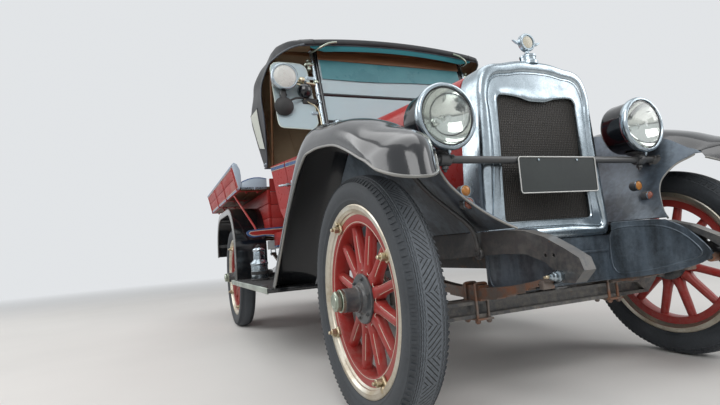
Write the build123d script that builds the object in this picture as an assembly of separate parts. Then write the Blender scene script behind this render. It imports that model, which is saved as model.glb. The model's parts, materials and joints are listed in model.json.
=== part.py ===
"""1920s open utility car: a two-seat cab with a soft top and a wooden load bed.

Millimetres, +Z up. The car faces -Y, its left side is +X, and the origin is on
the ground under the middle of the car. Places along the car are written as
distances behind the front axle and turned into Y by the function at().
"""
from build123d import *
from math import cos, pi, sin, sqrt
import os

# Overall layout
wheelbase = 2616.0
track = 1450.0
horn_tip = 505.0            # front axle to the tips of the frame horns
bed_end = 3740.0            # front axle to the back of the load bed
front_axle_y = (horn_tip - bed_end) / 2
sheet = 4.0                 # body sheet metal with its folded edges
seat_gap = 0.3              # gap between curved or soft faces that meet
move_gap = 6.0              # gap between a moving panel and what it closes on
pin_gap = 0.05              # radial clearance of a pin in its bore

# Wheels: wood spokes, a demountable rim and a 31 x 4 tyre
tyre_radius = 392.0
tyre_width = 116.0
rim_radius = 300.0
rim_width = 92.0
felloe_outer = 268.0
felloe_inner = 238.0
felloe_width = 58.0
spoke_count = 12
spoke_width = 33.0
spoke_depth = 42.0
hub_radius = 46.0
hub_inner = 42.0            # from the wheel's middle to the hub's inner end
hub_flange_radius = 79.0
hub_flange_thick = 8.0
hub_barrel_radius = 37.0
hub_barrel_end = 92.0
hub_cap_radius = 34.0
hub_cap_end = 125.0
lug_count = 4
drum_radius = 150.0
drum_depth = 52.0
spindle_radius = 17.0

# Front axle and steering
kingpin_inset = 88.0        # wheel's middle to the kingpin
kingpin_radius = 14.0
kingpin_x = track / 2 - kingpin_inset
eye_x = kingpin_x           # parallel arms, so both wheels turn alike
axle_beam_bottom = 282.0
axle_beam_height = 58.0
axle_beam_depth = 54.0
axle_beam_half = 520.0
yoke_height = 60.0
tie_rod_radius = 11.0
tie_rod_back = 150.0
tie_rod_z = 316.0

# Chassis frame
frame_half = 340.0
rail_flange = 42.0
rail_wall = 5.0
rail_top = 573.0
rail_depth = 82.0
kick_up = 110.0
kick_start = 1640.0
kick_end = 1980.0
belly = 22.0                # extra depth of the rail behind the front spring
frame_end = 3300.0
horn_eye_y = -425.0
horn_eye_z = 437.0
horn_hole_y = -405.0        # two bolt holes through the web near the horn
horn_hole_z = 492.0
horn_hole_pitch = 30.0
horn_hole_radius = 5.5
spring_width = 36.0
leaf_thick = 5.5
spring_bolt = 8.0
front_leaves = 7
rear_leaves = 8
spring_x = frame_half - rail_wall - 1 - spring_width / 2
rear_tube = 38.0            # radius of the rear axle tube
rear_spring_half = 560.0
rear_spring_rise = 88.0
rear_eye_z = tyre_radius + rear_tube + 2 + rear_leaves * leaf_thick + rear_spring_rise - 8

# Engine
gearbox_end = 1150.0
engine_half = 120.0

# Exhaust
exhaust_x = 190.0
exhaust_z = 430.0
exhaust_port_z = 520.0
exhaust_radius = 22.0
exhaust_front = 600.0
silencer_front = 1300.0
silencer_back = 1850.0
silencer_radius = 60.0
exhaust_back = 2350.0

# Radiator and hood
shell_front = -72.0
shell_back = 48.0
shell_bottom = 530.0
shell_top = 1213.0
shell_half_bottom = 300.0
shell_half_top = 270.0
shell_shoulder_z = 1085.0
core_half_bottom = 206.0
core_half_top = 190.0
core_bottom = 604.0
core_top = 1071.0
core_setback = 16.0
hood_gap = 3.0
cowl_front = 700.0
cowl_back = 985.0
cowl_top = 1215.0
cowl_half = 485.0
hood_bottom = 640.0
hood_split_z = 1066.0       # joint between the hood's top leaf and its side
cowl_hood_half = 405.0      # half width of the cowl where the hood meets it
cowl_shoulder = 1075.0
hood_hinge_z = shell_top - 1
hood_hinge_radius = 2.5
ledge_reach = 12.0          # how far the cowl's ledge runs under the hood

# Lamps
bar_y = -102.0
bar_z = 820.0
bar_radius = 13.0
lamp_x = 463.0
lamp_z = 956.0
lamp_front = -150.0
lamp_radius = 113.0
lamp_length = 165.0
plate_width = 372.0
plate_height = 134.0
plate_thick = 4.0
plate_x = 15.0              # the plate hangs a little to the left
signal_places = ((409.0, -130.0, 712.0), (424.0, -162.0, 667.0))   # middle of each lens
signal_radius = 19.0

# Cab
body_bottom = 600.0
belt_z = 1120.0
cab_back = 1700.0
cab_tuck = 1500.0
cab_half_front = 488.0
cab_half_back = 645.0
sill_half_front = 455.0
sill_half_back = 560.0
wall = 26.0
floor_thick = 22.0
door_front = 1000.0
door_back = 1452.0
door_bottom = 668.0
hinge_x = cab_half_front + 10
hinge_y = door_front - 2
hinge_pin = 5.0
hinge_barrel = 8.0
hinge_places = (720.0, 960.0)        # lower end of each hinge
hinge_length = 44.0
hinge_ear = 9.0
seat_front = 1180.0
seat_top = 865.0

# Steering column, from its foot (distance behind the axle, z) to its head
column_radius = 19.0
column_x = -250.0
column_foot = (560.0, 640.0)
column_head = (1190.0, 1150.0)
steering_radius = 210.0
steering_rim = 13.0

# Windscreen and soft top
screen_foot_y = 950.0
screen_foot_z = 1218.0
screen_top_y = 1085.0
screen_top_z = 1690.0
screen_half = 480.0
screen_bar = 20.0
divider_z = 1405.0
glass_thick = 5.0
roof_front = 985.0
roof_half = 700.0
roof_edge_z = 1665.0
roof_top_z = 1795.0
roof_back = 1955.0
roof_lip_z = 1732.0         # roof over its front edge
roof_wall = 12.0
quarter_front = 1465.0
roof_plan = (  # half width, distance behind the front axle
    (565, roof_front), (632, 1080), (690, 1200), (725, 1400), (760, 1560), (760, roof_back + 10))
bow_places = (1300.0, 1640.0)
bow_width = 24.0
bow_depth = 16.0
bow_foot_y = 1640.0
iron_radius = 7.0

# Gas generator on the right board, spot lamp by the right screen post
generator_place = (-725.0, 1780.0)
spot_place = (-700.0, 940.0, 1470.0)     # middle of the lens
spot_arm = 8.0

# Fenders and running boards
fender_inner = 600.0
fender_outer = 838.0
board_top = 388.0
board_thick = 24.0
board_outer = 860.0
board_inner = 590.0
board_front = 935.0
board_back = 2140.0

fender_rows = (  # crown y and z, lip y and z, drop of the inner edge; y behind the front axle
    (1020, 378, 880, 378, 26), (865, 526, 735, 527, 26), (700, 685, 570, 686, 26), (560, 819, 440, 792, 26),
    (437, 937, 360, 851, 26), (380, 981, 318, 873, 26), (290, 1014, 245, 904, 27), (200, 1017, 170, 905, 27),
    (103, 995, 85, 899, 29), (-50, 966, -58, 875, 29), (-160, 930, -160, 838, 40), (-250, 888, -250, 797, 55))
fender_inside = ((600, 1.0), (655, 0.27), (725, 0.0))          # x, share of the inner drop
fender_outside = ((785, 0.10), (822, 0.36), (836, 0.70), (834, 1.0))   # x, share from crown to lip
fender_nose = (  # rows of (x, distance behind the axle, z): over the brow, its ridge and the front lip
    ((602, -258, 828), (655, -305, 850), (722, -350, 850), (772, -360, 835), (812, -335, 815), (831, -300, 795),
     (834, -285, 782)),
    ((603, -265, 815), (655, -335, 826), (712, -408, 810), (762, -425, 800), (806, -390, 790), (829, -335, 778),
     (833, -310, 768)),
    ((605, -272, 800), (660, -362, 752), (722, -452, 718), (772, -472, 708), (811, -430, 717), (830, -360, 742),
     (833, -320, 762)))
apron_foot = frame_half + seat_gap
apron_knees = ((430.0, 0.29), (520.0, 0.60))   # x, share of the height from the rail to the fender
apron_edge = (  # front edge of the apron in plan: x, distance behind the axle
    (200, -400), (200, -281), (frame_half - 10, -281), (370, -244), (420, -203), (460, -175), (500, -165),
    (550, -193), (600, -265), (620, -290), (620, -400))
rear_fender_top = 928.0
rear_fender_back = 3170.0
rear_fender_foot = 560.0
rear_fender_round = 330.0
skirt_depth = 45.0

# Load bed
bed_front = 1985.0
bed_floor = 735.0
bed_half = 600.0
bed_board = 22.0
ledge_z = 1040.0
ledge_half = 800.0
flare_top = 1200.0
flare_half = 842.0
gate_pin = 8.0
gate_pivot = (bed_end - bed_board / 2, bed_floor + 16)


def at(distance):
    """Y of a place that lies this far behind the front axle."""
    return front_axle_y + distance


def block(x0, x1, y0, y1, z0, z1):
    """Rectangular block between two corners, y behind the front axle."""
    middle = Pos((x0 + x1) / 2, at((y0 + y1) / 2), (z0 + z1) / 2)
    return middle * Box(abs(x1 - x0), abs(y1 - y0), abs(z1 - z0))


def side_plate(points, x0, x1):
    """Straight-sided outline of (distance behind the axle, z), from x0 to x1."""
    outline = Polyline(*[(at(y), z) for y, z in points], close=True)
    return extrude(Plane.YZ.offset(x0) * make_face(outline), x1 - x0)


def front_plate_shape(points, y0, y1):
    """Straight-sided outline of (x, z), drawn along the car from y0 to y1."""
    outline = Polyline(*points, close=True)
    return extrude(Plane.XZ.offset(-at(y0)) * make_face(outline), -(y1 - y0))


def plan_plate(points, z0, z1):
    """Straight-sided outline of (x, distance behind the axle), from z0 to z1."""
    outline = Polyline(*[(x, at(y)) for x, y in points], close=True)
    return extrude(Plane.XY.offset(z0) * make_face(outline), z1 - z0)


def rod(start, end, radius):
    """Round bar between two points (x, distance behind the axle, z)."""
    a = Vector(start[0], at(start[1]), start[2])
    b = Vector(end[0], at(end[1]), end[2])
    return extrude(Plane(origin=a, z_dir=b - a) * Circle(radius), (b - a).length)


def turned(profile, x, y, z, direction):
    """Profile of (radius, distance along the axis) turned about an axis.

    The axis starts at x, y (behind the front axle), z and runs along direction.
    """
    face = make_face(Polyline(*profile, close=True))
    solid = revolve(Plane.XZ * face, Axis.Z)
    return Plane(origin=(x, at(y), z), z_dir=direction) * solid


def pair(shape):
    """The shape and its mirror image on the other side of the car."""
    return [shape, mirror(shape, Plane.YZ)]


def sided(shape, side):
    """A shape drawn on the left (+X), put on side +1 (left) or -1 (right)."""
    return shape if side > 0 else mirror(shape, Plane.YZ)


# Wheels

def wheel(drum):
    """Left-hand wheel about the X axis, outboard +X, without its tyre."""
    hub = [(spindle_radius + pin_gap, -hub_inner), (hub_radius, -hub_inner),
           (hub_radius, hub_flange_thick + spoke_depth / 2),
           (hub_barrel_radius, hub_flange_thick + spoke_depth / 2 + 6),
           (hub_barrel_radius, hub_barrel_end), (hub_cap_radius, hub_barrel_end),
           (hub_cap_radius, hub_cap_end - 8), (hub_cap_radius - 8, hub_cap_end),
           (0, hub_cap_end), (0, hub_barrel_end - 10),
           (spindle_radius + pin_gap, hub_barrel_end - 10)]
    flange = [(hub_radius - 1, spoke_depth / 2 - 1), (hub_flange_radius, spoke_depth / 2),
              (hub_flange_radius, spoke_depth / 2 + hub_flange_thick),
              (hub_radius - 1, spoke_depth / 2 + hub_flange_thick)]
    back_flange = [(hub_radius - 1, -spoke_depth / 2 - hub_flange_thick),
                   (hub_flange_radius, -spoke_depth / 2 - hub_flange_thick),
                   (hub_flange_radius, -spoke_depth / 2), (hub_radius - 1, -spoke_depth / 2)]
    felloe = [(felloe_inner, -felloe_width / 2 + 6), (felloe_inner + 6, -felloe_width / 2),
              (felloe_outer, -felloe_width / 2), (felloe_outer, felloe_width / 2),
              (felloe_inner + 6, felloe_width / 2), (felloe_inner, felloe_width / 2 - 6)]
    lip = 10.0
    rim = [(felloe_outer, -felloe_width / 2), (rim_radius - 12, -rim_width / 2),
           (rim_radius + lip, -rim_width / 2), (rim_radius + lip, -rim_width / 2 + 4),
           (rim_radius - 6, -rim_width / 2 + 8), (rim_radius - 6, rim_width / 2 - 8),
           (rim_radius + lip, rim_width / 2 - 4), (rim_radius + lip, rim_width / 2),
           (rim_radius - 12, rim_width / 2), (felloe_outer, felloe_width / 2)]
    rings = [hub, flange, back_flange, felloe, rim]
    if drum:
        wall_in = 6.0
        start = -spoke_depth / 2 - hub_flange_thick
        rings.append([(hub_radius - 1, start), (drum_radius, start),
                      (drum_radius, start - drum_depth), (drum_radius - wall_in, start - drum_depth),
                      (drum_radius - wall_in, start - wall_in), (hub_radius - 1, start - wall_in)])
    solid = None
    for profile in rings:
        ring = revolve(Plane.XZ * make_face(Polyline(*profile, close=True)), Axis.Z)
        solid = ring if solid is None else solid + ring
    root = hub_radius - 2
    wedge = 2 * root * sin(pi / spoke_count)
    for i in range(spoke_count):
        foot = Plane(origin=(root, 0, 0), x_dir=(0, 1, 0), z_dir=(1, 0, 0))
        head = Plane(origin=(felloe_inner + 2, 0, 0), x_dir=(0, 1, 0), z_dir=(1, 0, 0))
        neck = Plane(origin=(hub_flange_radius + 25, 0, 0), x_dir=(0, 1, 0), z_dir=(1, 0, 0))
        lower = loft([foot * RectangleRounded(wedge, spoke_depth, 3),
                      neck * RectangleRounded(spoke_width, spoke_depth - 2, 12)], ruled=True)
        upper = loft([neck * RectangleRounded(spoke_width, spoke_depth - 2, 12),
                      head * RectangleRounded(spoke_width - 6, spoke_depth - 10, 10)], ruled=True)
        solid += Rot(0, 0, 360 * (i + 0.5) / spoke_count) * (lower + upper)
    for i in range(lug_count):
        lug = Pos(felloe_outer - 6, 0, felloe_width / 2 + 7) * Box(44, 26, 14)
        solid += Rot(0, 0, 360 * (i + 0.5) / lug_count) * lug
    return Rot(0, 90, 0) * solid


def tyre():
    """Tyre about the X axis, on its rim."""
    half = tyre_width / 2
    bead = rim_width / 2 - 8 - seat_gap
    foot = rim_radius - 6 + seat_gap
    outline = [Line((foot, -bead), (foot, bead)), Line((foot, bead), (rim_radius + 12, bead)),
               ThreePointArc((rim_radius + 12, bead), (rim_radius + 46, half), (tyre_radius - 16, half - 8)),
               Line((tyre_radius - 16, half - 8), (tyre_radius - 5, half - 18)),
               ThreePointArc((tyre_radius - 5, half - 18), (tyre_radius, 0), (tyre_radius - 5, 18 - half)),
               Line((tyre_radius - 5, 18 - half), (tyre_radius - 16, 8 - half)),
               ThreePointArc((tyre_radius - 16, 8 - half), (rim_radius + 46, -half), (rim_radius + 12, -bead)),
               Line((rim_radius + 12, -bead), (foot, -bead))]
    ring = revolve(Plane.XZ * make_face(outline), Axis.Z)
    return Rot(0, 90, 0) * ring


def place_wheel(shape, side, distance):
    """Put a wheel or tyre at its axle end; side is +1 left or -1 right."""
    return Pos(side * track / 2, at(distance), tyre_radius) * sided(shape, side)


# Front axle, knuckles and tie rod

def front_axle():
    """Drop-forged I beam with an eye for the kingpin at each end."""
    top = axle_beam_bottom + axle_beam_height
    mid = tyre_radius
    low = mid - yoke_height / 2
    high = mid + yoke_height / 2
    half = axle_beam_half
    end = kingpin_x - 10
    flat = kingpin_x - 30
    left = [(half, axle_beam_bottom), (flat, low), (end, low), (end, high), (end - 30, high), (half - 40, top)]
    outline = left + [(-x, z) for x, z in reversed(left)]
    d = axle_beam_depth / 2
    beam = front_plate_shape(outline, -d, d)
    web = 7.0
    flange = 12.0
    pocket = [(-half + 20, axle_beam_bottom + flange), (half - 20, axle_beam_bottom + flange),
              (half - 60, top - flange), (-half + 60, top - flange)]
    beam -= front_plate_shape(pocket, -d, -web)
    beam -= front_plate_shape(pocket, web, d)
    for side in (-1, 1):
        beam += rod((side * kingpin_x, 0, low), (side * kingpin_x, 0, high), 26)
    for side in (-1, 1):
        beam -= rod((side * kingpin_x, 0, low - 1), (side * kingpin_x, 0, high + 1), kingpin_radius + pin_gap)
    return beam


def knuckle(side):
    """Steering knuckle: yoke round the axle's eye, kingpin, spindle and arm."""
    low = tyre_radius - yoke_height / 2
    high = tyre_radius + yoke_height / 2
    ear = 16.0
    x = side * kingpin_x
    back = kingpin_x + 28 + seat_gap
    shape = rod((x, 0, low - seat_gap - ear), (x, 0, low - seat_gap), 26)
    shape += rod((x, 0, high + seat_gap), (x, 0, high + seat_gap + ear), 26)
    shape += block(side * back, side * (back + 12), -26, 26, low - seat_gap - ear, high + seat_gap + ear)
    shape += block(x, side * (back + 4), -22, 22, low - seat_gap - ear, low - seat_gap)
    shape += block(x, side * (back + 4), -22, 22, high + seat_gap, high + seat_gap + ear)
    shape += rod((x, 0, low - seat_gap - ear - 4), (x, 0, high + seat_gap + ear + 6), kingpin_radius)
    shape += rod((side * back, 0, tyre_radius), (side * (track / 2 + hub_barrel_end - 16), 0, tyre_radius),
                 spindle_radius)
    arm_z = tie_rod_z + tie_rod_radius + 5
    arm = plan_plate([(x - side * 14, 0), (x + side * 18, 0), (side * (eye_x + 16), tie_rod_back),
                      (side * (eye_x - 16), tie_rod_back)], arm_z, arm_z + 14)
    shape += arm
    shape += rod((x, 0, arm_z), (x, 0, low - seat_gap - ear), 20)
    shape += rod((side * eye_x, tie_rod_back, arm_z), (side * eye_x, tie_rod_back, arm_z + 14), 18)
    shape += rod((side * eye_x, tie_rod_back, tie_rod_z - 14), (side * eye_x, tie_rod_back, arm_z + 2), 8)
    return shape


def tie_rod():
    """Rod that joins the two knuckle arms; its left eye is cut clear of the pin."""
    shape = rod((-eye_x + 14, tie_rod_back, tie_rod_z), (eye_x - 20, tie_rod_back, tie_rod_z), tie_rod_radius)
    shape += rod((-eye_x, tie_rod_back, tie_rod_z - 12), (-eye_x, tie_rod_back, tie_rod_z + 12), 18)
    shape += rod((eye_x, tie_rod_back, tie_rod_z - 12), (eye_x, tie_rod_back, tie_rod_z + 12), 22)
    shape -= rod((-eye_x, tie_rod_back, tie_rod_z - 20), (-eye_x, tie_rod_back, tie_rod_z + 20), 8 + pin_gap)
    shape -= rod((eye_x, tie_rod_back, tie_rod_z - 20), (eye_x, tie_rod_back, tie_rod_z + 20), 8 + 5)
    return shape


# Frame

def rail():
    """Left frame rail: a channel that opens inwards, with a drooping horn."""
    top_z = rail_top + kick_up
    low_back = top_z - rail_depth
    outline = [(-horn_tip, 452), (-horn_tip + 12, 484), (-447, 510), (-375, 545), (-300, 566), (-220, rail_top),
               (kick_start, rail_top), (kick_end, top_z), (frame_end, top_z), (frame_end, low_back),
               (kick_end + 20, low_back), (kick_start + 20, rail_top - rail_depth - belly),
               (500, rail_top - rail_depth - belly), (0, rail_top - rail_depth), (-200, 499), (-300, 496),
               (-370, 474), (-400, 452), (-430, 418), (-horn_tip + 35, 418)]
    solid = side_plate(outline, frame_half - rail_flange, frame_half)
    pocket = [(-460, 470), (-420, 500), (-372, 528), (-296, rail_top - 20), (-214, rail_top - rail_wall),
              (kick_start - 2, rail_top - rail_wall), (kick_end - 2, top_z - rail_wall),
              (frame_end + 1, top_z - rail_wall), (frame_end + 1, low_back + rail_wall),
              (kick_end + 18, low_back + rail_wall), (kick_start + 18, rail_top - rail_depth - belly + rail_wall),
              (500, rail_top - rail_depth - belly + rail_wall), (0, rail_top - rail_depth + rail_wall),
              (-200, 504), (-296, 501), (-380, 482), (-410, 462), (-430, 460)]
    solid -= side_plate(pocket, frame_half - rail_flange - 1, frame_half - rail_wall)
    mouth = [(-460, 463), (-380, 476), (-372, 400), (-460, 400)]
    solid -= side_plate(mouth, frame_half - rail_flange - 1, frame_half - rail_wall)
    inside = frame_half - rail_flange - 1
    outside = frame_half + 1
    solid -= rod((inside, horn_eye_y, horn_eye_z), (outside, horn_eye_y, horn_eye_z), spring_bolt + pin_gap)
    for y in (horn_hole_y, horn_hole_y + horn_hole_pitch):
        solid -= rod((inside, y, horn_hole_z), (outside, y, horn_hole_z), horn_hole_radius)
    return solid


def rail_low(y):
    """Height of the rail's underside this far behind the front axle."""
    if y > kick_end + 20:
        return rail_top + kick_up - rail_depth
    return rail_top - rail_depth - belly * min(y / 500, 1)


def cross_members():
    """Cross members between the rails, set face to face with their webs."""
    reach = frame_half - rail_wall
    rows = [  # y from, y to, z bottom, z top
        (-40, 40, shell_bottom - 30, shell_bottom),
        (gearbox_end, gearbox_end + 65, 490, 560),
        (2240, 2300, 612, rail_top + kick_up - 8),
        (frame_end - 70, frame_end - 10, 612, rail_top + kick_up - 8)]
    return [block(-reach, reach, *row) for row in rows]


def leaf_pack(centre, half, rise, leaves, bottom):
    """Stack of leaves on one side, seen in (y, z), drawn over the spring's width."""
    radius = (half * half + rise * rise) / (2 * rise)
    top = bottom + leaves * leaf_thick
    middle_z = top + radius
    pack = None
    for i in range(leaves):
        reach = half * (1 - 0.8 * i / leaves)
        angle = reach / radius
        r0 = radius + i * leaf_thick
        r1 = r0 + leaf_thick
        def spot(r, a):
            return (at(centre) + r * sin(a), middle_z - r * cos(a))
        edges = [ThreePointArc(spot(r0, -angle), spot(r0, 0), spot(r0, angle)),
                 Line(spot(r0, angle), spot(r1, angle)),
                 ThreePointArc(spot(r1, angle), spot(r1, 0), spot(r1, -angle)),
                 Line(spot(r1, -angle), spot(r0, -angle))]
        leaf = make_face(edges)
        pack = leaf if pack is None else pack + leaf
    solid = extrude(Plane.YZ.offset(spring_x - spring_width / 2) * pack, spring_width)
    return solid


def spring_eye(y, z, radius, width=None):
    """Rolled eye across the car at a spring's end."""
    w = spring_width if width is None else width
    return rod((spring_x - w / 2, y, z), (spring_x + w / 2, y, z), radius)


def eyed_pack(centre, half, rise, leaves, bottom, eye_z):
    """Leaf pack with a bored eye at each end."""
    shape = leaf_pack(centre, half, rise, leaves, bottom)
    for y in (centre - half, centre + half):
        shape += spring_eye(y, eye_z, 15)
    for y in (centre - half, centre + half):
        shape -= spring_eye(y, eye_z, spring_bolt + pin_gap, spring_width + 2)
    return shape


def front_spring():
    """Left front spring on its axle pad, under a clamp plate."""
    bottom = axle_beam_bottom + axle_beam_height + 6
    half = -horn_eye_y
    top = bottom + front_leaves * leaf_thick
    shape = eyed_pack(0, half, horn_eye_z + 8 - top, front_leaves, bottom, horn_eye_z)
    half_clamp = spring_width / 2 + 1.5
    shape += block(spring_x - half_clamp, spring_x + half_clamp, -50, 50, bottom - 6, bottom + 1)
    shape += block(spring_x - half_clamp, spring_x + half_clamp, -50, 50, top - 2, top + 8)
    return shape


def rear_spring():
    """Left rear spring, over the axle tube."""
    bottom = tyre_radius + rear_tube + 2
    top = bottom + rear_leaves * leaf_thick
    shape = eyed_pack(wheelbase, rear_spring_half, rear_spring_rise, rear_leaves, bottom, rear_eye_z)
    shape += block(spring_x - 26, spring_x + 26, wheelbase - 60, wheelbase + 60, top - 2, top + 8)
    pad_low = tyre_radius + rear_tube
    shape += block(spring_x - 26, spring_x + 26, wheelbase - 24, wheelbase + 24, pad_low, bottom + 1)
    return shape


def hanger(y, eye_z):
    """U bracket under the left rail with the bolt through a spring's eye."""
    inner = spring_x - spring_width / 2 - seat_gap
    outer = spring_x + spring_width / 2 + seat_gap
    top = min(rail_low(y - 14), rail_low(y + 14))
    cheek = 6.0
    shape = block(inner - cheek, inner, y - 14, y + 14, eye_z - 16, top)
    shape += block(outer, outer + cheek, y - 14, y + 14, eye_z - 16, top)
    shape += block(inner - cheek, outer + cheek, y - 14, y + 14, top - 6, top)
    shape += rod((inner - cheek - 6, y, eye_z), (outer + cheek + 6, y, eye_z), spring_bolt)
    return shape


def horn_bolt():
    """Bolt through the horn and the front eye, with its head outside."""
    inner = spring_x - spring_width / 2
    shape = rod((inner, horn_eye_y, horn_eye_z), (frame_half + 6, horn_eye_y, horn_eye_z), spring_bolt)
    shape += rod((frame_half, horn_eye_y, horn_eye_z), (frame_half + 12, horn_eye_y, horn_eye_z), 14)
    return shape


def rear_axle():
    """Axle housing with its banjo, torque tube and spindles."""
    end = track / 2 - hub_inner - 14
    shape = rod((-end, wheelbase, tyre_radius), (end, wheelbase, tyre_radius), rear_tube)
    banjo = turned([(0, -95), (60, -95), (120, -50), (140, 0), (120, 60), (60, 100), (0, 100)],
                   0, wheelbase, tyre_radius, (0, 1, 0))
    shape += banjo
    shape += rod((0, gearbox_end + 68, 500), (0, wheelbase, tyre_radius), 30)
    tip = track / 2 + hub_barrel_end - 16
    shape += rod((-tip, wheelbase, tyre_radius), (tip, wheelbase, tyre_radius), spindle_radius)
    for side in (-1, 1):
        plate_x = track / 2 - spoke_depth / 2 - hub_flange_thick - drum_depth - 4
        shape += rod((side * (plate_x - 5), wheelbase, tyre_radius), (side * plate_x, wheelbase, tyre_radius),
                     drum_radius - 2)
    return shape


# Engine and exhaust

def engine():
    """Plain block of the engine with its gearbox."""
    outline = [(40, shell_bottom - 28), (110, shell_bottom - 40), (150, 430), (560, 430), (640, 470),
               (gearbox_end, 480), (gearbox_end, 560), (cowl_front - 20, 590), (cowl_front - 20, 700), (660, 930),
               (640, 985), (120, 985), (110, shell_bottom + 20), (60, shell_bottom - 2), (40, shell_bottom - 2)]
    return side_plate(outline, -engine_half, engine_half)


# Radiator

def shell_outline(grow, z_bottom):
    """Outline of the radiator shell in (x, z), made larger or smaller by grow."""
    b = shell_half_bottom + grow
    t = shell_half_top + grow
    z_top = shell_top + grow
    corner = (t - 34, shell_shoulder_z + 84 + grow * 0.7)
    inner = (t - 118, z_top - 18)
    return [Line((-b, z_bottom), (b, z_bottom)), Line((b, z_bottom), (t, shell_shoulder_z)),
            ThreePointArc((t, shell_shoulder_z), corner, inner),
            ThreePointArc(inner, (0, z_top), (-inner[0], inner[1])),
            ThreePointArc((-inner[0], inner[1]), (-corner[0], corner[1]), (-t, shell_shoulder_z)),
            Line((-t, shell_shoulder_z), (-b, z_bottom))]


def core_outline(grow):
    """Outline of the core: its top edge is high at the corners and dips between."""
    b = core_half_bottom + grow
    t = core_half_top + grow
    low = core_bottom - grow
    top = core_top + grow
    return [Line((-b, low), (b, low)), Line((b, low), (t, top - 22)),
            ThreePointArc((t, top - 22), (t - 12, top - 5), (t - 34, top)),
            ThreePointArc((t - 34, top), (t - 100, top - 4), (0, top - 20)),
            ThreePointArc((0, top - 20), (100 - t, top - 4), (34 - t, top)),
            ThreePointArc((34 - t, top), (12 - t, top - 5), (-t, top - 22)), Line((-t, top - 22), (-b, low))]


def drawn_along(edges, y0, y1):
    """Outline of edges in (x, z), drawn along the car from y0 to y1."""
    return extrude(Plane.XZ.offset(-at(y0)) * make_face(edges), -(y1 - y0))


def radiator_shell():
    """Nickel shell round the core, open at the back."""
    rim = 9.0
    shape = drawn_along(shell_outline(0, shell_bottom), shell_front, shell_back)
    front = shape.faces().sort_by(Axis.Y)[0]
    shape = fillet(front.outer_wire().edges(), rim)
    shape -= drawn_along(core_outline(0), shell_front - 1, shell_back + 1)
    behind = shell_front + core_setback + 4
    shape -= drawn_along(shell_outline(-sheet * 3, shell_bottom + 40), behind, shell_back + 1)
    return shape


def radiator_core():
    """Core block, set back behind the shell's face."""
    front = shell_front + core_setback + 4 + seat_gap
    return drawn_along(shell_outline(-sheet * 3 - seat_gap, shell_bottom + 40 + seat_gap), front, shell_back - 6)


def radiator_cap():
    """Filler cap with a round dial."""
    y = (shell_front + shell_back) / 2 - 30
    base = shell_top - 3
    shape = turned([(0, 0), (34, 0), (34, 8), (26, 14), (26, 30), (0, 30)], 0, y, base, (0, 0, 1))
    shape -= drawn_along(shell_outline(seat_gap, shell_bottom), shell_front, shell_back)
    shape += rod((0, y, base + 28), (0, y, base + 60), 8)
    shape += rod((0, y - 9, base + 82), (0, y + 9, base + 82), 36)
    return shape


# Hood and cowl

def body_section(y, half_bottom, half_top, shoulder_z, top_z, z_bottom, grow):
    """Closed outline across the car at y: straight sides under an arched top."""
    b = half_bottom + grow
    t = half_top + grow
    zt = top_z + grow
    arc_x = t * 0.72
    arc_z = zt - (zt - shoulder_z) * 0.20
    knee = (t * 0.93, shoulder_z + (zt - shoulder_z) * 0.52)
    edges = [Line((-b, z_bottom), (b, z_bottom)), Line((b, z_bottom), (t, shoulder_z)),
             ThreePointArc((t, shoulder_z), knee, (arc_x, arc_z)),
             ThreePointArc((arc_x, arc_z), (0, zt), (-arc_x, arc_z)),
             ThreePointArc((-arc_x, arc_z), (-knee[0], knee[1]), (-t, shoulder_z)),
             Line((-t, shoulder_z), (-b, z_bottom))]
    return Plane.XZ.offset(-at(y)) * make_face(edges)


def hood_solid(grow, y0, y1, z_bottom):
    """Body of the hood between the shell and the cowl."""
    def half_at(y):
        share = (y - shell_back) / (cowl_front - shell_back)
        return shell_half_top + (cowl_hood_half - shell_half_top) * share
    def shoulder_at(y):
        share = (y - shell_back) / (cowl_front - shell_back)
        return shell_shoulder_z + (cowl_shoulder - shell_shoulder_z) * share
    return loft([body_section(y, half_at(y) + 14, half_at(y), shoulder_at(y), shell_top - 2, z_bottom, grow)
                 for y in (y0, y1)], ruled=True)


def hood_shell():
    """Whole hood as one open sheet."""
    y0 = shell_back + hood_gap
    y1 = cowl_front - hood_gap
    shell = hood_solid(0, y0, y1, hood_bottom)
    return shell - hood_solid(-sheet, y0 - 10, y1 + 10, hood_bottom - 20)


def hood_top(side):
    """Top leaf of the hood, hinged along the middle."""
    reach = block(side * 3, side * 900, 0, cowl_front, hood_split_z + hood_gap / 2, shell_top + 60)
    return hood_shell() & reach


def hood_side(side):
    """Side panel of the hood under the top leaf."""
    reach = block(side * 100, side * 900, 0, cowl_front, hood_bottom - 50, hood_split_z - hood_gap / 2)
    return hood_shell() & reach


def cowl():
    """Cowl with the firewall, from the hood to the windscreen."""
    def section(y, half, shoulder, top, grow, low):
        return body_section(y, half + 8, half, shoulder, top, low, grow)
    outer = loft([section(cowl_front, cowl_hood_half, cowl_shoulder, shell_top - 2, 0, body_bottom),
                  section(cowl_back, cowl_half, cowl_shoulder + 15, cowl_top + 8, 0, body_bottom)], ruled=True)
    inner = loft([section(cowl_front + 16, cowl_hood_half, cowl_shoulder, shell_top - 2, -14, body_bottom - 20),
                  section(cowl_back + 1, cowl_half, cowl_shoulder + 15, cowl_top + 8, -14, body_bottom - 20)],
                 ruled=True)
    return outer - inner


# Cab

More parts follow.
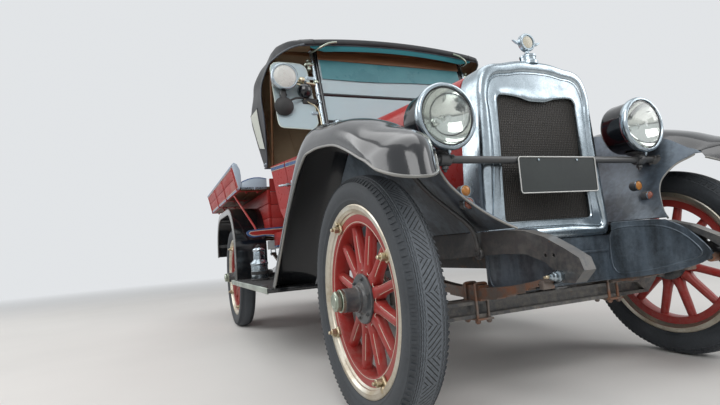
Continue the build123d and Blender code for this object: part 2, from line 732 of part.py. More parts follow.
def cab_plan(z, grow):
    """Plan outline of the cab at height z as a closed face."""
    share = (z - body_bottom) / (belt_z - body_bottom)
    front_half = sill_half_front + (cab_half_front - sill_half_front) * share + grow
    back_half = sill_half_back + (cab_half_back - sill_half_back) * share + grow
    back = cab_tuck + (cab_back - cab_tuck) * min(1.0, share * 2.2) + grow
    corner = 60.0
    points = [(-front_half, cowl_back), (front_half, cowl_back), (back_half, back - corner),
              (back_half - corner, back), (corner - back_half, back), (-back_half, back - corner)]
    outline = Polyline(*[(x, at(y)) for x, y in points], close=True)
    return Plane.XY.offset(z) * make_face(outline)


def cab_loft(grow, z0):
    """Solid of the cab between the sill and the belt."""
    knee = body_bottom + (belt_z - body_bottom) / 2.2
    heights = (z0, knee, belt_z + (0 if grow == 0 else 20))
    lower = loft([cab_plan(heights[0], grow), cab_plan(heights[1], grow)], ruled=True)
    upper = loft([cab_plan(heights[1], grow), cab_plan(heights[2], grow)], ruled=True)
    return lower + upper


def door_zone(side, gap):
    """Block that cuts a door from the cab's side; gap makes the opening larger."""
    return block(side * 380, side * 760, door_front - gap, door_back + gap, door_bottom - gap, belt_z + 40)


def hood_ledge():
    """Flange of the cowl that the hood's rear edge lies on."""
    y0 = cowl_front - ledge_reach
    y1 = cowl_front + 4
    out = sheet + seat_gap
    low = hood_bottom - 20
    ring = hood_solid(-out, y0, y1, low) - hood_solid(-out - 3, y0 - 1, y1 + 1, low - 5)
    return ring - block(-500, 500, y0 - 1, y1 + 1, low - 10, hood_bottom)


def column_hole():
    """Clearance hole for the steering column through the firewall and dash."""
    return rod((column_x, *column_foot), (column_x, *column_head), column_radius + seat_gap)


def body_tub():
    """Cowl and cab with floor, sills and seat riser, hollow and open on top."""
    shell = cab_loft(0, body_bottom)
    inner = cab_loft(-wall, body_bottom + floor_thick)
    inner += block(-sill_half_front + 20, sill_half_front - 20, cowl_back - 30, cowl_back + 60,
                   body_bottom + floor_thick, belt_z + 40)
    shell -= inner
    shape = shell + cowl()
    for side in (-1, 1):
        shape -= door_zone(side, move_gap / 2)
        shape += door_hinges(side, False)
    shape -= column_hole()
    shape += hood_ledge()
    hinge_start = shell_back + seat_gap
    shape += rod((0, hinge_start, hood_hinge_z), (0, cowl_front + 60, hood_hinge_z), hood_hinge_radius)
    riser = block(-400, 400, seat_front + 40, seat_front + 60, body_bottom + floor_thick - 1, seat_top - 160)
    riser += block(-400, 400, seat_front + 40, cab_tuck + 20, seat_top - 180, seat_top - 160)
    shape += riser
    for side in (-1, 1):
        shape += block(side * (frame_half - rail_flange), side * frame_half, cowl_front + 60, cab_tuck - 40,
                       rail_top, body_bottom + 1)
    return shape


def door_hinges(side, on_door):
    """Half of the two hinges: barrels and leaves on the door, or ears and pins on the cab."""
    x = side * hinge_x
    root = side * (sill_half_front + 4)
    shape = None
    for z in hinge_places:
        low = z + hinge_ear + seat_gap
        high = z + hinge_length - hinge_ear - seat_gap
        if on_door:
            one = rod((x, hinge_y, low), (x, hinge_y, high), hinge_barrel)
            one += block(root, x, hinge_y + 0.5, hinge_y + 26, low, high)
            one -= rod((x, hinge_y, low - 1), (x, hinge_y, high + 1), hinge_pin + pin_gap)
        else:
            one = rod((x, hinge_y, z), (x, hinge_y, z + hinge_length), hinge_pin)
            for ear in (z, z + hinge_length - hinge_ear):
                one += rod((x, hinge_y, ear), (x, hinge_y, ear + hinge_ear), hinge_barrel)
                one += block(root, x, hinge_y - 30, hinge_y - 2, ear, ear + hinge_ear)
        shape = one if shape is None else shape + one
    return shape


def door(side):
    """Door cut from the same wall as the cab, with its hinge leaves."""
    cab_wall = cab_loft(0, body_bottom) - cab_loft(-wall, body_bottom + floor_thick)
    return (cab_wall & door_zone(side, -move_gap / 2)) + door_hinges(side, True)


def seat():
    """Seat cushion and backrest, plain soft solids."""
    cushion = block(-430, 430, seat_front, seat_front + 362, seat_top - 160 + seat_gap, seat_top)
    cushion = fillet(cushion.edges(), 22)
    rear = cab_back - wall - seat_gap
    lean = [(rear - 96, seat_top + 4), (rear, seat_top + 4), (rear, 1180), (rear - 56, 1180)]
    back = side_plate(lean, -480, 480)
    back = fillet(back.edges(), 22)
    return [cushion, back]


# Windscreen

def screen_y(z):
    """Distance behind the front axle of the leaning windscreen at height z."""
    lean = (screen_top_y - screen_foot_y) / (screen_top_z - screen_foot_z)
    return screen_foot_y + (z - screen_foot_z) * lean


def windshield_frame():
    """Two posts with a top rail, a divider and a bottom rail."""
    b = screen_bar / 2
    shape = None
    for side in (-1, 1):
        x = side * screen_half
        post = rod((x, screen_y(1150), 1150), (x, screen_top_y, screen_top_z), b)
        shape = post if shape is None else shape + post
    for z in (screen_foot_z + 22, divider_z, screen_top_z - b):
        shape += rod((-screen_half, screen_y(z), z), (screen_half, screen_y(z), z), b * 0.85)
    return shape - block(-screen_half - 30, screen_half + 30, screen_top_y - 40, screen_top_y + 40,
                         screen_top_z, screen_top_z + 20)


def windshield_glass():
    """Lower and upper panes."""
    b = screen_bar / 2
    panes = []
    for low, high in ((screen_foot_z + 22, divider_z), (divider_z, screen_top_z - b)):
        z0 = low + b + seat_gap
        z1 = high - b - seat_gap
        g = glass_thick / 2
        points = [(screen_y(z0) - g, z0), (screen_y(z0) + g, z0), (screen_y(z1) + g, z1), (screen_y(z1) - g, z1)]
        half = screen_half - b - seat_gap
        panes.append(side_plate(points, -half, half))
    return panes


# Soft top

def canopy_side(t, past):
    """Outline of the top from the side, t inside it; past runs it out at the openings."""
    top = [(roof_front - past, roof_lip_z - t), (1230, roof_top_z - 22 - t), (1500, roof_top_z - t),
           (1760, roof_top_z - 28 - t), (1880, roof_top_z - 90 - t), (roof_back - t, 1600),
           (cab_back + 14 - t, belt_z + seat_gap - past)]
    if past:
        return top + [(roof_front - past, belt_z - past)]
    return top + [(quarter_front + 175, belt_z + seat_gap), (quarter_front + 50, 1300),
                  (quarter_front, 1390), (quarter_front - 10, roof_edge_z - 60),
                  (1300, roof_edge_z - 20), (roof_front, roof_edge_z - 10)]


def canopy_front(t):
    """Outline of the top from the front, t inside it."""
    foot = cab_half_back + 10 - t
    half = roof_half - t
    swell = half + 20
    edge = roof_edge_z + 20
    knee = (half - 26, edge + 55)
    crown = (half - 100, edge + 82 - t * 0.3)
    return [Line((-foot, 1060), (foot, 1060)), Line((foot, 1060), (swell, 1500)),
            Line((swell, 1500), (half, edge)),
            ThreePointArc((half, edge), knee, crown),
            ThreePointArc(crown, (0, roof_top_z - t + 1), (-crown[0], crown[1])),
            ThreePointArc((-crown[0], crown[1]), (-knee[0], knee[1]), (-half, edge)),
            Line((-half, edge), (-swell, 1500)), Line((-swell, 1500), (-foot, 1060))]


def canopy_plan(t, past):
    """Outline of the top from above, t inside it, run past the front edge."""
    (half, y), (half_next, y_next) = roof_plan[:2]
    slope = (half_next - half) / (y_next - y)
    left = [(half - slope * past - t, y - past)] + [(wide - t, back) for wide, back in roof_plan[1:]]
    return left + [(-wide, back) for wide, back in reversed(left)]


def canopy_body(t, past):
    """Solid of the top, t inside its outer face."""
    wide = side_plate(canopy_side(t, past), -900, 900)
    shape = wide & drawn_along(canopy_front(t), roof_front - 200, roof_back + 200)
    return shape & plan_plate(canopy_plan(t, past), belt_z - 100, roof_top_z + 100)


def canopy():
    """Fabric top: roof, rear curtain and quarters as one open shell."""
    return canopy_body(0, 0) - canopy_body(roof_wall, 60)


def canopy_bows():
    """Bent bows under the fabric, on irons that stand on the body."""
    t = roof_wall + seat_gap
    hoop = canopy_body(t, 60) - canopy_body(t + bow_depth, 60)
    low = roof_edge_z - 30
    shape = []
    for y in bow_places:
        bow = hoop & block(-900, 900, y, y + bow_width, low, roof_top_z)
        for side in (-1, 1):
            top = (side * (roof_half - roof_wall - 6), y + bow_width / 2, low + 20)
            foot = (side * (cab_half_back - wall / 2 - 4), bow_foot_y, belt_z + seat_gap)
            bow += rod(foot, top, iron_radius)
        shape.append(bow)
    bows = shape[0]
    for bow in shape[1:]:
        bows += bow
    keep_above = block(-900, 900, 900, 2000, belt_z + seat_gap, roof_top_z + 50)
    bows = bows & keep_above & canopy_body(t, 60)
    reach = screen_half + 20
    header = canopy_body(t, 60) & block(-reach, reach, screen_top_y - 14, screen_top_y + 14,
                                        screen_top_z + seat_gap, roof_top_z)
    return [bows, header]


def facet(*corners):
    """Flat triangle between three points."""
    return Face(Wire.make_polygon([Vector(*c) for c in corners], close=True))


def grid_solid(top, bottom):
    """Closed solid of flat facets between two grids of points, rows along the car."""
    rows, columns = len(top), len(top[0])
    faces = []
    for i in range(rows - 1):
        for j in range(columns - 1):
            for g in (top, bottom):
                faces.append(facet(g[i][j], g[i + 1][j], g[i + 1][j + 1]))
                faces.append(facet(g[i][j], g[i + 1][j + 1], g[i][j + 1]))
    rim = [(i, 0) for i in range(rows)] + [(rows - 1, j) for j in range(1, columns)]
    rim += [(i, columns - 1) for i in range(rows - 2, -1, -1)] + [(0, j) for j in range(columns - 2, 0, -1)]
    for (i, j), (k, m) in zip(rim, rim[1:] + rim[:1]):
        faces.append(facet(top[i][j], top[k][m], bottom[k][m]))
        faces.append(facet(top[i][j], bottom[k][m], bottom[i][j]))
    return Solid(Shell(faces))


def fender_grid():
    """Points of the left front fender's outer face, in rows from its foot to its nose."""
    grid = []
    last = len(fender_rows) - 1
    nose_crown = fender_nose[0][2][1:]
    line = [(y, z) for y, z, _, _, _ in fender_rows] + [nose_crown]
    for i, (y, z, lip_y, lip_z, drop) in enumerate(fender_rows):
        before = line[max(i - 1, 0)]
        after = line[i + 1]
        dy = before[0] - after[0]
        dz = before[1] - after[1]
        length = sqrt(dy * dy + dz * dz)
        down = (dz / length, -dy / length)
        row = [(x, y + down[0] * drop * share, z + down[1] * drop * share) for x, share in fender_inside]
        row += [(x, y + (lip_y - y) * share, z + (lip_z - z) * share) for x, share in fender_outside]
        grid.append(row)
    grid += [list(row) for row in fender_nose]
    return [[(x, at(y), z) for x, y, z in row] for row in grid]


def pushed_in(grid, depth):
    """The same grid of points moved inwards by depth along its own normals."""
    rows, columns = len(grid), len(grid[0])
    inner = []
    for i in range(rows):
        line = []
        for j in range(columns):
            along = Vector(*grid[min(i + 1, rows - 1)][j]) - Vector(*grid[max(i - 1, 0)][j])
            across = Vector(*grid[i][min(j + 1, columns - 1)]) - Vector(*grid[i][max(j - 1, 0)])
            spot = Vector(*grid[i][j]) - along.cross(across).normalized() * depth
            line.append((spot.X, spot.Y, spot.Z))
        inner.append(line)
    return inner


def front_fender():
    """Left front fender: a crowned sheet that stands on the running board."""
    grid = fender_grid()
    shape = grid_solid(grid, pushed_in(grid, sheet))
    return shape - block(500, 900, -700, 1200, 100, board_top)


def apron_line():
    """Inner edge of the front fender over the rail: (distance behind the axle, z), front to back."""
    edge = [(row[0][1] - front_axle_y, row[0][2]) for row in fender_grid()]
    over_rail = [(y, z) for y, z in edge if z > rail_top + 80]
    y, z = over_rail[-1]
    return [(y - 40, z - 20)] + over_rail[::-1]


def apron_grid(lift):
    """Points of the apron's upper face, raised by lift."""
    grid = []
    low = rail_top + sheet
    places = [(apron_foot, 0.0), *apron_knees, (fender_inner - seat_gap, 1.0)]
    for y, z in apron_line():
        grid.append([(x, at(y), low + (z - low) * share + lift) for x, share in places])
    return grid


def apron_solid(lift, low=None):
    """Apron sheet raised by lift, or all that is under it down to the height low."""
    top = apron_grid(lift)
    bottom = [[(x, y, z - sheet if low is None else low) for x, y, z in row] for row in top]
    return grid_solid(top, bottom)


def fender_apron():
    """Sheet from the fender's inner edge down to the frame rail."""
    shape = apron_solid(0)
    return shape - plan_plate(apron_edge, 500, 1100)


def rear_band(t):
    """Line of the rear fender in (y, z), t inside its outer face."""
    corners = [(board_back - 28 + t, board_top), (board_back - 42 + t, rear_fender_top - t),
               (rear_fender_back - t, rear_fender_top - t), (rear_fender_back + 30 - t, rear_fender_foot)]
    return FilletPolyline(*[(at(y), z) for y, z in corners], radius=rear_fender_round - t)


def rear_fender():
    """Left rear fender: a rounded band over the wheel with an outer skirt."""
    inner = bed_half + seat_gap
    outer = fender_outer - 10
    def strip(depth):
        over = rear_band(0)
        under = rear_band(depth)
        return make_face(Curve() + [over, under, Line(over @ 0, under @ 0), Line(over @ 1, under @ 1)])
    shape = extrude(Plane.YZ.offset(inner) * strip(sheet), outer - inner)
    shape += extrude(Plane.YZ.offset(outer - sheet) * strip(skirt_depth), sheet)
    return shape


def running_board():
    """Left running board with the splash apron up to the body."""
    shape = block(board_inner, board_outer, board_front, board_back, board_top - board_thick, board_top)
    low = board_top - board_thick
    outline = [(board_inner, low), (board_inner + sheet, low), (board_inner + sheet, board_top + 40),
               (frame_half + sheet, rail_top - 2), (frame_half + seat_gap, rail_top - 2),
               (board_inner, board_top + 34)]
    return shape + front_plate_shape(outline, board_front, board_back)


# Front apron and lamps

def front_apron():
    """Sheet under the radiator with a D-shaped panel along each horn."""
    x = frame_half - rail_flange - 2
    cross = front_plate_shape([(-x, 356), (x, 356), (x, shell_bottom - 1), (-x, shell_bottom - 1)], -50, -46)
    shape = cross
    d_panel = [(-46, 356), (-265, 381), (-402, 420), (-440, 450), (-417, 482), (-366, 534), (-295, 571),
               (-188, 574), (shell_front - 3, 574), (shell_front - 3, shell_bottom - 1), (-46, shell_bottom - 1)]
    for side in (-1, 1):
        shape += side_plate(d_panel, side * x, side * (x - 3))
    return shape


def lamp_bar():
    """Bar between the fenders with a stem for each headlamp."""
    reach = fender_inner - 30
    shape = rod((-reach, bar_y, bar_z), (reach, bar_y, bar_z), bar_radius)
    for beyond in pair(apron_solid(seat_gap, rail_top - 200)):
        shape -= beyond
    for side in (-1, 1):
        shape += rod((side * lamp_x, bar_y, bar_z), (side * lamp_x, bar_y, lamp_z - lamp_radius + 14), 12)
    return shape


def headlamp():
    """Left drum headlamp, open at the front."""
    r = lamp_radius
    depth = lamp_length
    outside = [(r, 0), (r, 22), (r - 8, 30), (r - 10, depth - 45), (r - 40, depth - 12), (40, depth), (0, depth)]
    inside = [(0, depth - 4), (38, depth - 6), (r - 48, depth - 20), (r - 22, depth - 60), (r - 16, 34),
              (r - 13, 12), (r - 13, 0)]
    shape = turned(outside + inside, lamp_x, lamp_front, lamp_z, (0, 1, 0))
    shape -= rod((lamp_x, bar_y, bar_z), (lamp_x, bar_y, lamp_z - lamp_radius + 14 + seat_gap), 12 + seat_gap)
    return shape


def headlamp_lens():
    """Slightly domed glass in the lamp's ring."""
    r = lamp_radius - 13 - seat_gap
    return turned([(0, 0), (r * 0.6, 2), (r, 6), (r, 10), (r * 0.6, 6), (0, 4)],
                  lamp_x, lamp_front - 2, lamp_z, (0, 1, 0))


def front_plate():
    """Blank number plate hung from the lamp bar."""
    top = bar_z + 10
    y = bar_y - bar_radius - seat_gap
    half = plate_width / 2
    return block(plate_x - half, plate_x + half, y - plate_thick, y, top - plate_height, top)


def signal_lamps():
    """Two small lamps on stems on each front fender apron."""
    shapes = []
    sheets = apron_solid(seat_gap, rail_top - 200)
    for x, y, z in signal_places:
        lamp = turned([(0, 0), (signal_radius - 3, 2), (signal_radius, 8), (signal_radius, 30), (0, 36)],
                      x, y, z, (0, 1, 0))
        lamp += rod((x, y + 16, z), (x, y + 16, z - 90), 6)
        shapes += pair(lamp - sheets)
    return shapes


# Load bed

def load_bed():
    """Narrow box between the wheels with ledges and flared boards over them."""
    f = bed_front
    e = bed_end
    b = bed_board
    shape = block(-bed_half, bed_half, f, e - b - 2 * move_gap, bed_floor - b, bed_floor)
    for side in (-1, 1):
        shape += block(side * (bed_half - b), side * bed_half, f, e, bed_floor - b, ledge_z)
        shape += block(side * (bed_half - b), side * ledge_half, f, e, ledge_z - b, ledge_z)
        flare = [(side * (ledge_half - b), ledge_z - b), (side * ledge_half, ledge_z - b),
                 (side * flare_half, flare_top), (side * (flare_half - b), flare_top)]
        shape += front_plate_shape(flare, f, e)
        end = [(side * (bed_half - b), ledge_z - b), (side * (ledge_half - 2), ledge_z - b),
               (side * (flare_half - 2 - b / 2), flare_top - 20), (side * (bed_half - b), flare_top - 20)]
        shape += front_plate_shape(end, f, f + b)
        rear_end = [(side * bed_half, ledge_z - b), *end[1:3], (side * bed_half, flare_top - 20)]
        shape += front_plate_shape(rear_end, e - b, e)
    shape += block(-bed_half, bed_half, f, f + b, bed_floor - b, flare_top - 20)
    rail_z = rail_top + kick_up
    for y in (kick_end + 60, wheelbase, frame_end - 160):
        shape += block(-bed_half + 10, bed_half - 10, y - 35, y + 35, rail_z, bed_floor - b + 1)
    shape -= rod((-bed_half - 1, *gate_pivot), (bed_half + 1, *gate_pivot), gate_pin + pin_gap)
    return shape


def tailgate():
    """Board across the back of the bed on two pins near its lower edge."""
    half = bed_half - bed_board - move_gap / 2
    shape = block(-half, half, bed_end - bed_board, bed_end, bed_floor + 5, ledge_z + 100)
    shape += rod((-bed_half + 1, *gate_pivot), (bed_half - 1, *gate_pivot), gate_pin)
    return shape


# Steering wheel, gas generator, lamps on the screen

def column_direction():
    """Unit vector up the steering column."""
    dy = column_head[0] - column_foot[0]
    dz = column_head[1] - column_foot[1]
    n = sqrt(dy * dy + dz * dz)
    return (0.0, dy / n, dz / n)


def steering_column():
    """Tube of the steering column, from the frame to under the wheel."""
    d = column_direction()
    end = (column_x, column_head[0] - 30 * d[1], column_head[1] - 30 * d[2])
    return rod((column_x, column_foot[0], column_foot[1]), end, column_radius)


def steering_wheel():
    """Four-spoke wheel with a wooden rim, about the column's axis."""
    d = column_direction()
    plane = Plane(origin=(column_x, at(column_head[0]), column_head[1]), x_dir=(1, 0, 0), z_dir=d)
    ring = plane * Torus(steering_radius, steering_rim)
    shape = ring + plane * Pos(0, 0, -8) * Cylinder(24, 42)
    for i in range(4):
        spoke = Rot(0, 0, 45 + 90 * i) * Pos(steering_radius / 2, 0, 0) * Box(steering_radius, 20, 8)
        shape += plane * spoke
    return shape


def gas_generator():
    """Lamp gas generator standing on the right running board."""
    profile = [(0, 0), (62, 0), (62, 8), (55, 14), (55, 120), (48, 132), (38, 136), (38, 205), (28, 222),
               (10, 228), (10, 240), (0, 240)]
    return turned(profile, *generator_place, board_top, (0, 0, 1))


def spot_lamp():
    """Spot lamp on a bracket at the right windscreen post."""
    x, lens_y, z = spot_place
    bowl = [(0, 0), (68, 0), (70, 12), (66, 22), (52, 60), (26, 84), (0, 90)]
    shape = turned(bowl, x, lens_y, z, (0, 1, 0))
    arm_z = z - 30
    y = screen_y(arm_z)
    shape += rod((x + 60, y, arm_z), (-screen_half - screen_bar / 2 - seat_gap, y, arm_z), spot_arm)
    shape += rod((x + 10, lens_y + 50, z), (x + 64, y, arm_z), spot_arm)
    return shape


def exhaust():
    """Exhaust pipe from the engine's left side, with a silencer and a hanger."""
    x = exhaust_x
    z = exhaust_z
    r = exhaust_radius
    shape = rod((engine_half, exhaust_front, exhaust_port_z), (x + r, exhaust_front, exhaust_port_z), r)
    shape += rod((x, exhaust_front, exhaust_port_z), (x, exhaust_front, z - r), r)
    shape += rod((x, exhaust_front, z), (x, silencer_front + 10, z), r)
    shape += rod((x, silencer_front, z), (x, silencer_back, z), silencer_radius)
    shape += rod((x, silencer_back - 10, z), (x, exhaust_back, z), r - 2)
    shape += block(x - 6, x + 6, 2262, 2274, z, 612)
    return shape


nodes = {}


def build():
    """Make every node of the car."""
    for end, distance, drum in (("front", 0, False), ("rear", wheelbase, True)):
        body = wheel(drum)
        cover = tyre()
        for name, side in (("right", -1), ("left", 1)):
            nodes[f"wheel_{end}_{name}"] = place_wheel(body, side, distance)
            nodes[f"tyre_{end}_{name}"] = place_wheel(cover, side, distance)
    nodes["front_axle"] = front_axle()
    nodes["knuckle_right"] = knuckle(-1)
    nodes["knuckle_left"] = knuckle(1)
    nodes["tie_rod"] = tie_rod()
    left = rail()
    nodes["frame_rail_left"] = left
    nodes["frame_rail_right"] = mirror(left, Plane.YZ)
    nodes["cross_members"] = cross_members()
    nodes["front_springs"] = pair(front_spring())
    hangers = [hanger(-horn_eye_y, horn_eye_z), horn_bolt(), hanger(wheelbase - rear_spring_half, rear_eye_z),
               hanger(wheelbase + rear_spring_half, rear_eye_z)]
    nodes["spring_hangers"] = [piece for one in hangers for piece in pair(one)]
    nodes["rear_springs"] = pair(rear_spring())
    nodes["rear_axle"] = rear_axle()
    nodes["engine"] = engine()
    nodes["radiator_shell"] = radiator_shell()
    nodes["radiator_core"] = radiator_core()
    nodes["radiator_cap"] = radiator_cap()
    nodes["hood_top_right"] = hood_top(-1)
    nodes["hood_top_left"] = hood_top(1)
    nodes["hood_sides"] = [hood_side(-1), hood_side(1)]
    nodes["body_tub"] = body_tub()
    nodes["door_right"] = door(-1)
    nodes["door_left"] = door(1)
    nodes["seat"] = seat()
    nodes["windshield_frame"] = windshield_frame()
    nodes["windshield_glass"] = windshield_glass()
    nodes["canopy"] = canopy()
    nodes["canopy_bows"] = canopy_bows()
    fender = front_fender()
    apron = fender_apron()
    nodes["fender_front_left"] = fender
    nodes["fender_front_right"] = mirror(fender, Plane.YZ)
    nodes["fender_aprons"] = pair(apron)
    rear = rear_fender()
    nodes["fender_rear_left"] = rear
    nodes["fender_rear_right"] = mirror(rear, Plane.YZ)
    nodes["running_boards"] = pair(running_board())
    nodes["front_apron"] = front_apron()
    nodes["lamp_bar"] = lamp_bar()
    nodes["headlamps"] = pair(headlamp())
    nodes["headlamp_lenses"] = pair(headlamp_lens())
    nodes["front_plate"] = front_plate()
    nodes["signal_lamps"] = signal_lamps()
    nodes["load_bed"] = load_bed()
    nodes["tailgate"] = tailgate()
    nodes["steering_column"] = steering_column()
    nodes["steering_wheel"] = steering_wheel()
    nodes["gas_generator"] = gas_generator()
    nodes["spot_lamp"] = spot_lamp()
    nodes["exhaust"] = exhaust()


def solids_of(shape):
    """Flat list of the solids in a shape or a list of shapes."""
    if isinstance(shape, (list, tuple)):
        return [s for part in shape for s in solids_of(part)]
    return list(shape.solids())


build()
os.makedirs("parts", exist_ok=True)
for name, shape in nodes.items():
    solids = solids_of(shape)
    whole = solids[0] if len(solids) == 1 else Compound(solids)
    export_step(whole, f"parts/{name}.step")
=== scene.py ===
"""Looks of a 1920s open utility car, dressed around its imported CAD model.

Metres, +Z up. The car faces -Y and its left side is +X, as in the frame.
"""

import json
import logging
import math
from collections.abc import Sequence
from dataclasses import dataclass
from enum import Enum

import bmesh
import bpy
from mathutils import Matrix, Vector
from mathutils.bvhtree import BVHTree

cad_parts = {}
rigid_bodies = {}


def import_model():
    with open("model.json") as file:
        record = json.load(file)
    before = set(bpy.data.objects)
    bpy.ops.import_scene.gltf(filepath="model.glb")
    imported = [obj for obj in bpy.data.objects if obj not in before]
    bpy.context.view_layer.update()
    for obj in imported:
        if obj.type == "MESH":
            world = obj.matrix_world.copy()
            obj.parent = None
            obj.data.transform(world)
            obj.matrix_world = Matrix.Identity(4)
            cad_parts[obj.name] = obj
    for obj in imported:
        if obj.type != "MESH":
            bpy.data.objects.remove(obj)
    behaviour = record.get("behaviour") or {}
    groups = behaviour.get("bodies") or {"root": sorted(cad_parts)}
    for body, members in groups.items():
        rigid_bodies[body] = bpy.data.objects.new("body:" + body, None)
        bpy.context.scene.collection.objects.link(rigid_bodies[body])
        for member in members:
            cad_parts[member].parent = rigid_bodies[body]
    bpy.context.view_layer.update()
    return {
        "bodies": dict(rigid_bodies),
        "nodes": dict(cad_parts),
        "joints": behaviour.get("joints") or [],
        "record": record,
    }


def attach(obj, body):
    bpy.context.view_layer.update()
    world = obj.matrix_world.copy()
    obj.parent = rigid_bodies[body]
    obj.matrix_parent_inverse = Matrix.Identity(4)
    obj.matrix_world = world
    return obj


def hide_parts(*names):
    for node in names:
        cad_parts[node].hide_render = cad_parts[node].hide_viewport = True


log = logging.getLogger("utility_car")

Colour = tuple[float, float, float]
Point = tuple[float, float, float]

AXLE_Y = -1.6175            # front axle, in the frame
WHEELBASE = 2.616
TRACK_HALF = 0.725
WHEEL_Z = 0.392


# Shader tools

class Wire:
    """One output socket; arithmetic on it adds Math nodes."""

    def __init__(self, bench: "ShaderBench", socket: bpy.types.NodeSocket) -> None:
        """Keep the bench that adds nodes, and the socket."""
        self.bench = bench
        self.socket = socket

    def _math(self, operation: str, first: "Wire | float", second: "Wire | float") -> "Wire":
        """Add one Math node."""
        return self.bench.node("ShaderNodeMath", {"operation": operation}, {0: first, 1: second})

    def __add__(self, other: "Wire | float") -> "Wire":
        """Sum."""
        return self._math("ADD", self, other)

    __radd__ = __add__

    def __sub__(self, other: "Wire | float") -> "Wire":
        """Difference."""
        return self._math("SUBTRACT", self, other)

    def __rsub__(self, other: float) -> "Wire":
        """Difference from a number."""
        return self._math("SUBTRACT", other, self)

    def __mul__(self, other: "Wire | float") -> "Wire":
        """Product."""
        return self._math("MULTIPLY", self, other)

    __rmul__ = __mul__

    def __truediv__(self, other: "Wire | float") -> "Wire":
        """Quotient."""
        return self._math("DIVIDE", self, other)

    def __pow__(self, other: float) -> "Wire":
        """Power."""
        return self._math("POWER", self, other)

    def above(self, edge: float) -> "Wire":
        """1 where the value is over the edge, and 0 elsewhere."""
        return self._math("GREATER_THAN", self, edge)


class ShaderBench:
    """Builds one node material with a Principled shader."""

    def __init__(self, name: str) -> None:
        """Start a node material.

        Args:
            name: the material's name.
        """
        self.material = bpy.data.materials.new(name)
        self.material.use_nodes = True
        self.tree = self.material.node_tree
        self.shader = self.tree.nodes["Principled BSDF"]
        self.place = self.node("ShaderNodeTexCoord", out="Object")

    def node(self, kind: str, settings: dict | None = None, inputs: dict | None = None, out: int | str = 0) -> Wire:
        """Add a node.

        Args:
            kind: the node's type name.
            settings: attributes set first; "stops" fills a colour ramp.
            inputs: socket name or number to a value or Wire.
            out: the output to return.

        Returns:
            The chosen output.
        """
        made = self.tree.nodes.new(kind)
        for key, value in (settings or {}).items():
            if key == "stops":
                ramp = made.color_ramp
                for spot, colour in value[:-2]:
                    ramp.elements.new(spot)
                for element, (spot, colour) in zip(sorted(ramp.elements, key=lambda e: e.position), value):
                    element.position = spot
                    element.color = (*colour, 1.0)
            else:
                setattr(made, key, value)
        for key, value in (inputs or {}).items():
            self.feed(made.inputs[key], value)
        return Wire(self, made.outputs[out])

    def feed(self, socket: bpy.types.NodeSocket, value: "Wire | float | Sequence[float]") -> None:
        """Link or set one input socket.

        Args:
            socket: the input socket.
            value: a wire, a number or a colour.
        """
        if isinstance(value, Wire):
            self.tree.links.new(value.socket, socket)
        elif isinstance(value, (int, float)):
            socket.default_value = value
        elif len(value) == 3 and len(socket.default_value) == 4:
            socket.default_value = (*value, 1.0)
        else:
            socket.default_value = value

    def scaled(self, scale: Point) -> Wire:
        """Object coordinates stretched by scale."""
        return self.node("ShaderNodeMapping", None, {"Vector": self.place, "Scale": scale})

    def noise(self, scale: float, detail: float = 4.0, rough: float = 0.55, stretch: Point = (1, 1, 1)) -> Wire:
        """Soft noise from about 0 to 1."""
        return self.node("ShaderNodeTexNoise", None, {"Vector": self.scaled(stretch), "Scale": scale,
                                                      "Detail": detail, "Roughness": rough})

    def cells(self, scale: float, stretch: Point = (1, 1, 1)) -> Wire:
        """Distance to the nearest of scattered points."""
        return self.node("ShaderNodeTexVoronoi", None, {"Vector": self.scaled(stretch), "Scale": scale})

    def span(self, value: Wire, low: float, high: float, to_low: float = 0.0, to_high: float = 1.0) -> Wire:
        """Value mapped from low..high to to_low..to_high, held at the ends."""
        return self.node("ShaderNodeMapRange", {"clamp": True},
                         {0: value, 1: low, 2: high, 3: to_low, 4: to_high})

    def mix(self, factor: "Wire | float", first: "Wire | Colour", second: "Wire | Colour") -> Wire:
        """Colour between first and second."""
        return self.node("ShaderNodeMix", {"data_type": "RGBA"}, {0: factor, 6: first, 7: second}, out=2)

    def axis(self, name: str) -> Wire:
        """One object coordinate, X, Y or Z."""
        return self.node("ShaderNodeSeparateXYZ", None, {0: self.place}, out=name)

    def upward(self) -> Wire:
        """1 on faces that look up, 0 on walls and undersides."""
        normal = self.node("ShaderNodeNewGeometry", out="Normal")
        return self.span(self.node("ShaderNodeSeparateXYZ", None, {0: normal}, out="Z"), 0.25, 0.95)

    def bump(self, height: Wire, strength: float, distance: float, under: Wire | None = None) -> Wire:
        """Bump normal of a height field, over another bump if given.

        Args:
            height: the height field.
            strength: how much of it shows, 0 to 1.
            distance: height of a full step in metres.
            under: a bump below this one.

        Returns:
            The normal.
        """
        inputs = {"Height": height, "Strength": strength, "Distance": distance}
        if under is not None:
            inputs["Normal"] = under
        return self.node("ShaderNodeBump", None, inputs)

    def done(self, **sockets: "Wire | float | Colour") -> bpy.types.Material:
        """Set the shader's sockets, named with underscores for blanks.

        Args:
            sockets: what feeds each socket.

        Returns:
            The finished material.
        """
        for key, value in sockets.items():
            self.feed(self.shader.inputs[key.replace("_", " ")], value)
        return self.material


# Finishes

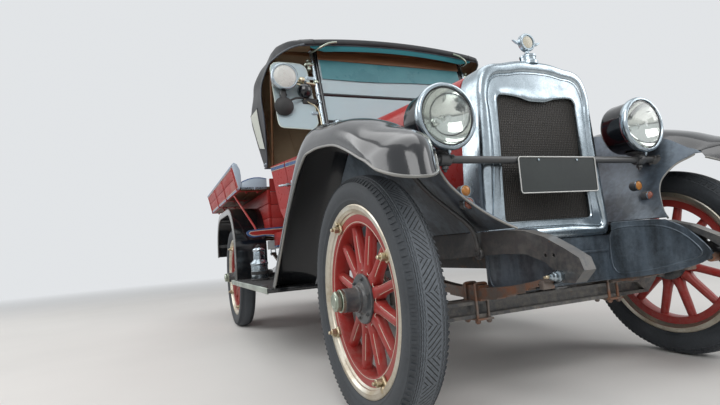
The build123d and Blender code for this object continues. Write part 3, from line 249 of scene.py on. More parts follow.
@dataclass(frozen=True)
class Enamel:
    """Old gloss enamel with fading, fine dust and a slightly wavy surface."""
    name: str
    colour: Colour
    faded: Colour
    dust: Colour = (0.30, 0.27, 0.23)
    dusty: float = 0.25
    rough: float = 0.16
    chipped: float = 0.0
    base: Colour = (0.05, 0.045, 0.04)
    coat: float = 0.35
    shine: float = 0.5

    def material(self) -> bpy.types.Material:
        """Build the node material.

        Returns:
            The finished material.
        """
        b = ShaderBench(self.name)
        cloud = b.noise(2.3, 5.0)
        fine = b.noise(38.0, 6.0, 0.7)
        colour = b.mix(b.span(cloud, 0.38, 0.68), self.colour, self.faded)
        settled = b.upward() * b.span(b.noise(6.0, 5.0), 0.35, 0.75) * self.dusty
        low = b.span(b.axis("Z"), 0.65, 0.25) * b.span(fine, 0.42, 0.62) * self.dusty
        dust = settled + low
        colour = b.mix(dust, colour, self.dust)
        if self.chipped:
            chips = b.span(b.noise(22.0, 8.0, 0.75), 0.70 - 0.16 * self.chipped, 0.73 - 0.16 * self.chipped)
            colour = b.mix(chips, colour, self.base)
        rough = b.span(fine, 0.3, 0.8, self.rough, self.rough + 0.14) + dust * 0.5
        peel = b.bump(b.noise(160.0, 2.0), 0.06, 0.002)
        wavy = b.bump(b.noise(5.0, 1.0), 0.12, 0.02, peel)
        return b.done(Base_Color=colour, Roughness=rough, Normal=wavy, Coat_Weight=self.coat, Coat_Roughness=0.08,
                      Specular_IOR_Level=self.shine)


@dataclass(frozen=True)
class WornPaint:
    """Thin blue-grey paint worn and stained down to darker metal."""
    name: str
    colour: Colour
    bright: Colour
    bare: Colour
    rust: Colour = (0.16, 0.075, 0.04)
    wear: float = 0.5

    def material(self) -> bpy.types.Material:
        """Build the node material.

        Returns:
            The finished material.
        """
        b = ShaderBench(self.name)
        broad = b.noise(4.2, 8.0, 0.68)
        streak = b.noise(9.0, 6.0, 0.6, (1.0, 1.0, 0.22))
        fine = b.noise(60.0, 8.0, 0.7)
        colour = b.mix(b.span(broad, 0.36, 0.66), self.colour, self.bright)
        worn = b.span(streak + fine * 0.35, 0.62 - 0.1 * self.wear, 0.80)
        colour = b.mix(worn * 0.8, colour, self.bare)
        spots = b.span(b.noise(30.0, 9.0, 0.8), 0.66, 0.70)
        colour = b.mix(spots * self.wear, colour, self.rust)
        rough = b.span(broad, 0.3, 0.7, 0.28, 0.55)
        relief = b.bump(fine, 0.12, 0.003, b.bump(broad, 0.2, 0.01))
        return b.done(Base_Color=colour, Roughness=rough, Normal=relief, Metallic=b.span(worn, 0, 1, 0.25, 0.6),
                      Coat_Weight=0.15)


@dataclass(frozen=True)
class Plated:
    """Worn nickel or bright metal with cloudy tarnish."""
    name: str
    colour: Colour
    tarnish: Colour
    rough: float = 0.14
    spread: float = 0.22

    def material(self) -> bpy.types.Material:
        """Build the node material.

        Returns:
            The finished material.
        """
        b = ShaderBench(self.name)
        cloud = b.noise(7.0, 7.0, 0.65)
        fine = b.noise(85.0, 6.0, 0.7)
        stain = b.span(cloud + fine * 0.25, 0.5, 0.82)
        colour = b.mix(stain, self.colour, self.tarnish)
        rough = b.span(stain, 0, 1, self.rough, self.rough + self.spread)
        relief = b.bump(fine, 0.05, 0.001, b.bump(b.noise(4.0, 1.0), 0.1, 0.02))
        return b.done(Base_Color=colour, Roughness=rough, Metallic=1.0, Normal=relief)


@dataclass(frozen=True)
class Rusty:
    """Dark iron or steel with patches of brown rust and road dust."""
    name: str
    steel: Colour
    rust: Colour
    amount: float = 0.5
    rough: float = 0.5
    metallic: float = 0.6
    dust: Colour = (0.24, 0.21, 0.17)

    def material(self) -> bpy.types.Material:
        """Build the node material.

        Returns:
            The finished material.
        """
        b = ShaderBench(self.name)
        broad = b.noise(11.0, 9.0, 0.72)
        fine = b.noise(120.0, 6.0, 0.75)
        patch = b.span(broad, 0.64 - 0.3 * self.amount, 0.76 - 0.3 * self.amount)
        colour = b.mix(patch, self.steel, self.rust)
        dirt = b.upward() * b.span(fine, 0.4, 0.7)
        colour = b.mix(dirt * 0.45, colour, self.dust)
        relief = b.bump(fine, 0.35, 0.0015, b.bump(broad, 0.25, 0.004))
        metal = (1 - patch) * self.metallic
        return b.done(Base_Color=colour, Roughness=b.span(fine, 0.3, 0.8, self.rough - 0.1, self.rough + 0.25),
                      Metallic=metal, Normal=relief)


@dataclass(frozen=True)
class Rubber:
    """Weathered rubber; a tyre's UV map adds the tread's slits and zigzag grooves."""
    name: str
    colour: Colour
    grey: Colour
    tread: bool = False

    def material(self) -> bpy.types.Material:
        """Build the node material.

        Returns:
            The finished material.
        """
        b = ShaderBench(self.name)
        broad = b.noise(9.0, 6.0, 0.65)
        fine = b.noise(140.0, 6.0, 0.7)
        relief = b.bump(fine, 0.3, 0.0012)
        colour = b.mix(b.span(broad + fine * 0.4, 0.5, 0.9), self.colour, self.grey)
        rough = b.span(broad, 0.3, 0.7, 0.55, 0.8)
        if self.tread:
            cut, top = self._grooves(b)
            scuffed = b.mix(top * b.span(fine, 0.3, 0.6, 0.35, 0.9), colour, tuple(2.5 * c for c in self.grey))
            # the cuts are painted at 0.45 of the rubber's colour: painted shade in the grooves
            colour = b.mix(cut, scuffed, tuple(0.45 * c for c in self.colour))
            relief = b.bump(1 - cut, 1.0, 0.0035, relief)
        return b.done(Base_Color=colour, Roughness=rough, Normal=relief)

    @staticmethod
    def _grooves(b: ShaderBench) -> tuple[Wire, Wire]:
        """Masks of the cuts and of the worn tread between them.

        Args:
            b: the bench of the material.

        Returns:
            The mask of the cuts, and that of the tread.
        """
        spot = b.node("ShaderNodeUVMap", {"uv_map": "tread"})
        u = b.node("ShaderNodeSeparateXYZ", None, {0: spot}, out="X")
        v = b.node("ShaderNodeSeparateXYZ", None, {0: spot}, out="Y")
        side = b.node("ShaderNodeMath", {"operation": "ABSOLUTE"}, {0: v})
        lane = b.node("ShaderNodeMath", {"operation": "PINGPONG"}, {0: u * 0.5, 1: 1.0})
        turn = b.span(lane, 0.49, 0.51, -1.0, 1.0)
        slant = b.node("ShaderNodeMath", {"operation": "FRACT"}, {0: (u + turn * v * 26.0) * 2.5 + 40.0})
        slit = slant.above(0.74) * b.span(side, 0.0185, 0.0190, 1.0, 0.0)
        zig = b.node("ShaderNodeMath", {"operation": "PINGPONG"}, {0: u * 6.0, 1: 1.0})
        row = b.node("ShaderNodeMath", {"operation": "FRACT"}, {0: (side + zig * 0.0018) / 0.0052})
        zone = b.span(side, 0.0205, 0.0210) * b.span(side, 0.0355, 0.0360, 1.0, 0.0)
        cut = slit + row.above(0.74) * zone
        return cut, b.span(side, 0.045, 0.030)


@dataclass(frozen=True)
class Boards:
    """Painted or varnished boards with grain along one axis."""
    name: str
    colour: Colour
    dark: Colour
    along: str = "Y"
    worn: Colour = (0.23, 0.15, 0.10)
    wear: float = 0.3
    rough: float = 0.45

    def material(self) -> bpy.types.Material:
        """Build the node material.

        Returns:
            The finished material.
        """
        b = ShaderBench(self.name)
        stretch = {"X": (0.08, 1, 1), "Y": (1, 0.08, 1), "Z": (1, 1, 0.08)}[self.along]
        grain = b.noise(46.0, 8.0, 0.7, stretch)
        broad = b.noise(9.0, 6.0, 0.6, tuple(min(1.0, 4.0 * s) for s in stretch))
        colour = b.mix(b.span(grain, 0.35, 0.7), self.colour, self.dark)
        bare = b.span(broad + grain * 0.4, 0.84 - 0.2 * self.wear, 0.98 - 0.2 * self.wear) * self.wear
        colour = b.mix(bare, colour, self.worn)
        relief = b.bump(grain, 0.28, 0.0018, b.bump(broad, 0.1, 0.01))
        return b.done(Base_Color=colour, Roughness=b.span(grain, 0.3, 0.7, self.rough - 0.08, self.rough + 0.12),
                      Normal=relief, Coat_Weight=0.05, Specular_IOR_Level=0.35)


@dataclass(frozen=True)
class TopCloth:
    """Coated top cloth with a fine leathery grain and soft dust."""
    name: str
    colour: Colour
    light: Colour
    grain: float = 300.0
    rough: float = 0.62

    def material(self) -> bpy.types.Material:
        """Build the node material.

        Returns:
            The finished material.
        """
        b = ShaderBench(self.name)
        cell = b.cells(self.grain)
        cloud = b.noise(6.0, 6.0, 0.6)
        colour = b.mix(b.span(cloud, 0.35, 0.72), self.colour, self.light)
        dust = b.upward() * b.span(b.noise(5.0, 6.0), 0.3, 0.85) * 0.15
        colour = b.mix(dust, colour, (0.27, 0.25, 0.22))
        relief = b.bump(cell, 0.35, 0.0008, b.bump(b.noise(3.5, 2.0), 0.35, 0.02))
        return b.done(Base_Color=colour, Roughness=b.span(cloud, 0.3, 0.7, self.rough - 0.1, self.rough + 0.12),
                      Normal=relief)


@dataclass(frozen=True)
class Glass:
    """Clear or tinted glass, slightly dusty."""
    name: str
    tint: Colour
    rough: float = 0.02
    clear: float = 1.0
    alpha: float = 1.0

    def material(self) -> bpy.types.Material:
        """Build the node material.

        Returns:
            The finished material.
        """
        b = ShaderBench(self.name)
        smear = b.noise(12.0, 6.0, 0.7)
        rough = b.span(smear, 0.45, 0.75, self.rough, self.rough + 0.07)
        return b.done(Base_Color=b.mix(b.span(smear, 0.4, 0.8) * 0.2, self.tint, (0.8, 0.8, 0.76)),
                      Roughness=rough, Transmission_Weight=self.clear, IOR=1.45, Alpha=self.alpha)


@dataclass(frozen=True)
class MeshCore:
    """Dark radiator core with thin upright fins and faint rows; the near-black between the fins is painted shade in the
    gaps.
    """
    name: str
    colour: Colour
    fin: Colour

    def material(self) -> bpy.types.Material:
        """Build the node material.

        Returns:
            The finished material.
        """
        b = ShaderBench(self.name)
        fins = b.node("ShaderNodeTexWave", {"wave_type": "BANDS", "bands_direction": "X"},
                      {"Vector": b.place, "Scale": 36.7, "Distortion": 0.0})
        rows = b.node("ShaderNodeTexWave", {"wave_type": "BANDS", "bands_direction": "Z"},
                      {"Vector": b.place, "Scale": 34.0, "Distortion": 0.0})
        dirt = b.noise(9.0, 6.0, 0.7)
        lines = b.span(fins, 0.55, 0.95) * b.span(rows, 0.1, 0.5, 0.6, 1.0)
        # near-black between the fin lines is painted shade in the core's gaps; the fins keep their dusty colour
        colour = b.mix(lines * b.span(dirt, 0.3, 0.8, 0.35, 1.0), self.colour, self.fin)
        relief = b.bump(fins * b.span(rows, 0.1, 0.5, 0.5, 1.0), 0.9, 0.004)
        return b.done(Base_Color=colour, Roughness=0.55, Normal=relief, Metallic=0.2)


class Palette:
    """All the finishes of the car, by name."""

    def __init__(self) -> None:
        """Build every finish once."""
        finishes = [
            Enamel("body_red", (0.42, 0.020, 0.017), (0.33, 0.018, 0.015), dusty=0.06, rough=0.24, coat=0.10,
                   shine=0.35),
            Enamel("fender_black", (0.006, 0.007, 0.009), (0.011, 0.013, 0.016), dusty=0.06, rough=0.09),
            Enamel("frame_dark", (0.045, 0.048, 0.052), (0.075, 0.075, 0.075), dusty=0.5, rough=0.42,
                   chipped=0.4, base=(0.13, 0.07, 0.045)),
            Enamel("plate_black", (0.006, 0.011, 0.011), (0.011, 0.018, 0.016), dusty=0.08, rough=0.45),
            Enamel("wheel_red", (0.34, 0.022, 0.018), (0.27, 0.030, 0.025), dusty=0.16, rough=0.36,
                   chipped=0.22, base=(0.48, 0.40, 0.32), coat=0.10, shine=0.35),
            Enamel("hub_dark", (0.030, 0.036, 0.042), (0.055, 0.060, 0.065), dusty=0.25, rough=0.4, chipped=0.2),
            Plated("cap_nickel", (0.46, 0.50, 0.42), (0.20, 0.24, 0.19), rough=0.2, spread=0.3),
            Enamel("hub_grey", (0.13, 0.135, 0.13), (0.18, 0.18, 0.17), dusty=0.3, rough=0.45, chipped=0.3),
            WornPaint("apron_grey", (0.085, 0.115, 0.15), (0.17, 0.21, 0.25), (0.05, 0.055, 0.06), wear=0.45),
            WornPaint("under_fender", (0.030, 0.034, 0.022), (0.052, 0.050, 0.034), (0.020, 0.019, 0.014),
                      wear=0.8),
            Plated("nickel", (0.50, 0.57, 0.62), (0.24, 0.29, 0.32)),
            Plated("rim_cream", (0.62, 0.59, 0.51), (0.40, 0.34, 0.25), rough=0.32, spread=0.3),
            Plated("lug_brass", (0.62, 0.55, 0.40), (0.40, 0.33, 0.22), rough=0.3),
            Rusty("spring_steel", (0.20, 0.17, 0.15), (0.22, 0.10, 0.055), amount=0.6, rough=0.45),
            Rusty("iron", (0.09, 0.09, 0.09), (0.14, 0.08, 0.05), amount=0.4),
            Rubber("tyre_rubber", (0.020, 0.024, 0.029), (0.055, 0.062, 0.070), tread=True),
            Rubber("black_rubber", (0.014, 0.014, 0.014), (0.035, 0.035, 0.035)),
            # pale grey of the fender beads and apron wires: painted highlight along the rolled edges, with chips and
            # dust
            Enamel("edge_pale", (0.14, 0.145, 0.14), (0.30, 0.29, 0.26), dusty=0.2, rough=0.3, chipped=0.3),
            Enamel("plate_white", (0.70, 0.70, 0.68), (0.60, 0.60, 0.57), dusty=0.1, rough=0.3),
            Enamel("dial_cream", (0.62, 0.58, 0.46), (0.50, 0.46, 0.36), dusty=0.1, rough=0.3),
            Enamel("stripe_blue", (0.020, 0.075, 0.24), (0.03, 0.10, 0.26), dusty=0.1, rough=0.2),
            Enamel("stripe_white", (0.62, 0.52, 0.42), (0.50, 0.42, 0.34), dusty=0.15, rough=0.35),
            TopCloth("lining_tan", (0.25, 0.17, 0.10), (0.33, 0.24, 0.15), grain=420.0, rough=0.8),
            TopCloth("teal_cloth", (0.012, 0.15, 0.18), (0.020, 0.19, 0.22), grain=420.0, rough=0.7),
            # lighter copy of the top cloth for the binding: painted highlight along its rolled edge
            TopCloth("edge_cloth", (0.060, 0.070, 0.085), (0.12, 0.14, 0.16), grain=420.0, rough=0.5),
            TopCloth("teal_film", (0.050, 0.18, 0.21), (0.08, 0.24, 0.27), grain=900.0, rough=0.3),
            # pale green-white enamel on the wing glass's edge: painted highlight
            Enamel("glass_edge", (0.60, 0.68, 0.60), (0.45, 0.52, 0.46), dusty=0.1, rough=0.2),
            Glass("milk_glass", (0.78, 0.79, 0.75), rough=0.25, clear=0.2),
            Plated("reflector", (0.80, 0.82, 0.80), (0.62, 0.66, 0.62), rough=0.05, spread=0.10),
            Glass("red_glass", (0.42, 0.12, 0.07), rough=0.10, clear=0.4),
            Glass("clear_window", (0.70, 0.73, 0.62), rough=0.2, clear=0.25),
            Boards("bed_red", (0.38, 0.022, 0.018), (0.27, 0.016, 0.014), "Y", wear=0.2),
            Boards("bed_pink", (0.42, 0.045, 0.040), (0.33, 0.030, 0.026), "Y", worn=(0.50, 0.30, 0.26), wear=0.4),
            Boards("bed_worn", (0.26, 0.035, 0.028), (0.16, 0.030, 0.024), "Y", worn=(0.20, 0.13, 0.08), wear=0.8,
                   rough=0.6),
            # dark brown boards of the ledges and sills: painted shade as seen under the ledges, with grain and wear
            Boards("bed_brown", (0.13, 0.060, 0.028), (0.065, 0.030, 0.016), "Y", worn=(0.18, 0.10, 0.05), wear=0.4,
                   rough=0.6),
            Enamel("edge_sky", (0.50, 0.60, 0.70), (0.42, 0.50, 0.60), dusty=0.15, rough=0.3, chipped=0.2,
                   base=(0.20, 0.12, 0.10), coat=0.1),
            WornPaint("board_edge", (0.36, 0.42, 0.36), (0.50, 0.55, 0.50), (0.20, 0.22, 0.19), wear=0.3),
            Boards("bow_wood", (0.20, 0.10, 0.045), (0.11, 0.05, 0.025), "X", wear=0.0, rough=0.35),
            TopCloth("canopy_cloth", (0.022, 0.024, 0.027), (0.045, 0.048, 0.052)),
            TopCloth("seat_leather", (0.030, 0.020, 0.016), (0.055, 0.036, 0.028), grain=170.0, rough=0.42),
            Glass("clear_glass", (0.66, 0.80, 0.85), rough=0.04, clear=0.42),
            Glass("lens_glass", (0.93, 0.95, 0.94), rough=0.03),
            Glass("amber_glass", (0.85, 0.38, 0.08), rough=0.12, clear=0.55),
            # radiator core: dusty fins over near-black gaps that are painted shade
            MeshCore("core_black", (0.010, 0.009, 0.008), (0.085, 0.07, 0.055)),
        ]
        self.made = {one.name: one.material() for one in finishes}

    def put(self, piece: bpy.types.Object, finish: str) -> None:
        """Give the whole piece one finish."""
        piece.data.materials.clear()
        piece.data.materials.append(self.made[finish])


# Modelling tools

class Shop:
    """Shapes pieces with Blender's own tools; every result sits at the origin."""

    @staticmethod
    def clear() -> None:
        """Leave edit mode and deselect everything."""
        if bpy.context.object is not None and bpy.context.object.mode != "OBJECT":
            bpy.ops.object.mode_set(mode="OBJECT")
        bpy.ops.object.select_all(action="DESELECT")

    @classmethod
    def only(cls, piece: bpy.types.Object) -> None:
        """Select one piece and make it active.

        Args:
            piece: the piece to select.
        """
        cls.clear()
        piece.select_set(True)
        bpy.context.view_layer.objects.active = piece

    @classmethod
    def settle(cls, piece: bpy.types.Object) -> bpy.types.Object:
        """Move the piece's place, turn and scale into its mesh.

        Args:
            piece: the piece to change.

        Returns:
            The same piece.
        """
        cls.only(piece)
        bpy.ops.object.transform_apply(location=True, rotation=True, scale=True)
        return piece

    @classmethod
    def clean(cls, piece: bpy.types.Object, gap: float = 0.0001) -> bpy.types.Object:
        """Merge doubled points and point the faces outwards.

        Args:
            piece: the piece to change.
            gap: points closer than this are merged.

        Returns:
            The same piece.
        """
        cls.only(piece)
        bpy.ops.object.mode_set(mode="EDIT")
        bpy.ops.mesh.select_all(action="SELECT")
        bpy.ops.mesh.remove_doubles(threshold=gap)
        bpy.ops.mesh.normals_make_consistent(inside=False)
        bpy.ops.object.mode_set(mode="OBJECT")
        return piece

    @classmethod
    def apply(cls, piece: bpy.types.Object) -> bpy.types.Object:
        """Apply every modifier.

        Args:
            piece: the piece to change.

        Returns:
            The same piece.
        """
        cls.only(piece)
        for modifier in list(piece.modifiers):
            bpy.ops.object.modifier_apply(modifier=modifier.name)
        return piece

    @classmethod
    def smooth(cls, piece: bpy.types.Object, angle: float = 35.0) -> bpy.types.Object:
        """Smooth shading up to an angle between faces.

        Args:
            piece: the piece to change.
            angle: largest smoothed angle, degrees.

        Returns:
            The same piece.
        """
        cls.only(piece)
        bpy.ops.object.shade_smooth_by_angle(angle=math.radians(angle))
        return piece

    @staticmethod
    def mesh(name: str, points: Sequence[Point], faces: Sequence[Sequence[int]],
             edges: Sequence[tuple[int, int]] = ()) -> bpy.types.Object:
        """A new mesh object from points, faces and edges.

        Args:
            name: the piece's name.
            points: the corners.
            faces: each face's places in points.
            edges: loose edges.

        Returns:
            The new object.
        """
        data = bpy.data.meshes.new(name)
        data.from_pydata([tuple(p) for p in points], list(edges), [list(f) for f in faces])
        data.validate()
        piece = bpy.data.objects.new(name, data)
        bpy.context.scene.collection.objects.link(piece)
        return piece

    @classmethod
    def lathe(cls, name: str, profile: Sequence[tuple[float, float]], foot: Point, direction: Point,
              steps: int = 48, crease: float = 30.0) -> bpy.types.Object:
        """Spin a profile about an axis.

        Args:
            name: the piece's name.
            profile: (radius, distance along the axis) from end to end.
            foot: where the axis starts.
            direction: which way it runs.
            steps: sides of the round shape.
            crease: edges sharper than this many degrees stay sharp.

        Returns:
            The finished piece.
        """
        axis = Vector(direction).normalized()
        out = axis.orthogonal().normalized()
        start = Vector(foot)
        points = [start + axis * along + out * max(radius, 0.0) for radius, along in profile]
        piece = cls.mesh(name, points, (), [(i, i + 1) for i in range(len(points) - 1)])
        cls.only(piece)
        bpy.ops.object.mode_set(mode="EDIT")
        bpy.ops.mesh.select_all(action="SELECT")
        bpy.ops.mesh.spin(steps=steps, angle=math.tau, center=start, axis=axis)
        bpy.ops.object.mode_set(mode="OBJECT")
        cls.clean(piece, 0.00005)
        return cls.smooth(piece, crease)

    @classmethod
    def tube(cls, name: str, points: Sequence[Point], radius: float, closed: bool = False, sides: int = 3,
             smooth: bool = True, caps: bool = True) -> bpy.types.Object:
        """A round bar that follows points, made as a bevelled curve and turned into a mesh.

        Args:
            name: the piece's name.
            points: the points that it passes or, where smooth, follows.
            radius: half of its thickness.
            closed: whether its ends meet.
            sides: the bevel's resolution.
            smooth: a NURBS line instead of straight runs.
            caps: close the ends.

        Returns:
            The finished piece.
        """
        cls.clear()
        bpy.ops.curve.primitive_nurbs_path_add(location=(0, 0, 0))
        piece = bpy.context.object
        piece.name = name
        curve = piece.data
        curve.splines.clear()
        line = curve.splines.new("NURBS" if smooth else "POLY")
        line.points.add(len(points) - 1)
        for spot, place in zip(line.points, points):
            spot.co = (*place, 1.0)
        if smooth:
            line.order_u = 3
            line.use_endpoint_u = not closed
            line.resolution_u = 6
        line.use_cyclic_u = closed
        curve.dimensions = "3D"
        curve.bevel_depth = radius
        curve.bevel_resolution = sides
        curve.use_fill_caps = caps and not closed
        cls.only(piece)
        bpy.ops.object.convert(target="MESH")
        piece = bpy.context.object
        return cls.smooth(cls.clean(piece, 0.00001), 50.0)

    @classmethod
    def sheet(cls, name: str, rows: Sequence[Sequence[Point]], thick: float = 0.0, inside: int = 0,
              wrap: bool = False) -> bpy.types.Object:
        """A surface through rows of points, given a thickness inwards.

        Args:
            name: the piece's name.
            rows: the grid of points.
            thick: wall thickness, 0 for none.
            inside: material place of the inner face.
            wrap: whether each row closes on itself.

        Returns:
            The finished piece.
        """
        across = len(rows[0])
        faces = []
        for i in range(len(rows) - 1):
            for j in range(across if wrap else across - 1):
                k = (j + 1) % across
                faces.append((i * across + j, (i + 1) * across + j, (i + 1) * across + k, i * across + k))
        piece = cls.mesh(name, [p for row in rows for p in row], faces)
        if thick:
            shell = piece.modifiers.new("wall", "SOLIDIFY")
            shell.thickness = thick
            shell.offset = -1.0
            shell.material_offset = inside
            cls.apply(piece)
        return cls.smooth(piece, 40.0)

    @classmethod
    def slab(cls, name: str, outline: Sequence[Point], push: Point, bevel: float = 0.0,
             segments: int = 2) -> bpy.types.Object:
        """A flat outline extruded by push, with softened edges.

        Args:
            name: the piece's name.
            outline: points round the flat face.
            push: direction and depth of the extrusion.
            bevel: width of the softened edges, 0 for none.
            segments: faces across a softened edge.

        Returns:
            The modelled piece, without a finish.
        """
        piece = cls.mesh(name, outline, [range(len(outline))])
        cls.only(piece)
        bpy.ops.object.mode_set(mode="EDIT")
        bpy.ops.mesh.select_all(action="SELECT")
        bpy.ops.mesh.extrude_region_move(TRANSFORM_OT_translate={"value": push})
        bpy.ops.mesh.select_all(action="SELECT")
        bpy.ops.mesh.normals_make_consistent(inside=False)
        bpy.ops.object.mode_set(mode="OBJECT")
        if bevel:
            cls.bevel(piece, bevel, segments)
        return cls.smooth(piece)

    @classmethod
    def bevel(cls, piece: bpy.types.Object, width: float, segments: int = 2, angle: float = 40.0) -> bpy.types.Object:
        """Round the sharp edges of a piece.

        Args:
            piece: the piece to change.
            width: width of the rounding.
            segments: faces across the rounding.
            angle: smallest angle that is rounded, degrees.

        Returns:
            The same piece.
        """
        round_off = piece.modifiers.new("edges", "BEVEL")
        round_off.width = width
        round_off.segments = segments
        round_off.limit_method = "ANGLE"
        round_off.angle_limit = math.radians(angle)
        return cls.apply(piece)

    @classmethod
    def board(cls, name: str, low: Point, high: Point, bevel: float = 0.004) -> bpy.types.Object:
        """A board between two corners, with rounded edges.

        Args:
            name: the piece's name.
            low: its lowest corner.
            high: its highest corner.
            bevel: width of the rounded edges.

        Returns:
            The modelled piece, without a finish.
        """
        cls.clear()
        middle = (Vector(low) + Vector(high)) / 2
        size = [abs(b - a) for a, b in zip(low, high)]
        bpy.ops.mesh.primitive_cube_add(size=1.0, location=middle)
        piece = bpy.context.object
        piece.name = name
        piece.scale = size
        cls.settle(piece)
        return cls.smooth(cls.bevel(piece, min(bevel, min(size) * 0.45)))

    @classmethod
    def nut(cls, name: str, place: Point, direction: Point, radius: float, height: float,
            stud: float = 0.0) -> bpy.types.Object:
        """Six-sided nut or bolt head with a chamfer and, with stud, a bolt's end on top.

        Args:
            name: the piece's name.
            place: middle of its foot.
            direction: the way it stands.
            radius: from the middle to a corner.
            height: height of the nut.
            stud: height of the bolt's end above the nut, 0 for none.

        Returns:
            The modelled piece, without a finish.
        """
        cls.clear()
        turn = Vector(direction).to_track_quat("Z", "Y").to_matrix().to_4x4()
        middle = Vector(place) + Vector(direction).normalized() * height / 2
        bpy.ops.mesh.primitive_cylinder_add(vertices=6, radius=radius, depth=height)
        piece = bpy.context.object
        piece.name = name
        piece.matrix_world = Matrix.Translation(middle) @ turn
        cls.settle(piece)
        cls.bevel(piece, radius * 0.12, 1)
        cls.smooth(piece, 30.0)
        if stud:
            top = Vector(place) + Vector(direction).normalized() * height * 0.9
            end = cls.lathe(name + "_end", [(0, 0), (radius * 0.5, 0), (radius * 0.5, stud * 0.8),
                                            (radius * 0.38, stud), (0, stud)], top, direction, 10)
            piece = cls.join([piece, end], name)
        return piece

    @classmethod
    def copy(cls, piece: bpy.types.Object, matrix: Matrix, name: str) -> bpy.types.Object:
        """Another piece with its own mesh, moved by the matrix.

        Args:
            piece: the piece to copy.
            matrix: where the copy goes.
            name: the copy's name.

        Returns:
            The copy.
        """
        twin = piece.copy()
        twin.data = piece.data.copy()
        twin.name = name
        bpy.context.scene.collection.objects.link(twin)
        twin.data.transform(matrix)
        if matrix.determinant() < 0:
            twin.data.flip_normals()
        return twin

    @classmethod
    def mirrored(cls, piece: bpy.types.Object, name: str) -> bpy.types.Object:
        """The same piece on the other side of the car."""
        return cls.copy(piece, Matrix.Diagonal((-1, 1, 1, 1)), name)

    @classmethod
    def join(cls, parts: Sequence[bpy.types.Object], name: str) -> bpy.types.Object:
        """Join several objects into one.

        Args:
            parts: the objects, the first of which stays.
            name: the piece's name.

        Returns:
            The joined piece.
        """
        cls.clear()
        for part in parts:
            part.select_set(True)
        bpy.context.view_layer.objects.active = parts[0]
        if len(parts) > 1:
            bpy.ops.object.join()
        piece = bpy.context.object if bpy.context.object in parts else parts[0]
        piece.name = name
        piece.data.name = name
        return piece

    @classmethod
    def around(cls, piece: bpy.types.Object, count: int, axis: str, name: str, start: float = 0.0,
               centre: Point = (0, 0, 0)) -> bpy.types.Object:
        """Copies of a piece round an axis through the centre, joined.

        Args:
            piece: the piece, which is removed.
            count: number of copies.
            axis: X, Y or Z.
            name: the piece's name.
            start: turn of the first copy, degrees.
            centre: a point on the axis.

        Returns:
            The joined copies.
        """
        move = Matrix.Translation(centre)
        parts = []
        for i in range(count):
            turn = Matrix.Rotation(math.radians(start) + math.tau * i / count, 4, axis)
            parts.append(cls.copy(piece, move @ turn @ move.inverted(), f"{name}_{i}"))
        bpy.data.objects.remove(piece)
        return cls.join(parts, name)

    @classmethod
    def both(cls, piece: bpy.types.Object, name: str) -> bpy.types.Object:
        """A piece and its mirror image joined into one."""
        return cls.join([piece, cls.mirrored(piece, name + "_other")], name)


def flow(points: Sequence[Sequence[float]], steps: int) -> list[Vector]:
    """Points on a smooth line through the given points, with steps between neighbours.

    Args:
        points: the given points.
        steps: points from one of them to the next.

    Returns:
        The points of the line.
    """
    spots = [Vector(p) for p in points]
    ends = [2 * spots[0] - spots[1], *spots, 2 * spots[-1] - spots[-2]]
    line = []
    for a, b, c, d in zip(ends, ends[1:], ends[2:], ends[3:]):
        for k in range(steps):
            t = k / steps
            line.append(0.5 * (2 * b + (c - a) * t + (2 * a - 5 * b + 4 * c - d) * t * t
                               + (3 * b - a - 3 * c + d) * t ** 3))
    line.append(spots[-1])
    return line


def flow_grid(rows: Sequence[Sequence[Sequence[float]]], along: int, across: int) -> list[list[Vector]]:
    """A finer grid of points on a smooth surface through the given rows.

    Args:
        rows: the given rows.
        along: steps from row to row.
        across: steps along a row.

    Returns:
        The finer rows.
    """
    wide = [flow(row, across) for row in rows]
    columns = [flow([row[j] for row in wide], along) for j in range(len(wide[0]))]
    return [[column[i] for column in columns] for i in range(len(columns[0]))]


def between(x: float, table: Sequence[tuple[float, float]]) -> float:
    """Value at x of a smooth curve through a table of (x, value).

    Args:
        x: where the value is read.
        table: rows of x and value, x rising.

    Returns:
        The value.
    """
    if x <= table[0][0]:
        return table[0][1]
    for k in range(len(table) - 1):
        (x0, y0), (x1, y1) = table[k], table[k + 1]
        if x <= x1:
            before = table[max(k - 1, 0)]
            after = table[min(k + 2, len(table) - 1)]
            m0 = (y1 - before[1]) / (x1 - before[0])
            m1 = (after[1] - y0) / (after[0] - x0)
            h = x1 - x0
            t = (x - x0) / h
            return ((2 * t ** 3 - 3 * t * t + 1) * y0 + (t ** 3 - 2 * t * t + t) * h * m0
                    + (3 * t * t - 2 * t ** 3) * y1 + (t ** 3 - t * t) * h * m1)
    return table[-1][1]


def car(x: float, y: float, z: float) -> Vector:
    """Point in the frame from x, the distance behind the front axle, and z."""
    return Vector((x, AXLE_Y + y, z))


@dataclass
class Fitter:
    """Names, paints and mounts each new piece on a body of the frame."""
    palette: "Palette"
    nodes: dict[str, bpy.types.Object]
    count: int = 0

    def put(self, piece: bpy.types.Object, name: str, finish: str, body: str = "chassis",
            nodes: Sequence[str] = (), second: str = "") -> bpy.types.Object:
        """Finish one piece.

        Args:
            piece: the modelled mesh.
            name: its plain name.
            finish: the palette's finish.
            body: the CAD body that it rides on.
            nodes: CAD nodes that it stands for.
            second: finish of its second material place.

        Returns:
            The same piece.
        """
        piece.name = name
        piece.data.name = name
        Shop.clear()
        self.palette.put(piece, finish)
        if second:
            piece.data.materials.append(self.palette.made[second])
        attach(piece, body)
        if nodes:
            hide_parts(*nodes)
        self.count += 1
        log.info("%s: %d faces, %s on %s", name, len(piece.data.polygons), finish, body)
        return piece


# Wheels and tyres

class End(Enum):
    """Which axle a wheel is on."""
    FRONT = "front"
    REAR = "rear"


class Side(Enum):
    """Side of the car; the value is the sign of X."""
    RIGHT = -1
    LEFT = 1


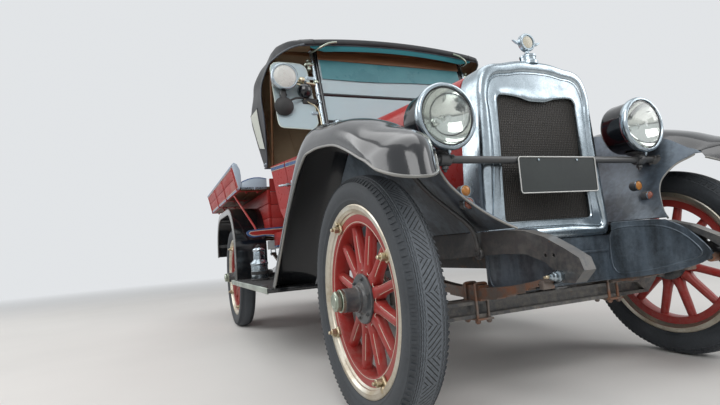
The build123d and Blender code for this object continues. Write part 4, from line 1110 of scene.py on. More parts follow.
@dataclass
class WoodWheel:
    """Twelve-spoke wood wheel with a demountable rim, modelled about X with its outer face at +X."""
    felloe_inner: float = 0.238
    felloe_outer: float = 0.268
    felloe_half: float = 0.029
    spokes: int = 12
    spoke_rows: tuple[tuple[float, float, float], ...] = (
        # distance from the middle, half width, half depth
        (0.044, 0.0116, 0.0210), (0.070, 0.0184, 0.0210), (0.084, 0.0214, 0.0210), (0.097, 0.0200, 0.0208),
        (0.116, 0.0170, 0.0204), (0.140, 0.0162, 0.0200), (0.185, 0.0160, 0.0186), (0.222, 0.0152, 0.0172),
        (0.240, 0.0146, 0.0166))
    lugs: int = 4

    def wood(self) -> bpy.types.Object:
        """Felloe and spokes.

        Returns:
            The modelled piece, without a finish.
        """
        f, g, h = self.felloe_inner, self.felloe_outer, self.felloe_half
        ring = Shop.lathe("felloe", [(f + 0.004, -h), (g, -h), (g, h), (f + 0.004, h), (f + 0.0012, h - 0.0012),
                                     (f, h - 0.004), (f, 0.004 - h), (f + 0.0012, 0.0012 - h), (f + 0.004, -h)],
                          (0, 0, 0), (1, 0, 0), 96)
        spoke = Shop.around(self._spoke(), self.spokes, "X", "spokes", 360 / self.spokes / 2)
        return Shop.join([ring, spoke], "wood")

    def _spoke(self) -> bpy.types.Object:
        """One spoke along +Z, flat-sided at the hub and oval further out.

        Returns:
            The modelled piece, without a finish.
        """
        sides = 20
        rows = []
        for place, (radius, wide, deep) in enumerate(self.spoke_rows):
            square = 6.0 if place < 3 else (3.2 if place == 3 else 2.3)
            ring = []
            for k in range(sides):
                a = math.tau * (k + 0.5) / sides
                c, s = math.cos(a), math.sin(a)
                reach = (abs(c) ** square + abs(s) ** square) ** (-1 / square)
                ring.append((deep * reach * c, wide * reach * s, radius))
            rows.append(ring)
        return Shop.clean(Shop.sheet("spoke", rows, wrap=True))

    def pinstripes(self) -> bpy.types.Object:
        """Thin painted lines round the gaps between the spokes and on the felloe.

        Returns:
            The modelled piece, without a finish.
        """
        table = [(r, w) for r, w, _ in self.spoke_rows]
        depth = [(r, d) for r, _, d in self.spoke_rows]
        half = math.pi / self.spokes
        bow = []
        for r in (0.205, 0.180, 0.155, 0.135, 0.117, 0.104, 0.095):
            w = between(r, table) * 0.72
            bow.append((between(r, depth) * 0.70, r, half - math.asin(w / r)))
        low = [(0.0190, 0.0885, 0.25 * half)]
        line = [(x, r * math.sin(-a), r * math.cos(-a)) for x, r, a in bow + low]
        line += [(x, r * math.sin(a), r * math.cos(a)) for x, r, a in reversed(bow + low)]
        one = Shop.tube("bow", line, 0.0012, sides=2)
        bows = Shop.around(one, self.spokes, "X", "bows")
        r, x = self.felloe_inner + 0.0062, self.felloe_half
        ring = Shop.lathe("line", [(r - 0.0011, x - 0.0008), (r - 0.0011, x + 0.0007), (r + 0.0011, x + 0.0007),
                                   (r + 0.0011, x - 0.0008), (r - 0.0011, x - 0.0008)], (0, 0, 0), (1, 0, 0), 96)
        return Shop.join([bows, ring], "pinstripes")

    def rim(self) -> bpy.types.Object:
        """Rolled steel rim with its side flanges and the split line.

        Returns:
            The modelled piece, without a finish.
        """
        profile = [(0.268, -0.029), (0.280, -0.040), (0.282, -0.0455), (0.2975, -0.0460), (0.3015, -0.0440),
                   (0.3005, -0.0405), (0.2960, -0.0400), (0.2900, -0.0390), (0.286, -0.035), (0.286, 0.035),
                   (0.2900, 0.0390), (0.2960, 0.0400), (0.3005, 0.0405), (0.3015, 0.0440), (0.2975, 0.0460),
                   (0.2850, 0.0455), (0.2835, 0.0435), (0.2815, 0.0420), (0.2775, 0.0385), (0.2760, 0.0375),
                   (0.2745, 0.0330), (0.268, 0.0290), (0.268, -0.029)]
        return Shop.lathe("rim", profile, (0, 0, 0), (1, 0, 0), 96, 25)

    def lug_set(self) -> bpy.types.Object:
        """Rim clamps, each a wedge under a nut on a long stud.

        Returns:
            The modelled piece, without a finish.
        """
        wedge = Shop.slab("wedge", [(0.0288, -0.014, 0.247), (0.0288, 0.014, 0.247), (0.0288, 0.017, 0.268),
                                    (0.0288, 0.014, 0.288), (0.0288, -0.014, 0.288), (0.0288, -0.017, 0.268)],
                          (0.010, 0, 0), 0.003)
        ear = Shop.slab("ear", [(0.038, -0.011, 0.276), (0.038, 0.011, 0.276), (0.038, 0.009, 0.294),
                                (0.038, -0.009, 0.294)], (0.0085, 0, 0), 0.002)
        washer = Shop.lathe("washer", [(0, 0), (0.0125, 0), (0.0125, 0.003), (0, 0.003)], (0.0385, 0, 0.263),
                            (1, 0, 0), 20)
        nut = Shop.nut("nut", (0.0414, 0, 0.263), (1, 0, 0), 0.0125, 0.017, 0.012)
        one = Shop.join([wedge, ear, washer, nut], "lug")
        return Shop.around(one, self.lugs, "X", "lugs", 60)

    def hub(self) -> bpy.types.Object:
        """Hub flanges with their bolts and the dark barrel.

        Returns:
            The modelled piece, without a finish.
        """
        flange = Shop.lathe("flange", [(0.036, 0.0205), (0.079, 0.0205), (0.079, 0.0262), (0.0765, 0.0290),
                                       (0.052, 0.0300), (0.0475, 0.0340), (0.0450, 0.0400), (0.0425, 0.0410),
                                       (0.0415, 0.0470), (0.0385, 0.0485), (0.0370, 0.0530), (0.0370, 0.0900),
                                       (0.0350, 0.0920), (0.0, 0.0920)], (0, 0, 0), (1, 0, 0), 64)
        back = Shop.lathe("back", [(0.036, -0.0205), (0.079, -0.0205), (0.079, -0.0290), (0.050, -0.0295),
                                   (0.046, -0.0330), (0.0455, -0.0420), (0.030, -0.0420)], (0, 0, 0), (1, 0, 0), 64)
        bolt = Shop.nut("bolt", (0.0288, 0, 0.064), (1, 0, 0), 0.0062, 0.0052, 0.004)
        bolts = Shop.around(bolt, 6, "X", "bolts", 15)
        return Shop.join([flange, back, bolts], "hub")

    def cap(self) -> bpy.types.Object:
        """Nickel hub cap with a hexagon end.

        Returns:
            The modelled piece, without a finish.
        """
        collar = Shop.lathe("collar", [(0.030, 0.0900), (0.0345, 0.0900), (0.0360, 0.0925), (0.0360, 0.1010),
                                       (0.0345, 0.1030), (0.0, 0.1030)], (0, 0, 0), (1, 0, 0), 48)
        end = Shop.nut("end", (0.1020, 0, 0), (1, 0, 0), 0.0335, 0.0190)
        disc = Shop.lathe("disc", [(0.0235, 0.1200), (0.0225, 0.1232), (0.0170, 0.1240), (0.0160, 0.1228),
                                   (0.0, 0.1236)], (0, 0, 0), (1, 0, 0), 40)
        return Shop.join([collar, end, disc], "cap")

    def drum(self) -> bpy.types.Object:
        """Rear brake drum behind the spokes, with cooling ribs.

        Returns:
            The modelled piece, without a finish.
        """
        inner = -0.029
        profile = [(0.040, inner), (0.140, inner), (0.1485, inner - 0.002)]
        for k in range(3):
            x = inner - 0.010 - 0.013 * k
            profile += [(0.1485, x + 0.002), (0.1500, x), (0.1500, x - 0.005), (0.1485, x - 0.007)]
        profile += [(0.1485, inner - 0.050), (0.1440, inner - 0.052), (0.1440, inner - 0.006), (0.040, inner - 0.006)]
        return Shop.lathe("drum", profile, (0, 0, 0), (1, 0, 0), 72)


@dataclass
class RibbedTyre:
    """Balloon tyre with a grooved tread, modelled about X."""
    outer: float = 0.392
    half: float = 0.058
    pitches: int = 60
    profile: tuple[tuple[float, float], ...] = (
        # radius, place across, from the bead to the middle of the tread
        (0.2860, 0.0355), (0.3000, 0.0365), (0.3030, 0.0440), (0.3100, 0.0495), (0.3150, 0.0520), (0.3170, 0.0518),
        (0.3240, 0.0546), (0.3340, 0.0570), (0.3450, 0.0580),
        (0.3560, 0.0572), (0.3640, 0.0548), (0.3655, 0.0550), (0.3675, 0.0535), (0.3740, 0.0490), (0.3790, 0.0455),
        (0.3812, 0.0430), (0.3830, 0.0405), (0.3822, 0.0385), (0.3828, 0.0368), (0.3862, 0.0350), (0.3878, 0.0320),
        (0.3866, 0.0300), (0.3866, 0.0284), (0.3892, 0.0268), (0.3904, 0.0210), (0.3914, 0.0120), (0.3920, 0.0))

    def body(self) -> bpy.types.Object:
        """The whole tyre with its grooves and shoulder teeth, mapped round and across.

        Returns:
            The modelled piece, without a finish.
        """
        path = [*self.profile, *[(r, -x) for r, x in reversed(self.profile[:-1])], self.profile[0]]
        carcass = Shop.lathe("carcass", path, (0, 0, 0), (1, 0, 0), 144, 28)
        tooth = Shop.slab("tooth", [(0.0390, -0.0048, 0.3790), (0.0390, 0.0048, 0.3790), (0.0515, 0.0034, 0.3672),
                                    (0.0515, -0.0034, 0.3672)], (0.0036, 0, 0.0052), 0.0)
        teeth = Shop.around(tooth, 2 * self.pitches, "X", "teeth")
        other = Shop.copy(teeth, Matrix.Rotation(math.pi / self.pitches / 2, 4, "X") @ Matrix.Diagonal((-1, 1, 1, 1)),
                          "teeth_other")
        tyre = Shop.join([carcass, teeth, other], "tyre")
        self._unroll(tyre.data)
        return tyre

    def _unroll(self, mesh: bpy.types.Mesh) -> None:
        """Map U in tread pitches round the tyre and V in metres across it.

        Args:
            mesh: the tyre's mesh.
        """
        layer = mesh.uv_layers.new(name="tread")
        for face in mesh.polygons:
            turns = []
            for loop in face.loop_indices:
                y, z = mesh.vertices[mesh.loops[loop].vertex_index].co.yz
                turns.append(math.atan2(z, y) / math.tau)
            if max(turns) - min(turns) > 0.5:
                turns = [t + 1 if t < 0 else t for t in turns]
            for loop, turn in zip(face.loop_indices, turns):
                place = mesh.vertices[mesh.loops[loop].vertex_index].co
                radius = math.hypot(place.y, place.z)
                layer.data[loop].uv = (turn * self.pitches, place.x if radius > 0.366 else 0.08)


class RunningGear:
    """The four wheels with their tyres, on the wheel bodies."""

    def __init__(self, fit: Fitter) -> None:
        """Keep the fitter."""
        self.fit = fit

    def build(self) -> None:
        """Model one wheel and one tyre, and place a copy on each axle end."""
        wheel = WoodWheel()
        parts = [("wood", wheel.wood(), "wheel_red"), ("pinstripes", wheel.pinstripes(), "stripe_white"),
                 ("rim", wheel.rim(), "rim_cream"), ("lugs", wheel.lug_set(), "lug_brass"),
                 ("hub", wheel.hub(), "hub_dark"), ("cap", wheel.cap(), "cap_nickel")]
        drum = wheel.drum()
        tyre = RibbedTyre().body()
        for end in End:
            for side in Side:
                place = self._place(end, side)
                label = f"{end.value}_{side.name.lower()}"
                body = f"wheel_{label}"
                for word, model, finish in parts:
                    nodes = (f"wheel_{label}",) if word == "wood" else ()
                    self.fit.put(Shop.copy(model, place, word), f"wheel_{word}_{label}", finish, body, nodes)
                if end is End.REAR:
                    self.fit.put(Shop.copy(drum, place, "drum"), f"brake_drum_{label}", "hub_grey", body)
                self.fit.put(Shop.copy(tyre, place, "tyre"), f"tyre_tread_{label}", "tyre_rubber", body,
                             (f"tyre_{label}",))
        for model in [drum, tyre] + [model for _, model, _ in parts]:
            bpy.data.objects.remove(model)

    @staticmethod
    def _place(end: End, side: Side) -> Matrix:
        """Where a wheel goes: its axle end, mirrored on the right.

        Args:
            end: the axle.
            side: the side of the car.

        Returns:
            The wheel's place.
        """
        y = AXLE_Y + (WHEELBASE if end is End.REAR else 0.0)
        spot = Matrix.Translation((side.value * TRACK_HALF, y, WHEEL_Z))
        return spot @ Matrix.Diagonal((side.value, 1, 1, 1))


# Fenders and aprons

@dataclass
class FrontFender:
    """Crowned front fender with its apron down to the frame; left side, mirrored for the right."""
    rows: tuple[tuple[float, float, float, float, float], ...] = (
        # crown y and z, lip y and z, drop of the inner edge
        (1.020, 0.378, 0.880, 0.378, 0.026), (0.865, 0.526, 0.735, 0.527, 0.026),
        (0.700, 0.685, 0.570, 0.686, 0.026), (0.560, 0.819, 0.440, 0.792, 0.026),
        (0.437, 0.937, 0.360, 0.851, 0.026), (0.380, 0.981, 0.318, 0.873, 0.026),
        (0.290, 1.014, 0.245, 0.904, 0.027), (0.200, 1.017, 0.170, 0.905, 0.027),
        (0.103, 0.995, 0.085, 0.899, 0.029), (-0.050, 0.966, -0.058, 0.875, 0.029),
        (-0.160, 0.930, -0.160, 0.838, 0.040), (-0.250, 0.888, -0.250, 0.797, 0.055))
    inside: tuple[tuple[float, float], ...] = ((0.600, 1.0), (0.655, 0.27), (0.725, 0.0))
    outside: tuple[tuple[float, float], ...] = ((0.785, 0.10), (0.822, 0.36), (0.836, 0.70), (0.834, 1.0))
    nose: tuple[tuple[Point, ...], ...] = (
        ((0.602, -0.258, 0.828), (0.655, -0.305, 0.850), (0.722, -0.350, 0.850), (0.772, -0.360, 0.835),
         (0.812, -0.335, 0.815), (0.831, -0.300, 0.795), (0.834, -0.285, 0.782)),
        ((0.603, -0.265, 0.815), (0.655, -0.335, 0.826), (0.712, -0.408, 0.810), (0.762, -0.425, 0.800),
         (0.806, -0.390, 0.790), (0.829, -0.335, 0.778), (0.833, -0.310, 0.768)),
        ((0.605, -0.272, 0.800), (0.660, -0.362, 0.752), (0.722, -0.452, 0.718), (0.772, -0.472, 0.708),
         (0.811, -0.430, 0.717), (0.830, -0.360, 0.742), (0.833, -0.320, 0.762)))
    apron_share: tuple[tuple[float, float], ...] = ((0.3403, 0.0), (0.430, 0.29), (0.520, 0.60), (0.5997, 1.0))
    apron_front: tuple[tuple[float, float], ...] = (
        # x, distance behind the axle
        (0.3403, -0.276), (0.370, -0.244), (0.420, -0.203), (0.460, -0.175), (0.500, -0.165), (0.550, -0.193),
        (0.5997, -0.264))
    rail_top: float = 0.577
    board_top: float = 0.388
    thick: float = 0.004

    def grid(self) -> list[list[Point]]:
        """Rows of points on the outer face, from the running board to the nose.

        Returns:
            The rows of points.
        """
        line = [(y, z) for y, z, _, _, _ in self.rows] + [self.nose[0][2][1:]]
        out = []
        for i, (y, z, lip_y, lip_z, drop) in enumerate(self.rows):
            before, after = line[max(i - 1, 0)], line[i + 1]
            run = Vector((before[0] - after[0], before[1] - after[1])).normalized()
            row = [(x, y + run.y * drop * share, z - run.x * drop * share) for x, share in self.inside]
            row += [(x, y + (lip_y - y) * share, z + (lip_z - z) * share) for x, share in self.outside]
            out.append(row)
        return out + [list(row) for row in self.nose]

    def shell(self) -> bpy.types.Object:
        """The fender's sheet, cut level on the running board.

        Returns:
            The modelled piece, without a finish.
        """
        fine = flow_grid(self.grid(), 5, 5)
        rows = [[car(*p) for p in row] for row in fine]
        piece = Shop.sheet("shell", rows, self.thick, 1)
        Shop.only(piece)
        bpy.ops.object.mode_set(mode="EDIT")
        bpy.ops.mesh.select_all(action="SELECT")
        bpy.ops.mesh.bisect(plane_co=(0, 0, self.board_top), plane_no=(0, 0, 1), clear_inner=True, use_fill=True)
        bpy.ops.object.mode_set(mode="OBJECT")
        return Shop.smooth(piece, 40)

    def bead(self) -> bpy.types.Object:
        """Rolled bead along the outer lip, round the nose and back to the apron.

        Returns:
            The modelled piece, without a finish.
        """
        fine = flow_grid(self.grid(), 5, 5)
        lip = [row[-1] for row in fine if row[-1].z > self.board_top + 0.006]
        nose = list(reversed(fine[-1]))[1:]
        line = [car(p.x, p.y, p.z) + Vector((-0.001, 0, -0.001)) for p in lip + nose]
        return Shop.tube("bead", line, 0.0042, sides=3)

    def edge_height(self, y: float) -> float:
        """Height of the fender's inner edge this far behind the axle."""
        edge = sorted((row[0][1], row[0][2]) for row in self.grid() if row[0][2] > self.rail_top + 0.06)
        return between(y, edge)

    def apron(self) -> tuple[bpy.types.Object, bpy.types.Object]:
        """Sheet between the fender and the rail, and the wire along its front edge.

        Returns:
            The sheet and the wire.
        """
        back = 0.682
        rows = []
        steps, across = 44, 22
        for i in range(steps + 1):
            row = []
            for j in range(across + 1):
                x = self.apron_share[0][0] + (self.apron_share[-1][0] - self.apron_share[0][0]) * j / across
                front = between(x, self.apron_front)
                t = i / steps
                y = front + (back - front) * t
                dent = 0.0035 * math.sin(9 * y + 21 * x) * math.sin(math.pi * j / across) * math.sin(math.pi * t)
                z = self.rail_top + (self.edge_height(y) - self.rail_top) * between(x, self.apron_share) + dent
                row.append(car(x, y, z))
            rows.append(row[::-1])
        piece = Shop.sheet("apron", rows[::-1], self.thick)
        wire = Shop.tube("wire", [p + Vector((0, 0.001, -0.002)) for p in rows[0][1:]], 0.0036, sides=3)
        return piece, wire


@dataclass
class RearFender:
    """Edge beads and brackets of the rear fenders, whose bands are the CAD nodes."""
    outer: float = 0.828
    inner: float = 0.6003
    corners: tuple[tuple[float, float], ...] = ((2.112, 0.388), (2.098, 0.928), (3.170, 0.928), (3.200, 0.560))
    radius: float = 0.330

    def line(self, x: float, inset: float) -> list[Vector]:
        """The band's outline at x, rounded at its two corners.

        Args:
            x: where the band is cut.
            inset: distance in from its surface.

        Returns:
            The points of the outline.
        """
        spots = [Vector((y, z)) for y, z in self.corners]
        out = [spots[0]]
        for before, corner, after in zip(spots, spots[1:], spots[2:]):
            to_before = (before - corner).normalized()
            to_after = (after - corner).normalized()
            half = to_before.angle(to_after) / 2
            centre = corner + (to_before + to_after).normalized() * (self.radius / math.sin(half))
            start = corner + to_before * (self.radius / math.tan(half))
            end = corner + to_after * (self.radius / math.tan(half))
            a0 = math.atan2(*(start - centre).yx)
            a1 = math.atan2(*(end - centre).yx)
            turn = (a1 - a0 + math.pi) % math.tau - math.pi
            out += [centre + self.radius * Vector((math.cos(a0 + turn * k / 14), math.sin(a0 + turn * k / 14)))
                    for k in range(15)]
        out.append(spots[-1])
        middle = Vector((2.646, 0.5))
        return [car(x, *(p + (middle - p).normalized() * inset)) for p in out]

    def trim(self) -> bpy.types.Object:
        """Beads along the skirt's lower edge and the crown's outer corner.

        Returns:
            The modelled piece, without a finish.
        """
        low = Shop.tube("low", self.line(self.outer - 0.002, 0.0445), 0.0050, sides=3)
        high = Shop.tube("high", self.line(self.outer - 0.0035, 0.0025), 0.0040, sides=3)
        return Shop.join([low, high], "trim")

    def strap(self) -> bpy.types.Object:
        """Stiffening straps across the band's underside, with rivets.

        Returns:
            The modelled piece, without a finish.
        """
        parts = []
        path = self.line(0.0, 0.006)
        for k in (6, 15, 22, 29):
            a, b = path[k], path[min(k + 1, len(path) - 1)]
            run = (b - a).normalized() * 0.014
            inward = (car(0, 2.646, 0.5) - a).normalized() * 0.004
            x0, x1 = self.inner + 0.004, self.outer - 0.006
            parts.append(Shop.slab("strap", [Vector((x0, 0, 0)) + a - run, Vector((x1, 0, 0)) + a - run,
                                             Vector((x1, 0, 0)) + a + run, Vector((x0, 0, 0)) + a + run],
                                   inward, 0.001))
            for x in (x0 + 0.02, (x0 + x1) / 2, x1 - 0.02):
                parts.append(Shop.lathe("rivet", [(0, 0.0032), (0.004, 0.0026), (0.0062, 0.0)],
                                        a + inward + Vector((x, 0, 0)), inward, 8))
        return Shop.join(parts, "straps")


class Fenders:
    """Front and rear fenders with their aprons and edges."""

    def __init__(self, fit: Fitter) -> None:
        """Keep the fitter."""
        self.fit = fit

    def build(self) -> None:
        """Model the left side and mirror it."""
        front = FrontFender()
        rear = RearFender()
        shell, bead = front.shell(), front.bead()
        apron, wire = front.apron()
        trim, strap = rear.trim(), rear.strap()
        for side in Side:
            label = side.name.lower()
            make = (lambda piece: piece) if side is Side.LEFT else (lambda piece: Shop.mirrored(piece, "other"))
            self.fit.put(make(shell), f"fender_skin_front_{label}", "fender_black",
                         nodes=(f"fender_front_{label}",), second="under_fender")
            # beads, apron wires and rear trim are painted pale as a highlight along the rolled edges
            self.fit.put(make(bead), f"fender_bead_front_{label}", "edge_pale")
            self.fit.put(make(wire), f"apron_edge_{label}", "edge_pale")
            self.fit.put(make(trim), f"fender_bead_rear_{label}", "edge_pale")
            self.fit.put(make(strap), f"fender_straps_rear_{label}", "frame_dark")
        left = apron
        both = Shop.join([left, Shop.mirrored(left, "apron_other")], "aprons")
        self.fit.put(both, "fender_apron_sheets", "apron_grey", nodes=("fender_aprons",))


# Radiator, lamps and front end

@dataclass
class Radiator:
    """Nickel shell with a rolled band and ribs, its cap and the core's frame."""
    centre: tuple[float, float] = (0.0, 0.830)
    half_bottom: float = 0.300
    half_top: float = 0.270
    shoulder: float = 1.085
    bottom: float = 0.530
    top: float = 1.213
    core_bottom: float = 0.604
    core_top: float = 1.071
    core_half_bottom: float = 0.206
    core_half_top: float = 0.190
    sides: int = 200

    def _outer(self) -> list[Vector]:
        """Outer outline in (x, z) as a closed line.

        Returns:
            The points of the outline.
        """
        b, t, s = self.half_bottom, self.half_top, self.shoulder
        right = flow([(t, s - 0.04), (t, s), (t - 0.012, s + 0.048), (t - 0.034, s + 0.084), (t - 0.070, s + 0.103),
                      (t - 0.118, self.top - 0.018), (0.080, self.top - 0.004), (0.0, self.top)], 8)
        left = [Vector((-p.x, p.y)) for p in reversed(right[:-1])]
        r = 0.022
        base = [(-b, self.bottom + r), (-b + r * 0.3, self.bottom + r * 0.3), (-b + r, self.bottom),
                (b - r, self.bottom), (b - r * 0.3, self.bottom + r * 0.3), (b, self.bottom + r)]
        return right + left + [Vector(p) for p in base]

    def _inner(self) -> list[Vector]:
        """Outline of the core opening in (x, z), with its dipped top edge.

        Returns:
            The points of the outline.
        """
        b, t, top = self.core_half_bottom, self.core_half_top, self.core_top
        right = flow([(t, top - 0.040), (t, top - 0.022), (t - 0.012, top - 0.005), (t - 0.034, top),
                      (t - 0.100, top - 0.006), (0.040, top - 0.0185), (0.0, top - 0.020)], 8)
        left = [Vector((-p.x, p.y)) for p in reversed(right[:-1])]
        r = 0.010
        low = self.core_bottom
        base = [(-b, low + r), (-b + r * 0.3, low + r * 0.3), (-b + r, low), (b - r, low), (b - r * 0.3, low + r * 0.3),
                (b, low + r)]
        return right + left + [Vector(p) for p in base]

    def _reach(self, outline: list[Vector], angle: float) -> float:
        """Distance from the centre to the outline along an angle.

        Args:
            outline: the closed outline.
            angle: the direction, radians.

        Returns:
            The distance.
        """
        c = Vector(self.centre)
        ray = Vector((math.cos(angle), math.sin(angle)))
        best = 0.0
        for a, b in zip(outline, outline[1:] + outline[:1]):
            edge = b - a
            cross = ray.x * edge.y - ray.y * edge.x
            if abs(cross) < 1e-12:
                continue
            gap = a - c
            along = (gap.x * edge.y - gap.y * edge.x) / cross
            share = (gap.x * ray.y - gap.y * ray.x) / cross
            if -1e-6 <= share <= 1 + 1e-6 and along > best:
                best = along
        return best

    def shell(self) -> bpy.types.Object:
        """Shell swept round from its back edge over the rolled band to the core.

        Returns:
            The modelled piece, without a finish.
        """
        outer, inner = self._outer(), self._inner()
        # inset from the outside (m), share of what is left to the core, distance behind the axle
        section = ((0.0, 0.0, 0.048), (0.0, 0.0, -0.040), (0.0008, 0.0, -0.050), (0.0035, 0.0, -0.0595),
                   (0.009, 0.0, -0.0665), (0.018, 0.0, -0.0705), (0.029, 0.0, -0.0718), (0.039, 0.0, -0.0706),
                   (0.0455, 0.0, -0.0672), (0.0480, 0.0, -0.0640), (0.0500, 0.0, -0.0640), (0.0520, 0.0, -0.0668),
                   (0.0545, 0.0, -0.0672), (0.0565, 0.0, -0.0645), (0.0580, 0.10, -0.0640), (0.0580, 0.50, -0.0640),
                   (0.0580, 0.72, -0.0640), (0.0580, 0.80, -0.0668), (0.0580, 0.93, -0.0672), (0.0580, 1.0, -0.0640),
                   (0.0580, 1.0, -0.0530))
        rows = []
        for k in range(self.sides):
            angle = math.tau * k / self.sides
            far, near = self._reach(outer, angle), self._reach(inner, angle)
            row = []
            for inset, share, y in section:
                scale = min(1.0, (far - near) * 0.72 / 0.058)
                r = far - inset * scale
                r -= (r - near) * share
                row.append(car(self.centre[0] + r * math.cos(angle), y, self.centre[1] + r * math.sin(angle)))
            rows.append(row)
        rows.append(rows[0])
        piece = Shop.sheet("shell", [r[::-1] for r in rows], 0.0)
        Shop.clean(piece)
        wall = piece.modifiers.new("wall", "SOLIDIFY")
        wall.thickness = 0.0025
        wall.offset = -1.0
        return Shop.smooth(Shop.apply(piece), 32)

    def cap(self) -> bpy.types.Object:
        """Filler neck, stem and round glass dial with short wings.

        Returns:
            The modelled piece, without a finish.
        """
        y, z = -0.042, self.top
        neck = Shop.lathe("neck", [(0.0, -0.012), (0.036, -0.012), (0.036, -0.001), (0.033, 0.003), (0.029, 0.005),
                                   (0.029, 0.016), (0.031, 0.018), (0.031, 0.024), (0.026, 0.028), (0.012, 0.031),
                                   (0.009, 0.036), (0.009, 0.048), (0.0, 0.048)], car(0, y, z), (0, 0, 1), 40, 25)
        hub = car(0, y - 0.009, z + 0.079)
        ring = Shop.lathe("ring", [(0.0, 0.0), (0.030, 0.0), (0.036, 0.002), (0.036, 0.016), (0.030, 0.018),
                                   (0.0, 0.018), ], hub, (0, 1, 0), 40, 25)
        face = Shop.lathe("lip", [(0.0265, 0.0), (0.028, -0.003), (0.0325, -0.003), (0.035, 0.001)], hub, (0, 1, 0), 40)
        parts = [neck, ring, face]
        for side in (-1, 1):
            wing = [car(side * x, y - 0.003, z + h) for x, h in ((0.030, 0.066), (0.052, 0.072), (0.070, 0.084),
                                                                 (0.062, 0.086), (0.045, 0.083), (0.031, 0.080))]
            if side < 0:
                wing.reverse()
            parts.append(Shop.slab("wing", wing, (0, 0.006, 0), 0.0018))
        return Shop.join(parts, "cap")

    def dial(self) -> bpy.types.Object:
        """Pale disc of the dial behind its rim.

        Returns:
            The modelled piece, without a finish.
        """
        hub = car(0, -0.051, self.top + 0.079)
        disc = Shop.lathe("disc", [(0.0, -0.0012), (0.018, -0.0008), (0.0268, 0.0004), (0.0268, 0.002)], hub,
                          (0, 1, 0), 32)
        return disc


@dataclass
class Headlamp:
    """Left drum headlamp with its ring, reflector, bulb and bracket."""
    x: float = 0.463
    z: float = 0.956
    front: float = -0.150
    radius: float = 0.113

    def drum(self) -> bpy.types.Object:
        """Black drum that steps in to a domed back.

        Returns:
            The modelled piece, without a finish.
        """
        r = self.radius
        profile = [(r - 0.012, 0.006), (r - 0.006, 0.018), (r - 0.005, 0.030), (r - 0.0085, 0.033), (r - 0.010, 0.060),
                   (r - 0.010, 0.112), (r - 0.014, 0.124), (r - 0.028, 0.138), (r - 0.050, 0.150), (0.042, 0.1595),
                   (0.040, 0.163), (0.020, 0.1648), (0.0, 0.165)]
        return Shop.lathe("drum", profile, car(self.x, self.front, self.z), (0, 1, 0), 72, 28)

    def ring(self) -> bpy.types.Object:
        """Bright ring round the glass.

        Returns:
            The modelled piece, without a finish.
        """
        r = self.radius
        profile = [(r - 0.0155, 0.010), (r - 0.0150, 0.003), (r - 0.0125, -0.0005), (r - 0.0080, -0.0010),
                   (r - 0.0030, 0.0020), (r - 0.0004, 0.0080), (r, 0.0150), (r - 0.0010, 0.0240),
                   (r - 0.0030, 0.0275), (r - 0.0065, 0.0280), (r - 0.0075, 0.0180)]
        ring = Shop.lathe("ring", profile, car(self.x, self.front, self.z), (0, 1, 0), 96, 40)
        catch = Shop.nut("catch", car(self.x, self.front + 0.014, self.z - r + 0.002), (0, 0, -1), 0.006, 0.010, 0.006)
        return Shop.join([ring, catch], "ring")

    def reflector(self) -> bpy.types.Object:
        """Polished bowl behind the glass.

        Returns:
            The modelled piece, without a finish.
        """
        profile = [(0.0972, 0.0110), (0.0940, 0.0180), (0.0850, 0.0330), (0.0700, 0.0500), (0.0500, 0.0650),
                   (0.0280, 0.0750), (0.0140, 0.0785), (0.0130, 0.0700), (0.0110, 0.0690), (0.0, 0.0690)]
        return Shop.lathe("bowl", profile, car(self.x, self.front, self.z), (0, 1, 0), 72, 40)

    def gasket(self) -> bpy.types.Object:
        """Dark seal between ring and glass.

        Returns:
            The modelled piece, without a finish.
        """
        r = self.radius
        profile = [(r - 0.0150, 0.0105), (r - 0.0150, 0.0040), (r - 0.0185, 0.0035), (r - 0.0195, 0.0060),
                   (r - 0.0195, 0.0105)]
        return Shop.lathe("gasket", profile, car(self.x, self.front, self.z), (0, 1, 0), 72, 40)

    def bulb(self) -> bpy.types.Object:
        """Small clear bulb at the middle of the bowl.

        Returns:
            The modelled piece, without a finish.
        """
        profile = [(0.0070, 0.0690), (0.0070, 0.0560), (0.0105, 0.0500), (0.0125, 0.0420), (0.0105, 0.0340),
                   (0.0050, 0.0300), (0.0, 0.0292)]
        return Shop.lathe("bulb", profile, car(self.x, self.front, self.z), (0, 1, 0), 20, 60)

    def bracket(self) -> bpy.types.Object:
        """Clamp on the lamp bar with its cradle, nuts and stud.

        Returns:
            The modelled piece, without a finish.
        """
        bar = car(self.x, -0.102, 0.820)
        clamp = Shop.lathe("clamp", [(0.0135, -0.020), (0.0205, -0.020), (0.0225, -0.014), (0.0225, 0.014),
                                     (0.0205, 0.020), (0.0135, 0.020)], bar, (1, 0, 0), 32, 25)
        post = Shop.lathe("post", [(0.013, 0.012), (0.0135, 0.020), (0.0105, 0.023), (0.0105, 0.034), (0.020, 0.037),
                                   (0.021, 0.041), (0.0, 0.0412)], bar, (0, 0, 1), 28, 25)
        cup = Shop.lathe("cup", [(0.0, 0.0), (0.012, 0.0), (0.028, 0.0060), (0.036, 0.0130), (0.034, 0.0150),
                                 (0.0, 0.0100)], car(self.x, -0.090, self.z - self.radius - 0.0045), (0, 0, 1), 28, 25)
        nut = Shop.nut("nut", car(self.x, -0.102, 0.7975), (0, 0, -1), 0.0125, 0.011, 0.010)
        side = Shop.nut("side", car(self.x - 0.018, -0.124, 0.826), (0, -1, 0), 0.0075, 0.006, 0.006)
        return Shop.join([clamp, post, cup, nut, side], "bracket")


